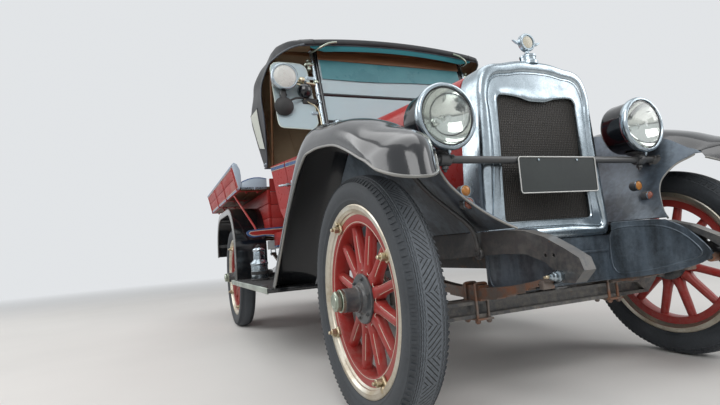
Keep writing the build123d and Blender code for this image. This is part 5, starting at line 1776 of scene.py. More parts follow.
@dataclass
class BlankPlate:
    """Number plate without characters: a pressed sheet with a raised white border."""
    x: float = 0.015
    width: float = 0.372
    height: float = 0.134
    top: float = 0.830
    front: float = -0.1193
    corner: float = 0.012

    def _outline(self, inset: float, y: float) -> list[Vector]:
        """Round-cornered outline in the plate's plane.

        Args:
            inset: distance in from the edge.
            y: where the outline stands.

        Returns:
            The points of the outline.
        """
        r = max(self.corner - inset, 0.002)
        half = self.width / 2 - inset
        low, high = self.top - self.height + inset, self.top - inset
        out = []
        for cx, cz, a in ((half - r, high - r, 0), (r - half, high - r, 90), (r - half, low + r, 180),
                          (half - r, low + r, 270)):
            for k in range(7):
                angle = math.radians(a + 15 * k)
                out.append(car(self.x + cx + r * math.cos(angle), y, cz + r * math.sin(angle)))
        return out

    def sheet(self) -> bpy.types.Object:
        """The dark pressed sheet.

        Returns:
            The modelled piece, without a finish.
        """
        loops = [self._outline(0.0, self.front + 0.0036), self._outline(0.0, self.front + 0.0004),
                 self._outline(0.0006, self.front), self._outline(0.0046, self.front),
                 self._outline(0.0052, self.front + 0.0012), self._outline(0.0120, self.front + 0.0012)]
        piece = Shop.sheet("plate", loops, 0.0, wrap=True)
        Shop.only(piece)
        bpy.ops.object.mode_set(mode="EDIT")
        bpy.ops.mesh.select_all(action="SELECT")
        bpy.ops.mesh.region_to_loop()
        bpy.ops.mesh.edge_face_add()
        bpy.ops.object.mode_set(mode="OBJECT")
        self._fill(piece)
        return Shop.smooth(Shop.clean(piece), 20)

    @staticmethod
    def _fill(piece: bpy.types.Object) -> None:
        """Close the front and back of the plate with bmesh faces.

        Args:
            piece: the piece to change.
        """
        form = bmesh.new()
        form.from_mesh(piece.data)
        for face in [f for f in form.faces if len(f.verts) > 8]:
            form.faces.remove(face)
        rims = [e for e in form.edges if e.is_boundary]
        bmesh.ops.contextual_create(form, geom=[e for e in rims if e.verts[0].co.y > AXLE_Y - 0.117])
        rims = [e for e in form.edges if e.is_boundary]
        bmesh.ops.contextual_create(form, geom=rims)
        form.to_mesh(piece.data)
        form.free()

    def border(self) -> bpy.types.Object:
        """White raised line just inside the edge."""
        line = self._outline(0.0026, self.front + 0.0001)
        return Shop.tube("border", line, 0.0021, closed=True, sides=2, smooth=False)

    def screws(self) -> bpy.types.Object:
        """Two screws near the top edge.

        Returns:
            The modelled piece, without a finish.
        """
        parts = [Shop.nut("screw", car(self.x + x, self.front + 0.0012, self.top - 0.013), (0, -1, 0), 0.0048, 0.003)
                 for x in (-0.092, 0.092)]
        return Shop.join(parts, "screws")


@dataclass
class SignalLamp:
    """Small round lamp: a dark cup, a nickel rim and a domed glass."""
    place: Point
    radius: float = 0.019

    def cup(self) -> bpy.types.Object:
        """Cup and stem.

        Returns:
            The modelled piece, without a finish.
        """
        r = self.radius
        spot = car(*self.place)
        return Shop.lathe("cup", [(r - 0.003, 0.002), (r, 0.006), (r, 0.028), (r - 0.002, 0.031), (r - 0.004, 0.034),
                                  (0.006, 0.038), (0.0, 0.038)], spot, (0, 1, 0), 32, 25)

    def lens(self) -> bpy.types.Object:
        """Domed glass.

        Returns:
            The modelled piece, without a finish.
        """
        r = self.radius - 0.0012
        return Shop.lathe("lens", [(0.0, -0.0060), (r * 0.45, -0.0050), (r * 0.8, -0.0020), (r, 0.0020), (r, 0.0050),
                                   (0.0, 0.0050)], car(*self.place), (0, 1, 0), 32, 50)

    def rim(self) -> bpy.types.Object:
        """Thin bright rim.

        Returns:
            The modelled piece, without a finish.
        """
        r = self.radius
        return Shop.lathe("rim", [(r - 0.0015, 0.0030), (r - 0.0010, 0.0005), (r + 0.0008, 0.0005),
                                  (r + 0.0012, 0.0030), (r + 0.0008, 0.0060), (r - 0.0010, 0.0060)],
                          car(*self.place), (0, 1, 0), 32, 50)


@dataclass
class FrontPlan:
    """Main places round the radiator on the car's left side, metres behind the front axle."""
    amber: Point = (0.409, -0.130, 0.712)
    red: Point = (0.424, -0.162, 0.667)
    bar_end: Point = (0.549, -0.102, 0.820)
    panel_x: float = 0.2952
    panel_edge_x: float = 0.2965
    spring_x: float = 0.316
    clip_y: float = 0.344
    clip_z: float = 0.408
    clip_tall: float = 0.020
    u_bolt_y: float = 0.030
    u_bolt_half: float = 0.0235
    eye_y: float = -0.425
    eye_z: float = 0.437


class FrontEnd:
    """Everything round the radiator."""

    def __init__(self, fit: Fitter) -> None:
        """Keep the fitter and the plan."""
        self.fit = fit
        self.plan = FrontPlan()

    def build(self) -> None:
        """Model the radiator, the lamps, the plate and the small fittings."""
        radiator = Radiator()
        self.fit.put(radiator.shell(), "radiator_shell_skin", "nickel", nodes=("radiator_shell",))
        self.fit.put(radiator.cap(), "radiator_cap_dial", "nickel", nodes=("radiator_cap",))
        self.fit.put(radiator.dial(), "dial_face", "dial_cream")
        self._lamps()
        plate = BlankPlate()
        self.fit.put(plate.sheet(), "plate_sheet", "plate_black", nodes=("front_plate",))
        self.fit.put(plate.border(), "plate_border", "plate_white")
        self.fit.put(plate.screws(), "plate_screws", "nickel")
        self._signals()
        self.fit.put(self._bar_ends(), "bar_end_brackets", "frame_dark")
        self.fit.put(self._panel_beads(), "apron_panel_beads", "apron_grey")
        self.fit.put(self._spring_parts(), "spring_clips_and_bolts", "spring_steel")
        self.fit.put(self._bolt_ends(), "spring_bolt_ends", "nickel")
        self.fit.put(self._nipples(), "grease_nipples", "lug_brass")
        self.fit.put(self._horn_irons(), "fender_irons", "frame_dark")

    def _lamps(self) -> None:
        """Headlamps of both sides."""
        lamp = Headlamp()
        for name, piece, finish, nodes in (
                ("headlamp_drums", lamp.drum(), "fender_black", ("headlamps",)),
                ("headlamp_rings", lamp.ring(), "nickel", ()), ("headlamp_gaskets", lamp.gasket(), "black_rubber", ()),
                ("headlamp_reflectors", lamp.reflector(), "reflector", ()),
                ("headlamp_bulbs", lamp.bulb(), "lens_glass", ()),
                ("headlamp_brackets", lamp.bracket(), "frame_dark", ())):
            self.fit.put(Shop.both(piece, name), name, finish, nodes=nodes)

    def _signals(self) -> None:
        """Amber and red signal lamps of both sides."""
        for name, place, glass in (("amber", self.plan.amber, "amber_glass"), ("red", self.plan.red, "red_glass")):
            lamp = SignalLamp(place)
            cup = self.fit.put(Shop.both(lamp.cup(), name), f"signal_cup_{name}", "frame_dark")
            if name == "amber":
                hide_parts("signal_lamps")
            self.fit.put(Shop.both(lamp.lens(), name), f"signal_lens_{name}", glass)
            self.fit.put(Shop.both(lamp.rim(), name), f"signal_rim_{name}", "nickel")

    def _bar_ends(self) -> bpy.types.Object:
        """Flanged ends of the lamp bar on the aprons, with their bolts.

        Returns:
            The modelled piece, without a finish.
        """
        parts = []
        x, y, z = self.plan.bar_end
        for side in (-1, 1):
            place = car(side * x, y, z)
            out = Vector((-side * 0.82, -0.10, 0.56)).normalized()
            parts.append(Shop.lathe("flange", [(0.0, 0.012), (0.015, 0.011), (0.018, 0.006), (0.034, 0.004),
                                               (0.036, 0.0), (0.0, 0.0)], place, out, 28, 25))
            turn = out.to_track_quat("Z", "Y").to_matrix()
            for a in (0.4, 0.4 + math.tau / 3, 0.4 + 2 * math.tau / 3):
                spot = place + turn @ Vector((0.025 * math.cos(a), 0.025 * math.sin(a), 0.004))
                parts.append(Shop.nut("bolt", spot, out, 0.0062, 0.005, 0.004))
        return Shop.join(parts, "bar_ends")

    def _panel_beads(self) -> bpy.types.Object:
        """Pressed bead inside each D panel and rolled edge round it.

        Returns:
            The modelled piece, without a finish.
        """
        outline = ((-0.060, 0.372), (-0.160, 0.384), (-0.262, 0.400), (-0.388, 0.436), (-0.408, 0.452),
                   (-0.396, 0.474), (-0.352, 0.518), (-0.285, 0.550), (-0.190, 0.556), (-0.100, 0.5545),
                   (-0.066, 0.535), (-0.060, 0.500))
        edge = ((-0.050, 0.357), (-0.265, 0.382), (-0.402, 0.421), (-0.438, 0.450), (-0.416, 0.481), (-0.366, 0.532),
                (-0.295, 0.570), (-0.188, 0.573), (-0.080, 0.573))
        parts = []
        for side in (-1, 1):
            parts.append(Shop.tube("bead", [car(side * self.plan.panel_x, y, z) for y, z in outline], 0.0042,
                                   closed=True, sides=3))
            parts.append(Shop.tube("edge", [car(side * self.plan.panel_edge_x, y, z) for y, z in edge], 0.0040,
                                   sides=3))
        parts.append(Shop.tube("lower", [car(x, -0.049, 0.3575) for x in (-0.290, -0.15, 0.0, 0.15, 0.290)], 0.0045))
        parts.append(Shop.tube("cross", [car(x, -0.0505, 0.470) for x in (-0.285, -0.15, 0.0, 0.15, 0.285)], 0.0060))
        return Shop.join(parts, "panel_beads")

    def _spring_parts(self) -> bpy.types.Object:
        """Leaf clips and U-bolts of the front springs.

        Returns:
            The modelled piece, without a finish.
        """
        p = self.plan
        parts = []
        for side in (-1, 1):
            x = side * p.spring_x
            for y in (-p.clip_y, p.clip_y):
                parts.append(Shop.board("clip", car(x - 0.0215, y - 0.009, p.clip_z - p.clip_tall / 2 - 0.004),
                                        car(x + 0.0215, y + 0.009, p.clip_z + p.clip_tall / 2 + 0.002), 0.003))
            for y in (-p.u_bolt_y, p.u_bolt_y):
                bend = ((-1, 0.262), (-1, 0.330), (-1, 0.391), (-1, 0.398), (0, 0.399), (1, 0.398), (1, 0.391),
                        (1, 0.330), (1, 0.262))
                line = [car(x + sx * p.u_bolt_half, y, z) for sx, z in bend]
                parts.append(Shop.tube("u_bolt", line, 0.0055, sides=3))
                for sx in (-1, 1):
                    parts.append(Shop.nut("nut", car(x + sx * p.u_bolt_half, y, 0.2745), (0, 0, -1), 0.0100, 0.010))
            parts.append(Shop.board("pad", car(x - 0.034, -0.046, 0.2745), car(x + 0.034, 0.046, 0.2815), 0.002))
        return Shop.join(parts, "spring_parts")

    def _bolt_ends(self) -> bpy.types.Object:
        """Stepped nickel heads of the front spring bolts.

        Returns:
            The modelled piece, without a finish.
        """
        profile = [(0.0165, 0.0), (0.0165, 0.004), (0.0120, 0.006), (0.0120, 0.016), (0.0095, 0.018), (0.0095, 0.026),
                   (0.0060, 0.028), (0.0060, 0.034), (0.0, 0.0345)]
        left = Shop.lathe("end", profile, car(0.352, self.plan.eye_y, self.plan.eye_z), (1, 0, 0), 28, 25)
        return Shop.both(left, "bolt_ends")

    def _nipples(self) -> bpy.types.Object:
        """Brass grease nipple on each front spring bolt.

        Returns:
            The modelled piece, without a finish.
        """
        profile = [(0.0048, 0.0), (0.0048, 0.006), (0.0030, 0.008), (0.0036, 0.011), (0.0036, 0.014), (0.0, 0.0165)]
        left = Shop.lathe("nipple", profile, car(0.386, self.plan.eye_y, self.plan.eye_z), (1, 0, 0), 14, 25)
        return Shop.both(left, "nipples")

    def _horn_irons(self) -> bpy.types.Object:
        """Forged fender irons that rise from the rail to the front fender.

        Returns:
            The modelled piece, without a finish.
        """
        line = [(0.3405, -0.082, 0.503), (0.352, -0.083, 0.520), (0.356, -0.084, 0.560), (0.372, -0.080, 0.600),
                (0.440, -0.060, 0.660), (0.520, -0.040, 0.735), (0.600, -0.030, 0.855), (0.680, -0.030, 0.915)]
        rod = Shop.tube("iron", [car(*p) for p in line], 0.0085, sides=4)
        eye = Shop.lathe("eye", [(0.010, -0.006), (0.019, -0.006), (0.021, -0.003), (0.021, 0.003), (0.019, 0.006),
                                 (0.010, 0.006), (0.010, -0.006)], car(0.3475, -0.082, 0.503), (1, 0, 0), 24, 25)
        bolt = Shop.nut("bolt", car(0.3405, -0.082, 0.503), (1, 0, 0), 0.0105, 0.018, 0.006)
        return Shop.both(Shop.join([rod, eye, bolt], "iron"), "fender_irons")


# Cab, top and windscreen

class Surveyor:
    """Finds points on the CAD nodes, so that trim lies on what carries it."""

    def __init__(self, nodes: dict[str, bpy.types.Object]) -> None:
        """Keep the nodes and start with no search trees."""
        self.nodes = nodes
        self.trees: dict[str, BVHTree] = {}

    def tree(self, name: str) -> BVHTree:
        """Search tree of one node's mesh.

        Args:
            name: the node's name.

        Returns:
            The search tree.
        """
        if name not in self.trees:
            data = self.nodes[name].data
            self.trees[name] = BVHTree.FromPolygons([v.co for v in data.vertices], [p.vertices for p in data.polygons])
        return self.trees[name]

    def hit(self, names: Sequence[str], start: Point, push: Point) -> Vector | None:
        """First point of the nodes from start along push.

        Args:
            names: the nodes' names.
            start: where the search starts.
            push: the direction.

        Returns:
            The point, or None where there is none.
        """
        found = [self.tree(name).ray_cast(Vector(start), Vector(push)) for name in names]
        found = [(row[3], row[0]) for row in found if row[0] is not None]
        return min(found, key=lambda row: row[0])[1] if found else None

    def side(self, names: Sequence[str], y: float, z: float, side: int) -> Vector:
        """Point on the outer side of the nodes at a place behind the front axle."""
        spot = self.hit(names, car(side * 1.3, y, z), (-side, 0, 0))
        return spot if spot is not None else car(side * 0.6, y, z)

    def ribbon(self, name: str, nodes: Sequence[str], line: Sequence[tuple[float, float]], width: float, side: int,
               proud: float = 0.0014) -> bpy.types.Object:
        """A thin painted line along the side of the nodes.

        Args:
            name: the piece's name.
            nodes: CAD nodes that it lies on.
            line: (y, z) points, metres behind the front axle and up.
            width: the line's width.
            side: -1 right, 1 left.
            proud: how far its face stands out.

        Returns:
            A closed strip about a millimetre thick.
        """
        rows = []
        spots = []
        for (y0, z0), (y1, z1) in zip(line, line[1:]):
            steps = max(2, int(math.hypot(y1 - y0, z1 - z0) / 0.03))
            spots += [(y0 + (y1 - y0) * k / steps, z0 + (z1 - z0) * k / steps) for k in range(steps)]
        spots.append(line[-1])
        for k, (y, z) in enumerate(spots):
            before, after = spots[max(k - 1, 0)], spots[min(k + 1, len(spots) - 1)]
            run = Vector((after[0] - before[0], after[1] - before[1])).normalized() * width / 2
            rows.append([self.side(nodes, y - s * run.y, z + s * run.x, side) + Vector((side * proud, 0, 0))
                         for s in (-1, 0, 1)])
        return Shop.clean(Shop.sheet(name, rows, 0.0012))

    def pad(self, name: str, nodes: Sequence[str], outline: Sequence[tuple[float, float]], high: float,
            side: int, bevel: float = 0.0015) -> bpy.types.Object:
        """A raised shape with a (y, z) outline on the side of the nodes."""
        points = [self.side(nodes, y, z, side) - Vector((side * 0.002, 0, 0)) for y, z in outline]
        return Shop.slab(name, points, (side * (high + 0.002), 0, 0), bevel)


@dataclass
class FoldingTop:
    """The soft top, one continuous cloth from the windscreen to the back of the body."""
    rows: tuple[tuple[float, float, float, float], ...] = (
        # centre line y and z, side edge y and z, from the front to the foot of the back
        (1.000, 1.709, 0.996, 1.672), (0.985, 1.713, 0.984, 1.673), (0.980, 1.728, 0.985, 1.675),
        (0.992, 1.743, 1.000, 1.677), (1.060, 1.754, 1.060, 1.677), (1.180, 1.769, 1.180, 1.670),
        (1.300, 1.784, 1.300, 1.658), (1.400, 1.792, 1.390, 1.634), (1.500, 1.795, 1.455, 1.600),
        (1.580, 1.793, 1.462, 1.500), (1.660, 1.786, 1.465, 1.390), (1.730, 1.776, 1.510, 1.302),
        (1.800, 1.753, 1.566, 1.222), (1.860, 1.718, 1.610, 1.160), (1.905, 1.676, 1.640, 1.126),
        (1.938, 1.628, 1.655, 1.123), (1.948, 1.570, 1.666, 1.123), (1.900, 1.480, 1.680, 1.123),
        (1.840, 1.362, 1.692, 1.123), (1.778, 1.240, 1.703, 1.123), (1.716, 1.123, 1.712, 1.123))
    plan: tuple[tuple[float, float], ...] = ((0.98, 0.568), (1.06, 0.634), (1.2, 0.690), (1.4, 0.726), (1.56, 0.758))
    front: tuple[tuple[float, float], ...] = ((1.06, 0.655), (1.5, 0.718), (1.685, 0.700), (1.74, 0.686), (1.8, 0.68))
    arch: tuple[tuple[float, float], ...] = ((0.98, 0.125), (1.03, 0.085), (1.075, 0.050), (1.2, 0.042),
                                             (1.3, 0.035), (1.4, 0.042), (1.52, 0.038), (1.62, 0.024),
                                             (1.72, 0.024), (1.82, 0.042))
    square: tuple[tuple[float, float], ...] = ((1.25, 9.0), (1.30, 10.0), (1.36, 9.0), (1.48, 9.0), (1.60, 12.0),
                                               (1.76, 12.0), (1.90, 9.0))
    fuller: tuple[tuple[float, float], ...] = ((1.46, 0.0), (1.60, 0.015), (1.76, 0.015), (1.88, 0.0))
    thick: float = 0.004

    def spot(self, row: Sequence[float], turn: float, inwards: float = 0.0) -> Vector:
        """Point of the cloth.

        Args:
            row: centre line y and z, side edge y and z.
            turn: 0 on the centre line, -1 and 1 at the right and left edges.
            inwards: distance towards the inside.

        Returns:
            The point in the frame.
        """
        a = turn * math.pi / 2
        a += 0.10 * math.sin(4 * a)
        c, s = math.cos(a), math.sin(a)
        square = between(row[0], self.square)
        reach = (abs(c) ** square + abs(s) ** square) ** (-1 / square)
        down = 1 - max(c * reach, 0.0)
        y = row[0] + (row[2] - row[0]) * down
        z = row[1] + (row[3] - row[1]) * down
        corner = min(max((z - 1.62) / 0.06, 0.0), 1.0)
        wide = min(between(y, self.plan), between(z, self.front) + corner * between(row[0], self.fuller)) - inwards
        x = wide * s * reach
        level = min(max((row[1] - 1.55) / 0.17, 0.0), 1.0)
        dip = 0.0
        for start, end, deep in ((1.085, 1.30, 0.005), (1.31, 1.64, 0.008)):
            if start < row[0] < end:
                dip = deep * math.sin(math.pi * (row[0] - start) / (end - start)) ** 2
        z -= level * (between(y, self.arch) * x * x * (1 - down) + dip * (1 - (x / wide) ** 4) + inwards)
        y -= (1 - level) * (0.09 * x * x * min(max((z - 1.12) / 0.4, 0.0), 1.0) + inwards)
        y += 0.003 * (1 - level) * math.sin(19 * x) * min(max((z - 1.12) / 0.2, 0.0), 1.0)
        return car(x, y, z)

    def half(self, y: float, z: float) -> float:
        """Half width of the top's side, y behind the front axle."""
        return min(between(y, self.plan), between(z, self.front))

    def lines(self, steps: int = 4) -> list[Vector]:
        """The rows, closer together."""
        return flow(self.rows, steps)

    def cloth(self) -> bpy.types.Object:
        """The cloth's sheet, to which the cab gives its wall and tan lining.

        Returns:
            The modelled piece, without a finish.
        """
        across = 96
        grid = [[self.spot(row, -1 + 2 * j / across) for j in range(across + 1)] for row in self.lines()]
        return Shop.sheet("cloth", [list(reversed(line)) for line in grid])

    def binding(self) -> bpy.types.Object:
        """Rolled edge all round.

        Returns:
            The modelled piece, without a finish.
        """
        rows = self.lines()
        across = 60
        loop = [self.spot(rows[0], -1 + 2 * j / across) for j in range(across + 1)]
        loop += [self.spot(row, 1) for row in rows[1:]]
        loop += [self.spot(rows[-1], 1 - 2 * j / across) for j in range(1, across + 1)]
        loop += [self.spot(row, -1) for row in reversed(rows[1:-1])]
        return Shop.tube("binding", loop, 0.0050, closed=True, smooth=False)

    def seams(self) -> bpy.types.Object:
        """Lapped seams with their stitching.

        Returns:
            The modelled piece, without a finish.
        """
        rows = self.lines()
        parts = []
        for turn in (-0.47, 0.47):
            for k, radius in ((0.0, 0.0026), (0.006, 0.0010)):
                line = [self.spot(row, turn + k) for row in rows[2:]]
                parts.append(Shop.tube("seam", line, radius, smooth=False))
        for row in (rows[24], rows[58]):
            parts.append(Shop.tube("seam", [self.spot(row, -0.46 + 0.92 * j / 30) for j in range(31)], 0.0024,
                                   smooth=False))
        return Shop.join(parts, "seams")

    def inner_seams(self) -> bpy.types.Object:
        """Folds of the tan lining, inside.

        Returns:
            The modelled piece, without a finish.
        """
        rows = [row for row in self.lines()[50:] if row[1] < 1.70]
        parts = [Shop.tube("fold", [self.spot(row, turn, 0.0065) for row in rows], 0.0035, smooth=False)
                 for turn in (-0.44, -0.30, -0.14, 0.0, 0.14, 0.30, 0.44)]
        return Shop.join(parts, "folds")

    def valance(self) -> bpy.types.Object:
        """Coloured strip under the front edge.

        Returns:
            The modelled piece, without a finish.
        """
        rows = []
        for k in range(41):
            x = -0.53 + 1.06 * k / 40
            top = 1.714 - 0.128 * x * x
            high = 0.037 * min(1.0, 0.25 + (0.53 - abs(x)) / 0.10)
            rows.append([car(x, 1.0035 - 0.003 * math.sin(math.pi * j / 3), top - high * j / 3) for j in range(4)])
        return Shop.clean(Shop.sheet("valance", rows, 0.003))


@dataclass
class Pad:
    """A stuffed pad with sewn channels, swelled by a short cloth simulation."""
    low: Point
    high: Point
    lean: float
    channels: int
    face: str                  # the pad's seat side, "Z" up or "-Y" forward
    cap: float = 0.020
    voxel: float = 0.006

    def build(self, name: str) -> bpy.types.Object:
        """Model the pad.

        Args:
            name: the piece's name.

        Returns:
            The modelled piece, without a finish.
        """
        inset = 0.010
        low = Vector(self.low) + Vector((inset, inset, inset))
        high = Vector(self.high) - Vector((inset, inset, inset))
        Shop.clear()
        bpy.ops.mesh.primitive_cube_add(size=1.0, location=(low + high) / 2)
        piece = bpy.context.object
        piece.name = name
        piece.scale = high - low
        Shop.settle(piece)
        Shop.bevel(piece, 0.030, 4)
        for vertex in piece.data.vertices:
            vertex.co.y += self.lean * (vertex.co.z - low.z) / (high.z - low.z)
        Shop.only(piece)
        voxels = piece.modifiers.new("voxels", "REMESH")
        voxels.mode = "VOXEL"
        voxels.voxel_size = self.voxel
        Shop.apply(piece)
        self._swell(piece)
        self._sew(piece, low, high)
        return Shop.smooth(piece, 70.0)

    def _swell(self, piece: bpy.types.Object) -> None:
        """Blow the pad up a little, and hold each point near its start.

        Args:
            piece: the piece to change.
        """
        start = [v.co.copy() for v in piece.data.vertices]
        cloth = piece.modifiers.new("cloth", "CLOTH")
        cloth.settings.use_pressure = True
        cloth.settings.uniform_pressure_force = 4.0
        cloth.settings.effector_weights.gravity = 0.0
        cloth.settings.quality = 3
        cloth.point_cache.frame_end = 20
        scene = bpy.context.scene
        for frame in range(1, 21):
            scene.frame_set(frame)
        shaped = piece.evaluated_get(bpy.context.evaluated_depsgraph_get()).to_mesh()
        ends = [v.co.copy() for v in shaped.vertices]
        piece.evaluated_get(bpy.context.evaluated_depsgraph_get()).to_mesh_clear()
        piece.modifiers.remove(cloth)
        scene.frame_set(1)
        for vertex, a, b in zip(piece.data.vertices, start, ends):
            move = b - a
            if move.length > self.cap:
                move *= self.cap / move.length
            vertex.co = a + move

    def _sew(self, piece: bpy.types.Object, low: Vector, high: Vector) -> None:
        """Press the sewn channels and the edge seam into the pad.

        Args:
            piece: the piece to change.
            low: the pad's lowest corner.
            high: its highest corner.
        """
        wide = (high.x - low.x) / self.channels
        for vertex in piece.data.vertices:
            place = vertex.co
            groove = abs(math.sin(math.pi * (place.x - low.x) / wide))
            depth = 0.013 * (1 - min(1.0, groove * 1.5) ** 0.6)
            rim = min(place.x - low.x, high.x - place.x)
            depth *= min(max(rim / 0.05, 0.0), 1.0)
            if self.face == "Z":
                if place.z > (low.z + high.z) / 2 + 0.02:
                    place.z -= depth * min(1.0, (place.z - (low.z + high.z) / 2 - 0.02) / 0.03)
            else:
                middle = (low.y + high.y) / 2 + self.lean * (place.z - low.z) / (high.z - low.z)
                if place.y < middle - 0.008:
                    place.y += depth * min(1.0, (middle - 0.008 - place.y) / 0.012)
        piece.data.update()

    def piping(self, name: str) -> bpy.types.Object:
        """Welt round the pad's seat side.

        Args:
            name: the piece's name.

        Returns:
            The modelled piece, without a finish.
        """
        a, b = Vector(self.low), Vector(self.high)
        r = 0.030
        if self.face == "Z":
            ring = [(x, y, b.z - 0.024) for x, y in self._ring(a.x + 0.003, a.y + 0.003, b.x - 0.003, b.y - 0.003, r)]
        else:
            ring = [(x, a.y + 0.020 + self.lean * (z - a.z) / (b.z - a.z), z)
                    for x, z in self._ring(a.x + 0.004, a.z + 0.004, b.x - 0.004, b.z - 0.004, r)]
        return Shop.tube(name, ring, 0.0045, closed=True, smooth=False)

    @staticmethod
    def _ring(x0: float, y0: float, x1: float, y1: float, radius: float) -> list[tuple[float, float]]:
        """Rectangle with round corners.

        Args:
            x0: low end of the first axis.
            y0: low end of the second axis.
            x1: high end of the first axis.
            y1: high end of the second axis.
            radius: radius of the corners.

        Returns:
            The points of the outline.
        """
        ring = []
        for cx, cy, start in ((x1 - radius, y0 + radius, -90), (x1 - radius, y1 - radius, 0),
                              (x0 + radius, y1 - radius, 90), (x0 + radius, y0 + radius, 180)):
            ring += [(cx + radius * math.cos(math.radians(start + 15 * k)),
                      cy + radius * math.sin(math.radians(start + 15 * k))) for k in range(7)]
        return ring


class Windscreen:
    """Tubes, clamps, wing glass, mirror and bulb horn round the windscreen."""

    @staticmethod
    def face(z: float) -> float:
        """Distance of the windscreen's plane behind the front axle."""
        return 0.950 + (z - 1.218) * 0.286

    def sun_film(self) -> bpy.types.Object:
        """Tinted film over the upper part of the glass.

        Returns:
            The modelled piece, without a finish.
        """
        rows = []
        for k in range(25):
            x = -0.462 + 0.924 * k / 24
            low = 1.500 + 0.004 * math.sin(9 * x) + 0.018 * (x + 0.462) / 0.924
            rows.append([car(x, self.face(z) - 0.0085, z) for z in (low, low + 0.04, 1.59, 1.628)])
        return Shop.clean(Shop.sheet("sun_film", rows, 0.0015))

    def header(self) -> bpy.types.Object:
        """Varnished rail over the upper pane, with its screws.

        Returns:
            The modelled piece, without a finish.
        """
        rail = Shop.slab("rail", [car(-0.472, self.face(z) - d, z) for z, d in ((1.625, 0.009), (1.629, 0.0145),
                                                                                (1.660, 0.0170), (1.688, 0.0155),
                                                                                (1.690, 0.009))],
                         (0.944, 0, 0), 0.002)
        screws = [Shop.lathe("screw", [(0.0, 0.0016), (0.0035, 0.0014), (0.0055, 0.0), (0.0, -0.001)],
                             car(x, self.face(1.655) - 0.0168, 1.655), (0, -1, 0), 14, 50)
                  for x in (-0.44, -0.22, 0.0, 0.22, 0.44)]
        return Shop.join([rail, *screws], "header")

    def tube(self) -> bpy.types.Object:
        """Bright tube up the outer side of the frame.

        Returns:
            The modelled piece, without a finish.
        """
        line = [car(-0.5035, self.face(z) - 0.003, z) for z in (1.180, 1.3, 1.4, 1.5, 1.6, 1.680)]
        rod = Shop.tube("rod", line, 0.0095, sides=5, smooth=False)
        parts = [rod]
        for z, radius, high in ((1.345, 0.0135, 0.012), (1.394, 0.0130, 0.010), (1.200, 0.0130, 0.014),
                                (1.672, 0.0130, 0.012)):
            parts.append(self._collar(z, radius, high))
        return Shop.join(parts, "tube")

    def _collar(self, z: float, radius: float, high: float) -> bpy.types.Object:
        """Ring round the tube.

        Args:
            z: its height on the car.
            radius: its outer radius.
            high: its height along the tube.

        Returns:
            The modelled piece, without a finish.
        """
        run = Vector((0, 0.286, 1)).normalized()
        return Shop.lathe("ring", [(0.0090, 0.0), (radius - 0.002, 0.0), (radius, 0.002), (radius, high - 0.002),
                                   (radius - 0.002, high), (0.0090, high), (0.0090, 0.0)],
                          car(-0.5035, self.face(z) - 0.003, z), run, 24, 50)

    def clamps(self) -> bpy.types.Object:
        """Hinge clamp with acorn nuts, and the hook up to the roof.

        Returns:
            The modelled piece, without a finish.
        """
        place = car(-0.5035, self.face(1.589) - 0.003, 1.589)
        stub = Shop.lathe("stub", [(0.0, 0.0), (0.012, 0.0), (0.012, 0.018), (0.019, 0.020), (0.020, 0.026),
                                   (0.019, 0.032), (0.013, 0.034), (0.012, 0.046), (0.006, 0.050), (0.0, 0.050)],
                          place, (-1, 0, 0), 28, 40)
        parts = [stub]
        run = Vector((0, 0.286, 1)).normalized()
        for sign in (-1, 1):
            spot = place + Vector((-0.026, 0, 0)) + run * sign * 0.014
            parts.append(Shop.nut("nut", spot, run * sign, 0.0105, 0.009))
            parts.append(Shop.lathe("acorn", [(0.0085, 0.0), (0.0090, 0.003), (0.0080, 0.010), (0.0050, 0.0145),
                                              (0.0, 0.0155)], spot + run * sign * 0.009, run * sign, 20, 50))
        hook = Shop.tube("hook", [car(-0.503, 1.078, 1.668), car(-0.502, 1.040, 1.664), car(-0.497, 1.000, 1.656),
                                  car(-0.484, 0.978, 1.660), car(-0.456, 0.972, 1.676), car(-0.424, 0.970, 1.692),
                                  car(-0.384, 0.970, 1.698)], 0.0062)
        parts.append(hook)
        parts.append(self._collar(1.468, 0.0150, 0.020))
        return Shop.join(parts, "clamps")

    def wing_outline(self) -> list[tuple[float, float]]:
        """(x, z) outline of the wing glass on the windscreen's plane.

        Returns:
            The points of the outline.
        """
        return [(-0.566, 1.189), (-0.545, 1.206), (-0.530, 1.228), (-0.532, 1.30), (-0.538, 1.42), (-0.545, 1.54),
                (-0.549, 1.562), (-0.559, 1.578), (-0.580, 1.589), (-0.618, 1.592), (-0.700, 1.590), (-0.728, 1.583),
                (-0.744, 1.566), (-0.750, 1.545), (-0.750, 1.45), (-0.748, 1.34), (-0.746, 1.235), (-0.743, 1.216),
                (-0.735, 1.203), (-0.720, 1.197), (-0.64, 1.193)]

    def wing(self) -> bpy.types.Object:
        """Wing glass."""
        points = [car(x, self.face(z) - 0.0025, z) for x, z in self.wing_outline()]
        return Shop.slab("wing", points, (0, 0.005, 0), 0.0012, 1)

    def wing_edge(self) -> bpy.types.Object:
        """Ground edge of the wing glass, painted pale as a highlight where it catches the light."""
        return Shop.tube("wing_edge", [car(x, self.face(z), z) for x, z in self.wing_outline()], 0.0030, closed=True,
                         smooth=False)

    def wing_clips(self) -> bpy.types.Object:
        """Clips that hold the wing glass to the tube.

        Returns:
            The modelled piece, without a finish.
        """
        parts = []
        for z in (1.285, 1.500):
            y = self.face(z)
            parts.append(Shop.board("clip", car(-0.560, y - 0.008, z - 0.010), car(-0.508, y + 0.008, z + 0.010),
                                    0.003))
            parts.append(Shop.nut("screw", car(-0.546, y - 0.008, z), (0, -1, 0), 0.0055, 0.004))
        return Shop.join(parts, "clips")

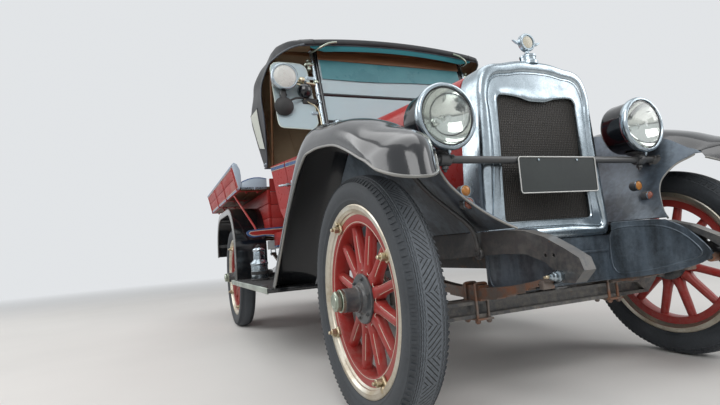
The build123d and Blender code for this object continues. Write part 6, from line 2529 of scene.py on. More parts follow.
    def mirror(self) -> bpy.types.Object:
        """Round mirror seen from its black back, with its neck and arm.

        Returns:
            The modelled piece, without a finish.
        """
        back = Shop.lathe("back", [(0.0, -0.016), (0.020, -0.0145), (0.036, -0.009), (0.047, 0.0), (0.0505, 0.004),
                                   (0.0505, 0.008), (0.047, 0.010), (0.0, 0.010)], car(-0.711, 0.945, 1.312),
                          (0.06, 1, 0.02), 48, 35)
        neck = Shop.tube("neck", [car(-0.711, 0.951, 1.345), car(-0.710, 0.956, 1.375), car(-0.706, 0.972, 1.404)],
                         0.0145, smooth=False)
        arm = Shop.tube("arm", [car(-0.680, 0.951, 1.343), car(-0.652, 0.956, 1.360), car(-0.612, 0.972, 1.370),
                                car(-0.560, 0.995, 1.372), car(-0.510, 0.990, 1.366)], 0.0055)
        block = Shop.board("block", car(-0.600, 0.976, 1.340), car(-0.520, 1.002, 1.366), 0.006)
        return Shop.join([back, neck, arm, block], "mirror")

    def horn_ball(self) -> bpy.types.Object:
        """Rubber bulb of the horn.

        Returns:
            The modelled piece, without a finish.
        """
        r = 0.0405
        half = [(r * math.sin(math.radians(a)), -r * math.cos(math.radians(a)) * 1.04) for a in range(14, 171, 12)]
        neck = [(0.008, r + 0.004), (0.0075, r + 0.016), (0.0, r + 0.016)]
        return Shop.lathe("ball", [(0.0, -r - 0.001), (0.006, -r), *half, *neck], car(-0.583, 0.985, 1.412),
                          (0.12, 0.05, 1), 40, 60)

    def horn_pipe(self) -> bpy.types.Object:
        """Brass tip and thin pipe of the horn.

        Returns:
            The modelled piece, without a finish.
        """
        tip = Shop.lathe("tip", [(0.0, 0.012), (0.004, 0.011), (0.0055, 0.0), (0.0075, -0.004), (0.0, -0.005)],
                         car(-0.588, 0.983, 1.376), (-0.12, -0.05, -1), 20, 50)
        pipe = Shop.tube("pipe", [car(-0.589, 0.982, 1.368), car(-0.570, 0.978, 1.346), car(-0.540, 0.972, 1.334),
                                  car(-0.520, 0.962, 1.305), car(-0.516, 0.950, 1.250), car(-0.515, 0.936, 1.190),
                                  car(-0.513, 0.932, 1.165)], 0.0030)
        return Shop.join([tip, pipe], "horn_pipe")


class SpotLamp:
    """Spot lamp on its arm, left of the windscreen as seen from the front."""
    centre: Point = (-0.700, 0.940, 1.470)
    aim: Point = (0.0, 1.0, 0.0)        # from the glass towards the back of the shell

    def shell(self) -> bpy.types.Object:
        """Black drum with the stem under it.

        Returns:
            The modelled piece, without a finish.
        """
        drum = Shop.lathe("drum", [(0.060, 0.004), (0.0690, 0.004), (0.0700, 0.010), (0.0690, 0.030), (0.0640, 0.050),
                                   (0.0520, 0.070), (0.0340, 0.084), (0.0140, 0.0895), (0.0, 0.090)],
                          car(*self.centre), self.aim, 64, 35)
        foot = Shop.lathe("foot", [(0.0, -0.022), (0.020, -0.022), (0.022, -0.016), (0.017, -0.004), (0.015, 0.012),
                                   (0.0, 0.012)], car(-0.703, 0.986, 1.400), (0, 0, 1), 28, 40)
        return Shop.join([drum, foot], "shell")

    def ring(self) -> bpy.types.Object:
        """Bright ring round the glass.

        Returns:
            The modelled piece, without a finish.
        """
        return Shop.lathe("ring", [(0.0600, -0.0010), (0.0620, -0.0050), (0.0670, -0.0060), (0.0705, -0.0030),
                                   (0.0712, 0.0040), (0.0712, 0.0120), (0.0700, 0.0140)], car(*self.centre), self.aim,
                          64, 50)

    def lens(self) -> bpy.types.Object:
        """Milky domed glass."""
        return Shop.lathe("lens", [(0.0, -0.0115), (0.020, -0.0108), (0.040, -0.0080), (0.054, -0.0040),
                                   (0.0615, 0.0), (0.0615, 0.003), (0.0, 0.003)], car(*self.centre), self.aim, 64, 60)

    def arm(self) -> bpy.types.Object:
        """Arm and swivel to the windscreen tube.

        Returns:
            The modelled piece, without a finish.
        """
        bar = Shop.tube("bar", [car(-0.655, 1.005, 1.470), car(-0.620, 1.010, 1.474), car(-0.560, 1.014, 1.468),
                                car(-0.508, 1.016, 1.462)], 0.0075)
        knob = Shop.lathe("knob", [(0.0, -0.018), (0.010, -0.017), (0.016, -0.010), (0.017, 0.0), (0.014, 0.012),
                                   (0.0, 0.016)], car(-0.588, 1.006, 1.480), (1, 0, 0.1), 28, 50)
        yoke = Shop.tube("yoke", [car(-0.640, 0.985, 1.452), car(-0.612, 0.990, 1.446), car(-0.585, 0.998, 1.452),
                                  car(-0.575, 1.004, 1.470)], 0.0052)
        return Shop.join([bar, knob, yoke], "arm")


@dataclass
class CabPlan:
    """Main places on the cab and the hood, metres behind the front axle."""
    window: tuple[tuple[float, float], ...] = ((1.590, 1.492), (1.800, 1.500), (1.580, 1.222), (1.715, 1.255))
    stud_turns: tuple[float, ...] = (-0.9, -0.62, -0.36, -0.12, 0.12, 0.36, 0.62, 0.9)
    side_studs: tuple[tuple[float, float], ...] = ((1.655, 1.142), (1.690, 1.142))
    belt: tuple[tuple[float, float], ...] = ((0.055, 1.030), (0.35, 1.041), (0.70, 1.051), (1.0, 1.074),
                                             (1.25, 1.087), (1.70, 1.103))
    belt_wide: float = 0.017
    pinstripe_wide: float = 0.0032
    pinstripe_off: float = 0.0115
    lamp_x: float = -0.444
    lamp_y: float = 0.900
    handle_y: float = 1.405
    handle_z: float = 0.965
    louvres: int = 13
    louvre_first: float = 0.165
    louvre_step: float = 0.034
    louvre_low: float = 0.735
    louvre_high: float = 0.965
    louvre_half: float = 0.0065
    catches: tuple[float, ...] = (0.130, 0.620)
    catch_z: float = 0.690
    column_foot: Point = (-0.250, 0.560, 0.640)
    column_top: Point = (-0.250, 1.190, 1.150)
    steering_radius: float = 0.210
    steering_spokes: int = 4


class Cab:
    """Top, seat, windscreen fittings and trim of the cab and hood."""

    def __init__(self, fit: Fitter) -> None:
        """Keep the fitter, the surveyor of its nodes and the plan."""
        self.fit = fit
        self.survey = Surveyor(fit.nodes)
        self.plan = CabPlan()

    def build(self) -> None:
        """Model every piece."""
        self._top()
        self._seat()
        self._windscreen()
        self._stripes()
        self._door_fittings()
        self._hood_fittings()
        self._steering()

    def _top(self) -> None:
        """Soft top with its binding, seams, folds and valance."""
        top = FoldingTop()
        cloth = top.cloth()
        wall = cloth.modifiers.new("wall", "SOLIDIFY")
        wall.thickness = top.thick
        wall.offset = -1.0
        wall.material_offset = 1
        self.fit.put(cloth, "top_cloth", "canopy_cloth", nodes=("canopy",), second="lining_tan")
        Shop.apply(cloth)
        Shop.smooth(cloth, 50.0)
        # the binding is painted lighter than the cloth: painted highlight along the top's edge
        edge = self.fit.put(top.binding(), "top_binding", "edge_cloth")
        seams = self.fit.put(top.seams(), "top_seams", "canopy_cloth")
        folds = self.fit.put(top.inner_seams(), "lining_folds", "lining_tan")
        rows = top.lines()
        across = sum((top.spot(rows[32], -1 + k / 20) - top.spot(rows[32], -0.95 + k / 20)).length for k in range(40))
        along = sum((top.spot(a, 0) - top.spot(b, 0)).length for a, b in zip(rows, rows[1:]))
        strip = self.fit.put(top.valance(), "top_valance", "teal_cloth")
        self._window()
        self._studs(top)

    def _window(self) -> None:
        """Slot windows in the quarters of the top."""
        corners = [Vector(c) for c in self.plan.window]
        top = FoldingTop()
        steps = 12
        panes, frames = [], []
        for side in (-1, 1):
            rows = []
            for i in range(steps + 1):
                fore, aft = (corners[k].lerp(corners[k + 2], i / steps) for k in (0, 1))
                flat = [fore.lerp(aft, j / steps) for j in range(steps + 1)]
                rows.append([car(side * (top.half(y, z) + 0.0025), y, z) for y, z in flat])
            ring = rows[0] + [row[-1] for row in rows[1:-1]] + rows[-1][::-1] + [row[0] for row in rows[-2:0:-1]]
            panes.append(Shop.clean(Shop.sheet("pane", rows, 0.003)))
            frames.append(Shop.tube("frame", ring, 0.0042, closed=True, smooth=False))
        self.fit.put(Shop.join(panes, "panes"), "quarter_windows", "clear_window")
        self.fit.put(Shop.join(frames, "frames"), "quarter_window_frames", "canopy_cloth")

    def _studs(self, top: FoldingTop) -> None:
        """Press studs along the foot of the top.

        Args:
            top: the shape of the top.
        """
        row = Vector(top.rows[-1])
        places = [(top.spot(row, turn) + Vector((0, 0.002, 0.018)), (0, 1, 0))
                  for turn in self.plan.stud_turns]
        places += [(car(side * top.half(y, z), y, z), (side, 0, 0))
                   for side in (-1, 1) for y, z in self.plan.side_studs]
        head = [(0.0, 0.004), (0.005, 0.0035), (0.0075, 0.0015), (0.0075, 0.0), (0.0, 0.0)]
        parts = [Shop.lathe("stud", head, spot, direction, 18, 50) for spot, direction in places]
        self.fit.put(Shop.join(parts, "studs"), "top_studs", "nickel")

    def _seat(self) -> None:
        """Seat cushion and back with their piping."""
        cushion = Pad(tuple(car(-0.430, 1.180, 0.705)), tuple(car(0.430, 1.542, 0.865)), 0.0, 9, "Z")
        back = Pad(tuple(car(-0.480, 1.580, 0.869)), tuple(car(0.480, 1.636, 1.178)), 0.036, 10, "-Y", 0.012)
        for pad, name, nodes in ((cushion, "seat_cushion", ("seat",)), (back, "seat_back", ())):
            piece = self.fit.put(pad.build(name), name, "seat_leather", nodes=nodes)
            self.fit.put(pad.piping(name + "_piping"), name + "_piping", "seat_leather")

    def _windscreen(self) -> None:
        """Fittings of the windscreen, the spot lamp and the cowl lamp."""
        screen, lamp = Windscreen(), SpotLamp()
        self.fit.put(screen.sun_film(), "windscreen_sun_film", "teal_film")
        self.fit.put(screen.header(), "windscreen_header", "bow_wood")
        self.fit.put(Shop.both(screen.tube(), "tubes"), "windscreen_tubes", "nickel")
        self.fit.put(Shop.both(screen.clamps(), "clamps"), "windscreen_clamps", "cap_nickel")
        self.fit.put(screen.wing(), "wing_glass", "clear_glass")
        self.fit.put(screen.wing_edge(), "wing_glass_edge", "glass_edge")
        self.fit.put(screen.wing_clips(), "wing_clips", "nickel")
        self.fit.put(screen.mirror(), "mirror_back", "black_rubber")
        self.fit.put(screen.horn_ball(), "horn_bulb", "fender_black")
        self.fit.put(screen.horn_pipe(), "horn_pipe", "lug_brass")
        self.fit.put(lamp.shell(), "spot_lamp_shell", "fender_black", nodes=("spot_lamp",))
        self.fit.put(lamp.ring(), "spot_lamp_ring", "nickel")
        self.fit.put(lamp.lens(), "spot_lamp_lens", "milk_glass")
        self.fit.put(lamp.arm(), "spot_lamp_arm", "lug_brass")
        p = self.plan
        spot = self.survey.hit(["body_tub"], car(p.lamp_x, p.lamp_y, 1.6), (0, 0, -1))
        high = max(spot.z, 1.16) if spot is not None else 1.2
        foot = Vector((*car(p.lamp_x, p.lamp_y, 0).xy, high - 0.004))
        self.fit.put(Shop.lathe("dome", [(0.0, 1.240 - high), (0.008, 1.239 - high), (0.017, 1.233 - high),
                                         (0.022, 1.222 - high), (0.0225, 1.216 - high), (0.019, 1.212 - high),
                                         (0.012, 1.210 - high), (0.010, 0.006), (0.018, 0.004), (0.019, 0.0),
                                         (0.0, 0.0)], foot, (0, 0, 1), 36, 40), "cowl_lamp", "nickel")

    def _stripes(self) -> None:
        """Blue belt line with pale pinstripes, on the hood, cowl, doors and cab."""
        p = self.plan
        runs = (("hood", ("hood_sides",), "chassis", 0.058, 0.690), ("cowl", ("body_tub",), "chassis", 0.706, 0.990),
                ("door", ("door_right", "door_left"), "door", 1.006, 1.446),
                ("cab", ("body_tub",), "chassis", 1.458, 1.694))
        for side in Side:
            word = side.name.lower()
            for label, nodes, body, start, end in runs:
                line = [(start + (end - start) * k / 8, between(start + (end - start) * k / 8, p.belt))
                        for k in range(9)]
                rides = body if body == "chassis" else f"door_{word}"
                self.fit.put(self.survey.ribbon("stripe", nodes, line, p.belt_wide, side.value),
                             f"belt_blue_{label}_{word}", "stripe_blue", rides)
                thin = [self.survey.ribbon("thin", nodes, [(y, z + off) for y, z in line], p.pinstripe_wide, side.value)
                        for off in (-p.pinstripe_off, p.pinstripe_off)]
                self.fit.put(Shop.join(thin, "thin"), f"belt_pale_{label}_{word}", "stripe_white", rides)

    def _door_fittings(self) -> None:
        """Handles on the doors."""
        y, z = self.plan.handle_y, self.plan.handle_z
        for side in Side:
            word = side.name.lower()
            node = (f"door_{word}",)
            face = self.survey.side(node, y, z, side.value)
            out = Vector((side.value, 0, 0))
            plate = self.survey.pad("plate", node, [(y + 0.013 * math.cos(a), z + 0.028 * math.sin(a))
                                                    for a in [math.tau * k / 20 for k in range(20)]], 0.004, side.value)
            stem = Shop.lathe("stem", [(0.0, 0.0), (0.012, 0.0), (0.0095, 0.006), (0.0080, 0.022), (0.0105, 0.026),
                                       (0.0105, 0.034), (0.0080, 0.037), (0.0, 0.037)], face + out * 0.003, out, 28, 40)
            grip = Shop.tube("grip", [face + out * 0.033 + Vector((0, -0.030, 0.001)), face + out * 0.033,
                                      face + out * 0.036 + Vector((0, 0.030, 0.004)),
                                      face + out * 0.046 + Vector((0, 0.070, 0.007)),
                                      face + out * 0.058 + Vector((0, 0.096, 0.008))], 0.0072, sides=5)
            self.fit.put(Shop.join([plate, stem, grip], "handle"), f"door_handle_{word}", "nickel", f"door_{word}")

    def _hood_fittings(self) -> None:
        """Pressed louvres and catches on the sides of the hood."""
        p = self.plan
        low, high, half = p.louvre_low, p.louvre_high, p.louvre_half
        for side in Side:
            word = side.name.lower()
            parts = []
            for k in range(p.louvres):
                y = p.louvre_first + p.louvre_step * k
                ring = [(y - half, low + half), (y - half, high - half), (y - half * 0.6, high - half * 0.3),
                        (y, high), (y + half * 0.6, high - half * 0.3), (y + half, high - half),
                        (y + half, low + half), (y + half * 0.6, low + half * 0.3), (y, low),
                        (y - half * 0.6, low + half * 0.3)]
                parts.append(self.survey.pad("louvre", ("hood_sides",), ring, 0.006, side.value, 0.0028))
            self.fit.put(Shop.join(parts, "louvres"), f"hood_louvres_{word}", "body_red")
            catches = []
            for y in p.catches:
                face = self.survey.side(("hood_sides",), y, p.catch_z, side.value)
                out = Vector((side.value, 0, 0))
                catches.append(Shop.lathe("boss", [(0.0, 0.0), (0.011, 0.0), (0.011, 0.004), (0.006, 0.006),
                                                   (0.006, 0.014), (0.0, 0.015)], face, out, 24, 40))
                catches.append(Shop.tube("grip", [face + out * 0.013 + Vector((0, 0, -0.030)), face + out * 0.016,
                                                  face + out * 0.013 + Vector((0, 0, 0.030))], 0.0050))
            self.fit.put(Shop.join(catches, "catches"), f"hood_catches_{word}", "nickel")

    def _steering(self) -> None:
        """Wood rim and metal spokes of the steering wheel."""
        p = self.plan
        foot, top = car(*p.column_foot), car(*p.column_top)
        run = (top - foot).normalized()
        rim = Shop.lathe("rim", [(p.steering_radius + 0.0125 * math.cos(a), 0.0115 * math.sin(a))
                                 for a in [math.tau * k / 16 for k in range(17)]], top, run, 72, 60)
        side = Vector((1, 0, 0))
        up = run.cross(side)
        parts = [Shop.lathe("hub", [(0.0, 0.016), (0.012, 0.015), (0.022, 0.010), (0.030, 0.002), (0.034, -0.012),
                                    (0.030, -0.034), (0.021, -0.040), (0.0, -0.040)], top - run * 0.018, run, 40, 40)]
        for k in range(p.steering_spokes):
            a = math.radians(45 + 90 * k)
            out = side * math.cos(a) + up * math.sin(a)
            parts.append(Shop.tube("spoke", [top - run * 0.030 + out * 0.026, top - run * 0.024 + out * 0.09,
                                             top - run * 0.008 + out * 0.16, top + out * 0.203], 0.0075))
        self.fit.put(rim, "steering_rim", "bow_wood", "steering_wheel", ("steering_wheel",))
        self.fit.put(Shop.join(parts, "spokes"), "steering_spokes", "iron", "steering_wheel")


# Load bed, running boards and exhaust

@dataclass
class BedPlan:
    """Main places of the load bed, metres behind the front axle."""
    front: float = 1.985
    end: float = 3.740
    floor: float = 0.735
    half: float = 0.600
    board: float = 0.022
    ledge: float = 1.040
    ledge_half: float = 0.800
    flare_half: float = 0.842
    flare_top: float = 1.200
    gate_y: float = 3.729
    gate_z: float = 0.751
    gate_top: float = 1.139
    iron_depth: float = 0.0088     # what the irons need behind the gate's boards
    slit: float = 0.0015           # between the floor and the gate
    headboard: float = 1.100
    bearers: tuple[float, ...] = (2.040, 2.616, 3.140)
    bearer_half: float = 0.590
    rail_top: float = 0.684
    last_strap: float = 3.690
    gate_half: float = 0.574
    gate_straps: tuple[float, ...] = (-0.46, 0.0, 0.46)
    generator_foot: Point = (-0.725, 1.780, 0.388)
    silencer_x: float = 0.190
    silencer_z: float = 0.430


class LoadBed:
    """Bed of boards with ledges and flared sides, its tailgate and its painted bolster."""

    def __init__(self, fit: Fitter) -> None:
        """Keep the fitter, the surveyor and the plan.

        Args:
            fit: puts pieces on the car.
        """
        self.fit = fit
        self.survey = Surveyor(fit.nodes)
        self.plan = BedPlan()

    def build(self) -> None:
        """Model every piece."""
        self._box()
        self._flares()
        self._ends()
        self._irons()
        self._lines()
        self._gate()
        self._bolster()
        self._running_boards()
        self._generator()
        self._exhaust()

    @staticmethod
    def planks(axis: int, low: Point, high: Point, count: int, gap: float = 0.0025) -> bpy.types.Object:
        """A wall of planks side by side along one axis.

        Args:
            axis: the axis across the planks, 0 to 2.
            low: the wall's lowest corner.
            high: its highest corner.
            count: number of planks.
            gap: gap between two planks.

        Returns:
            The modelled piece, without a finish.
        """
        parts = []
        step = (high[axis] - low[axis]) / count
        for k in range(count):
            a, b = list(low), list(high)
            a[axis] = low[axis] + step * k + gap / 2
            b[axis] = low[axis] + step * (k + 1) - gap / 2
            parts.append(Shop.board("plank", a, b, 0.0022))
        return Shop.join(parts, "planks")

    @staticmethod
    def bolt_head(spot: Vector, out: Point) -> bpy.types.Object:
        """Round head of a coach bolt.

        Args:
            spot: middle of its foot.
            out: direction it stands out in.

        Returns:
            The modelled piece, without a finish.
        """
        return Shop.lathe("head", [(0.0, 0.0045), (0.005, 0.0038), (0.0085, 0.0005), (0.0085, 0.0), (0.0, 0.0)],
                          spot, out, 16, 60)

    def _box(self) -> None:
        """Floor, sides, headboard, ledges and cross sills."""
        p = self.plan
        floor = self.planks(0, car(p.board - p.half, p.front + p.board, p.floor - p.board),
                            car(p.half - p.board, p.end - p.board - p.slit, p.floor), 9)
        self.fit.put(floor, "bed_floor", "bed_worn")
        sides = [self.planks(2, car(s * p.half - (p.board if s > 0 else 0), p.front, p.floor - p.board),
                             car(s * p.half + (0 if s > 0 else p.board), p.end, p.ledge - p.board), 3)
                 for s in (-1, 1)]
        front = self.planks(2, car(p.board - p.half, p.front, p.floor - p.board),
                            car(p.half - p.board, p.front + p.board, p.headboard), 4)
        self.fit.put(Shop.join([*sides, front], "sides"), "bed_sides", "bed_red", nodes=("load_bed",))
        ledges = [self.planks(0, car(min(s * 0.578, s * p.ledge_half), p.front, p.ledge - p.board),
                              car(max(s * 0.578, s * p.ledge_half), p.end, p.ledge), 2) for s in (-1, 1)]
        # ledges in dark brown: painted shade from under the ledges
        self.fit.put(Shop.join(ledges, "ledges"), "bed_ledges", "bed_brown")
        sills = [Shop.board("sill", car(-p.bearer_half, y - 0.035, p.rail_top),
                            car(p.bearer_half, y + 0.035, p.floor - p.board + 0.001), 0.006) for y in p.bearers]
        self.fit.put(Shop.join(sills, "sills"), "bed_cross_sills", "bed_brown")

    def _flares(self) -> None:
        """Two planks to each flared side."""
        p = self.plan
        parts = []
        low, high = Vector((p.ledge_half, p.ledge - p.board)), Vector((p.flare_half, p.flare_top))
        inner = Vector((-p.board, 0))
        for a, b in ((0.0, 0.492), (0.508, 1.0)):
            one, two = low.lerp(high, a), low.lerp(high, b)
            ring = [one, two, two + inner, one + inner]
            parts.append(Shop.slab("flare", [car(q.x, p.front, q.y) for q in ring], (0, p.end - p.front, 0), 0.0028))
        self.fit.put(Shop.both(Shop.join(parts, "flare"), "flares"), "bed_flares", "bed_pink")

    def _ends(self) -> None:
        """Low shaped ends over the ledges in front, tall ones behind, and the pale caps of the flares."""
        p = self.plan
        low = [(0.600, 1.019), (0.790, 1.019), (0.790, 1.062), (0.765, 1.078), (0.730, 1.092), (0.690, 1.101),
               (0.650, 1.102), (0.620, 1.098), (0.600, 1.092)]
        front = Shop.slab("low_end", [car(x, p.front, z) for x, z in low], (0, p.board, 0), 0.003)
        self.fit.put(Shop.both(front, "low_ends"), "bed_front_ends", "edge_sky")
        rim = Shop.tube("rim", [car(x, p.front + 0.011, z + 0.002) for x, z in low[2:]], 0.0068, smooth=False)
        self.fit.put(Shop.both(rim, "rims"), "bed_front_end_rims", "stripe_blue")
        tall = [(0.600, 1.019), (0.797, 1.019), (0.826, 1.180), (0.600, 1.180)]
        rear = Shop.slab("tall_end", [car(x, p.end - p.board, z) for x, z in tall], (0, p.board, 0), 0.003)
        self.fit.put(Shop.both(rear, "tall_ends"), "bed_rear_ends", "bed_red")
        cap = [(0.799, 1.019), (0.8435, 1.201), (0.826, 1.214), (0.806, 1.200), (0.789, 1.165), (0.782, 1.120),
               (0.782, 1.075), (0.788, 1.040)]
        piece = Shop.slab("cap", [car(x, p.front - 0.014, z) for x, z in cap], (0, 0.0145, 0), 0.003)
        self.fit.put(Shop.both(piece, "caps"), "flare_caps", "edge_sky")

    def _irons(self) -> None:
        """Straps of the flares with their bolts, and the stays."""
        p = self.plan
        lean = (p.flare_half - p.ledge_half) / (p.flare_top - p.ledge + p.board)
        parts = []
        for y in (*p.bearers, p.last_strap):
            points = [(0.630, 1.0170), (p.ledge_half + 0.0005, 1.0170), (p.flare_half - 0.004, 1.184)]
            outer = [(0.630, 1.0125), (p.ledge_half + 0.0060, 1.0125), (p.flare_half + 0.0005, 1.184)]
            ring = [car(x, y - 0.014, z) for x, z in [*points, *reversed(outer)]]
            parts.append(Shop.slab("strap", ring, (0, 0.028, 0), 0.0015))
            for z in (1.060, 1.120, 1.165):
                x = p.ledge_half + lean * (z - p.ledge + p.board) + 0.0035
                parts.append(self.bolt_head(car(x, y, z), (1, 0, -lean)))
            for x in (0.66, 0.74):
                parts.append(Shop.nut("nut", car(x, y, 1.0125), (0, 0, -1), 0.009, 0.007, 0.005))
        self.fit.put(Shop.both(Shop.join(parts, "straps"), "straps"), "flare_straps", "bed_pink")
        stays = [Shop.tube("stay", [car(0.796, 2.270, 1.030), car(0.792, 2.258, 1.012), car(0.705, 1.975, 0.752),
                                    car(0.700, 1.966, 0.728)], 0.0075, smooth=False)]
        stays.append(Shop.tube("stay", [car(0.770, 3.140, 1.016), car(0.610, 3.140, 0.780), car(0.596, 3.140, 0.740)],
                               0.0075, smooth=False))
        self.fit.put(Shop.both(Shop.join(stays, "stays"), "stays"), "bed_stays", "bed_pink")

    def _lines(self) -> None:
        """Painted edge lines of the flares."""
        p = self.plan
        ends = [(p.front + 0.002, 1.026), (p.end - 0.002, 1.026)]
        tops = [(p.front + 0.002, 1.192), (p.end - 0.002, 1.192)]
        for side in Side:
            word = side.name.lower()
            thick = [self.survey.ribbon("line", ("load_bed",), line, 0.011, side.value, 0.0018)
                     for line in (ends, tops)]
            self.fit.put(Shop.join(thick, "lines"), f"flare_blue_{word}", "stripe_blue")
            thin = [self.survey.ribbon("line", ("load_bed",), [(y, z + off) for y, z in line], 0.0045, side.value,
                                       0.0018) for line, off in ((ends, 0.010), (tops, -0.010))]
            self.fit.put(Shop.join(thin, "lines"), f"flare_pale_{word}", "stripe_white")

    def _gate(self) -> None:
        """Tailgate of planks with straps, pins and latches."""
        p = self.plan
        face = p.end - p.iron_depth
        boards = self.planks(2, car(-p.gate_half, p.end - p.board, p.floor + 0.007),
                             car(p.gate_half, face, p.gate_top), 4)
        self.fit.put(boards, "tailgate_boards", "bed_red", "tailgate", ("tailgate",))
        parts = []
        for x in p.gate_straps:
            parts.append(Shop.board("strap", car(x - 0.018, face - 0.0005, p.floor + 0.012),
                                    car(x + 0.018, face + 0.0045, 1.125), 0.0018))
            for z in (0.80, 0.93, 1.09):
                parts.append(self.bolt_head(car(x, face + 0.0042, z), (0, 1, 0)))
        for x in (-0.535, 0.535):
            sign = 1 if x > 0 else -1
            parts.append(Shop.lathe("boss", [(0.0, 0.0), (0.015, 0.0), (0.015, 0.004), (0.008, 0.0055),
                                             (0.008, 0.0080), (0.0, 0.0086)], car(x - sign * 0.02, face, 1.080),
                                    (0, 1, 0), 24, 40))
            parts.append(Shop.tube("bolt", [car(x - sign * 0.055, face + 0.0032, 1.050),
                                            car(x - sign * 0.022, face + 0.0032, 1.080),
                                            car(x + sign * 0.030, face + 0.0032, 1.080)], 0.0055))
        rod = Shop.lathe("pin", [(0.0, 0.0), (0.0065, 0.0), (0.0078, 0.0015), (0.0078, 1.1965), (0.0065, 1.198),
                                 (0.0, 1.198)], car(-0.599, p.gate_y, p.gate_z), (1, 0, 0), 24, 40)
        self.fit.put(Shop.join([*parts, rod], "irons"), "tailgate_irons", "iron", "tailgate")

    def _bolster(self) -> None:
        """Painted, pointed end of the bolster in front of the bed, and the board below it."""
        outline = [(0.500, 0.745), (0.600, 0.740), (0.700, 0.733), (0.750, 0.728), (0.763, 0.720), (0.766, 0.709),
                   (0.760, 0.697), (0.746, 0.686), (0.722, 0.679), (0.690, 0.682), (0.643, 0.686), (0.600, 0.682),
                   (0.560, 0.671), (0.520, 0.657), (0.500, 0.652)]
        middle = (0.600, 0.708)
        layers = (("bolster_blue", "stripe_blue", 1.0, 1.0, 1.945, 0.040),
                  ("bolster_pale", "stripe_white", 0.93, 0.70, 1.9435, 0.010),
                  ("bolster_red", "bed_red", 0.90, 0.52, 1.9420, 0.010))
        for name, finish, wide, high, y, deep in layers:
            ring = [(middle[0] + (x - middle[0]) * wide, middle[1] + (z - middle[1]) * high) for x, z in outline]
            piece = Shop.slab(name, [car(x, y, z) for x, z in ring], (0, deep, 0), 0.0008, 1)
            self.fit.put(Shop.both(piece, name), name, finish)
        board = Shop.board("valance", car(0.560, 1.505, 0.596), car(0.578, 1.944, 0.700), 0.003)
        self.fit.put(Shop.both(board, "valances"), "sill_boards", "bed_red")
        line = Shop.board("line", car(0.5775, 1.507, 0.5975), car(0.5795, 1.942, 0.612), 0.0006)
        self.fit.put(Shop.both(line, "lines"), "sill_board_lines", "stripe_blue")

    def _running_boards(self) -> None:
        """Ribbed mats and pale edges of the running boards."""
        deck = Shop.board("deck", car(0.5905, 0.9355, 0.3642), car(0.8570, 2.1395, 0.3878), 0.003)
        apron = [(0.590, 0.365), (0.594, 0.365), (0.594, 0.428), (0.344, 0.571), (0.3403, 0.571), (0.590, 0.422)]
        splash = Shop.slab("splash", [car(x, 0.9355, z) for x, z in apron], (0, 1.204, 0), 0.0006, 1)
        self.fit.put(Shop.both(Shop.join([deck, splash], "deck"), "decks"), "running_board_decks", "fender_black",
                     nodes=("running_boards",))
        ribs = [Shop.board("rib", car(0.612 + 0.0215 * k, 0.950, 0.3875), car(0.622 + 0.0215 * k, 2.125, 0.3905), 0.001)
                for k in range(11)]
        self.fit.put(Shop.both(Shop.join(ribs, "ribs"), "ribs"), "running_board_ribs", "black_rubber")
        edge = [(0.8515, 0.3882), (0.8515, 0.3905), (0.8555, 0.3915), (0.8588, 0.3900), (0.8598, 0.3860),
                (0.8594, 0.3640), (0.8580, 0.3605), (0.8515, 0.3600), (0.8515, 0.3640), (0.8568, 0.3650),
                (0.8568, 0.3880)]
        piece = Shop.slab("edge", [car(x, 0.936, z) for x, z in edge], (0, 1.215, 0), 0.0006, 1)
        end = Shop.board("end", car(0.592, 2.139, 0.361), car(0.8595, 2.146, 0.391), 0.002)
        self.fit.put(Shop.both(Shop.join([piece, end], "edge"), "edges"), "running_board_edges", "board_edge")

    def _generator(self) -> None:
        """Two-stage lamp gas generator."""
        foot = car(*self.plan.generator_foot)
        body = [(0.0, 0.012), (0.0520, 0.012), (0.0540, 0.016), (0.0540, 0.100), (0.0560, 0.103), (0.0575, 0.107),
                (0.0575, 0.113), (0.0560, 0.117), (0.0520, 0.121), (0.0470, 0.128), (0.0395, 0.133), (0.0365, 0.138),
                (0.0365, 0.190), (0.0385, 0.193), (0.0400, 0.197), (0.0400, 0.202), (0.0385, 0.206), (0.0340, 0.210),
                (0.0200, 0.219), (0.0, 0.221)]
        self.fit.put(Shop.lathe("body", body, foot, (0, 0, 1), 64, 28), "gas_generator_body", "nickel",
                     nodes=("gas_generator",))
        cap = Shop.lathe("cap", [(0.0, 0.217), (0.016, 0.218), (0.017, 0.222), (0.017, 0.229), (0.014, 0.232),
                                 (0.008, 0.233), (0.0075, 0.238), (0.0, 0.239)], foot, (0, 0, 1), 32, 40)
        base = Shop.lathe("base", [(0.0, 0.0), (0.0600, 0.0), (0.0615, 0.003), (0.0615, 0.010), (0.0590, 0.013),
                                   (0.0540, 0.014), (0.0, 0.014)], foot, (0, 0, 1), 48, 40)
        strap = Shop.lathe("strap", [(0.0545, 0.040), (0.0560, 0.041), (0.0560, 0.059), (0.0545, 0.060),
                                     (0.0545, 0.040)], foot, (0, 0, 1), 64, 40)
        lugs = [Shop.board("lug", foot + Vector((0.050, -0.008, 0.040)), foot + Vector((0.085, 0.008, 0.060)), 0.003)]
        for a in (30, 150, 270):
            spot = foot + Vector((0.052 * math.cos(math.radians(a)), 0.052 * math.sin(math.radians(a)), 0.012))
            lugs.append(Shop.nut("nut", spot, (0, 0, 1), 0.0070, 0.006, 0.004))
        self.fit.put(Shop.join([cap, base, strap, *lugs], "fittings"), "gas_generator_fittings", "black_rubber")
        for label, turn in (("low", 0.070), ("high", 0.165)):
            radius = 0.0541 if label == "low" else 0.0366
            rings = [Shop.lathe("bead", [(radius, -0.0016), (radius + 0.0016, 0.0), (radius, 0.0016)],
                                foot + Vector((0, 0, turn + k * 0.009)), (0, 0, 1), 48, 60) for k in range(3)]
            self.fit.put(Shop.join(rings, "beads"), f"gas_generator_beads_{label}", "nickel")

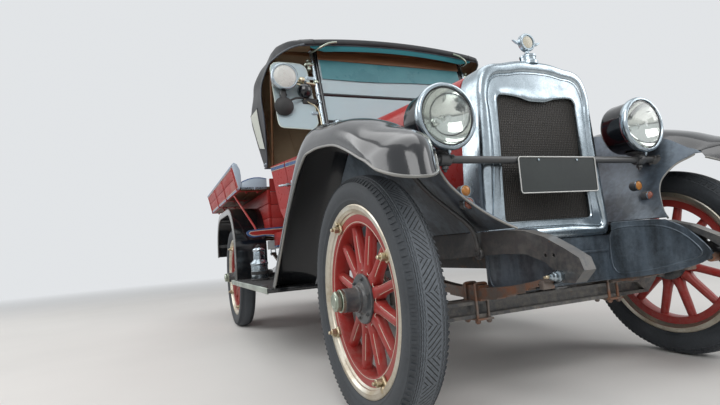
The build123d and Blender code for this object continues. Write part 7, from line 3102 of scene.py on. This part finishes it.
    def _exhaust(self) -> None:
        """Bands round the silencer and clips of the pipe."""
        x, z = self.plan.silencer_x, self.plan.silencer_z
        parts = [Shop.lathe("band", [(0.0605, -0.010), (0.0620, -0.009), (0.0620, 0.009), (0.0605, 0.010),
                                     (0.0590, 0.009), (0.0590, -0.009), (0.0605, -0.010)],
                            car(x, y, z), (0, 1, 0), 48, 40) for y in (1.325, 1.575, 1.825)]
        parts += [Shop.lathe("clip", [(0.0225, -0.012), (0.0260, -0.011), (0.0260, 0.011), (0.0225, 0.012)],
                             car(x, y, z), (0, 1, 0), 32, 40) for y in (0.90, 1.28, 1.87, 2.30)]
        self.fit.put(Shop.join(parts, "bands"), "exhaust_bands", "iron")


# The stage

@dataclass
class Studio:
    """Pale floor, soft lamps and the camera at the photograph's place."""
    camera_at: Point = (-1.3439, -3.0452, 0.5546)
    yaw: float = 23.190
    pitch: float = 5.307
    roll: float = -4.394
    lens: float = 24.009
    floor: Colour = (0.78, 0.76, 0.73)
    backdrop: Colour = (0.76, 0.78, 0.80)
    lamps: tuple[tuple[Point, Point, float, float], ...] = (
        # place, target, size, power
        ((-3.5, -5.5, 5.2), (0.0, -1.2, 0.6), 4.5, 250.0),
        ((5.0, -4.0, 4.0), (0.0, -0.8, 0.7), 4.0, 130.0),
        ((-5.0, 3.0, 4.5), (0.0, 0.5, 0.8), 4.5, 150.0),
        ((0.0, 0.0, 7.0), (0.0, 0.0, 0.0), 6.0, 160.0),
    )

    def build(self) -> None:
        """Make the floor, the world, the lamps and the camera."""
        self._floor()
        self._world()
        for spot, target, size, power in self.lamps:
            self._lamp(spot, target, size, power)
        self._camera()
        bpy.context.scene.view_settings.view_transform = "Standard"

    def _floor(self) -> None:
        """Pale floor with a faint mottle."""
        bpy.ops.mesh.primitive_plane_add(size=60.0, location=(0, 0, 0))
        floor = bpy.context.object
        floor.name = "studio_floor"
        b = ShaderBench("studio_floor")
        tone = b.mix(b.span(b.noise(0.8, 3.0), 0.3, 0.7), self.floor, tuple(0.94 * c for c in self.floor))
        floor.data.materials.append(b.done(Base_Color=tone, Roughness=0.85))
        self._fade(b)

    def _fade(self, b: ShaderBench) -> None:
        """Let the far floor pass into the backdrop's colour, for the camera only.

        Args:
            b: the bench of the floor's material.
        """
        far = b.node("ShaderNodeVectorMath", {"operation": "LENGTH"}, {0: b.place}, out="Value")
        seen = b.node("ShaderNodeLightPath", out="Is Camera Ray")
        glow = b.node("ShaderNodeEmission", None, {"Color": self.backdrop, "Strength": 1.0})
        shown = b.node("ShaderNodeMixShader", None, {0: b.span(far, 4.5, 11.0) * seen})
        made = shown.socket.node
        b.tree.links.new(b.shader.outputs[0], made.inputs[1])
        b.tree.links.new(glow.socket, made.inputs[2])
        b.tree.links.new(made.outputs[0], b.tree.nodes["Material Output"].inputs["Surface"])

    def _world(self) -> None:
        """Soft sky, with the pale backdrop for the camera, reflections and glass."""
        world = bpy.data.worlds.new("studio_world")
        bpy.context.scene.world = world
        world.use_nodes = True
        nodes, links = world.node_tree.nodes, world.node_tree.links
        backdrop = nodes["Background"]
        backdrop.inputs["Color"].default_value = (0.80, 0.84, 0.88, 1)
        backdrop.inputs["Strength"].default_value = 0.30
        seen = nodes.new("ShaderNodeBackground")
        seen.inputs["Color"].default_value = (*self.backdrop, 1)
        seen.inputs["Strength"].default_value = 1.0
        path = nodes.new("ShaderNodeLightPath")
        add = nodes.new("ShaderNodeMath")
        add.operation = "MAXIMUM"
        links.new(path.outputs["Is Camera Ray"], add.inputs[0])
        more = nodes.new("ShaderNodeMath")
        more.operation = "MAXIMUM"
        links.new(path.outputs["Is Glossy Ray"], more.inputs[0])
        links.new(path.outputs["Is Transmission Ray"], more.inputs[1])
        links.new(more.outputs[0], add.inputs[1])
        blend = nodes.new("ShaderNodeMixShader")
        links.new(add.outputs[0], blend.inputs[0])
        links.new(backdrop.outputs[0], blend.inputs[1])
        links.new(seen.outputs[0], blend.inputs[2])
        links.new(blend.outputs[0], nodes["World Output"].inputs["Surface"])

    def _lamp(self, spot: Point, target: Point, size: float, power: float) -> None:
        """Add one area lamp.

        Args:
            spot: its place.
            target: the point it faces.
            size: its side in metres.
            power: its power in watts.
        """
        bpy.ops.object.light_add(type="AREA", location=spot)
        lamp = bpy.context.object
        lamp.data.size = size
        lamp.data.energy = power
        lamp.rotation_euler = (Vector(target) - Vector(spot)).to_track_quat("-Z", "Y").to_euler()

    def _camera(self) -> None:
        """Camera at the photograph's place, with its roll."""
        yaw, pitch, roll = (math.radians(a) for a in (self.yaw, self.pitch, self.roll))
        ahead = Vector((math.sin(yaw) * math.cos(pitch), math.cos(yaw) * math.cos(pitch), math.sin(pitch)))
        right = ahead.cross(Vector((0, 0, 1))).normalized()
        up = right.cross(ahead)
        across = math.cos(roll) * right + math.sin(roll) * up
        upward = math.cos(roll) * up - math.sin(roll) * right
        bpy.ops.object.camera_add()
        camera = bpy.context.object
        camera.data.sensor_width = 36.0
        camera.data.lens = self.lens
        turn = Matrix((across, upward, -ahead)).transposed().to_4x4()
        camera.matrix_world = Matrix.Translation(self.camera_at) @ turn
        bpy.context.scene.camera = camera


NODE_FINISHES = (
    # start of the node's name, finish
    ("wheel", "wheel_red"), ("tyre", "tyre_rubber"), ("front_axle", "frame_dark"), ("knuckle", "frame_dark"),
    ("tie_rod", "frame_dark"), ("frame_rail", "frame_dark"), ("cross_members", "frame_dark"),
    ("front_springs", "spring_steel"), ("rear_springs", "spring_steel"), ("spring_hangers", "nickel"),
    ("rear_axle", "iron"), ("engine", "iron"), ("radiator_shell", "nickel"), ("radiator_core", "core_black"),
    ("radiator_cap", "nickel"), ("hood", "body_red"), ("body_tub", "body_red"), ("door", "body_red"),
    ("seat", "seat_leather"), ("windshield_frame", "fender_black"), ("windshield_glass", "clear_glass"),
    ("canopy", "canopy_cloth"), ("canopy_bows", "bow_wood"), ("fender", "fender_black"),
    ("running_boards", "fender_black"), ("front_apron", "apron_grey"), ("fender_aprons", "apron_grey"),
    ("lamp_bar", "frame_dark"), ("headlamps", "fender_black"), ("headlamp_lenses", "lens_glass"),
    ("front_plate", "plate_black"), ("signal_lamps", "amber_glass"), ("load_bed", "bed_red"),
    ("tailgate", "bed_red"), ("steering_column", "fender_black"), ("steering_wheel", "bow_wood"),
    ("gas_generator", "nickel"), ("spot_lamp", "nickel"), ("exhaust", "iron"),
)

def main() -> None:
    """Load the frame, dress the car and set the stage."""
    logging.basicConfig(level=logging.INFO, format="%(message)s")
    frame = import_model()
    Shop.clear()
    palette = Palette()
    for name, node in frame["nodes"].items():
        finish = max((row for row in NODE_FINISHES if name.startswith(row[0])), key=lambda row: len(row[0]))[1]
        palette.put(node, finish)
    Studio().build()
    fit = Fitter(palette, frame["nodes"])
    for part in (RunningGear, Fenders, FrontEnd, Cab, LoadBed):
        part(fit).build()
        log.info("%s done", part.__name__)
    log.info("%d pieces modelled", fit.count)


if __name__ == "__main__":
    main()
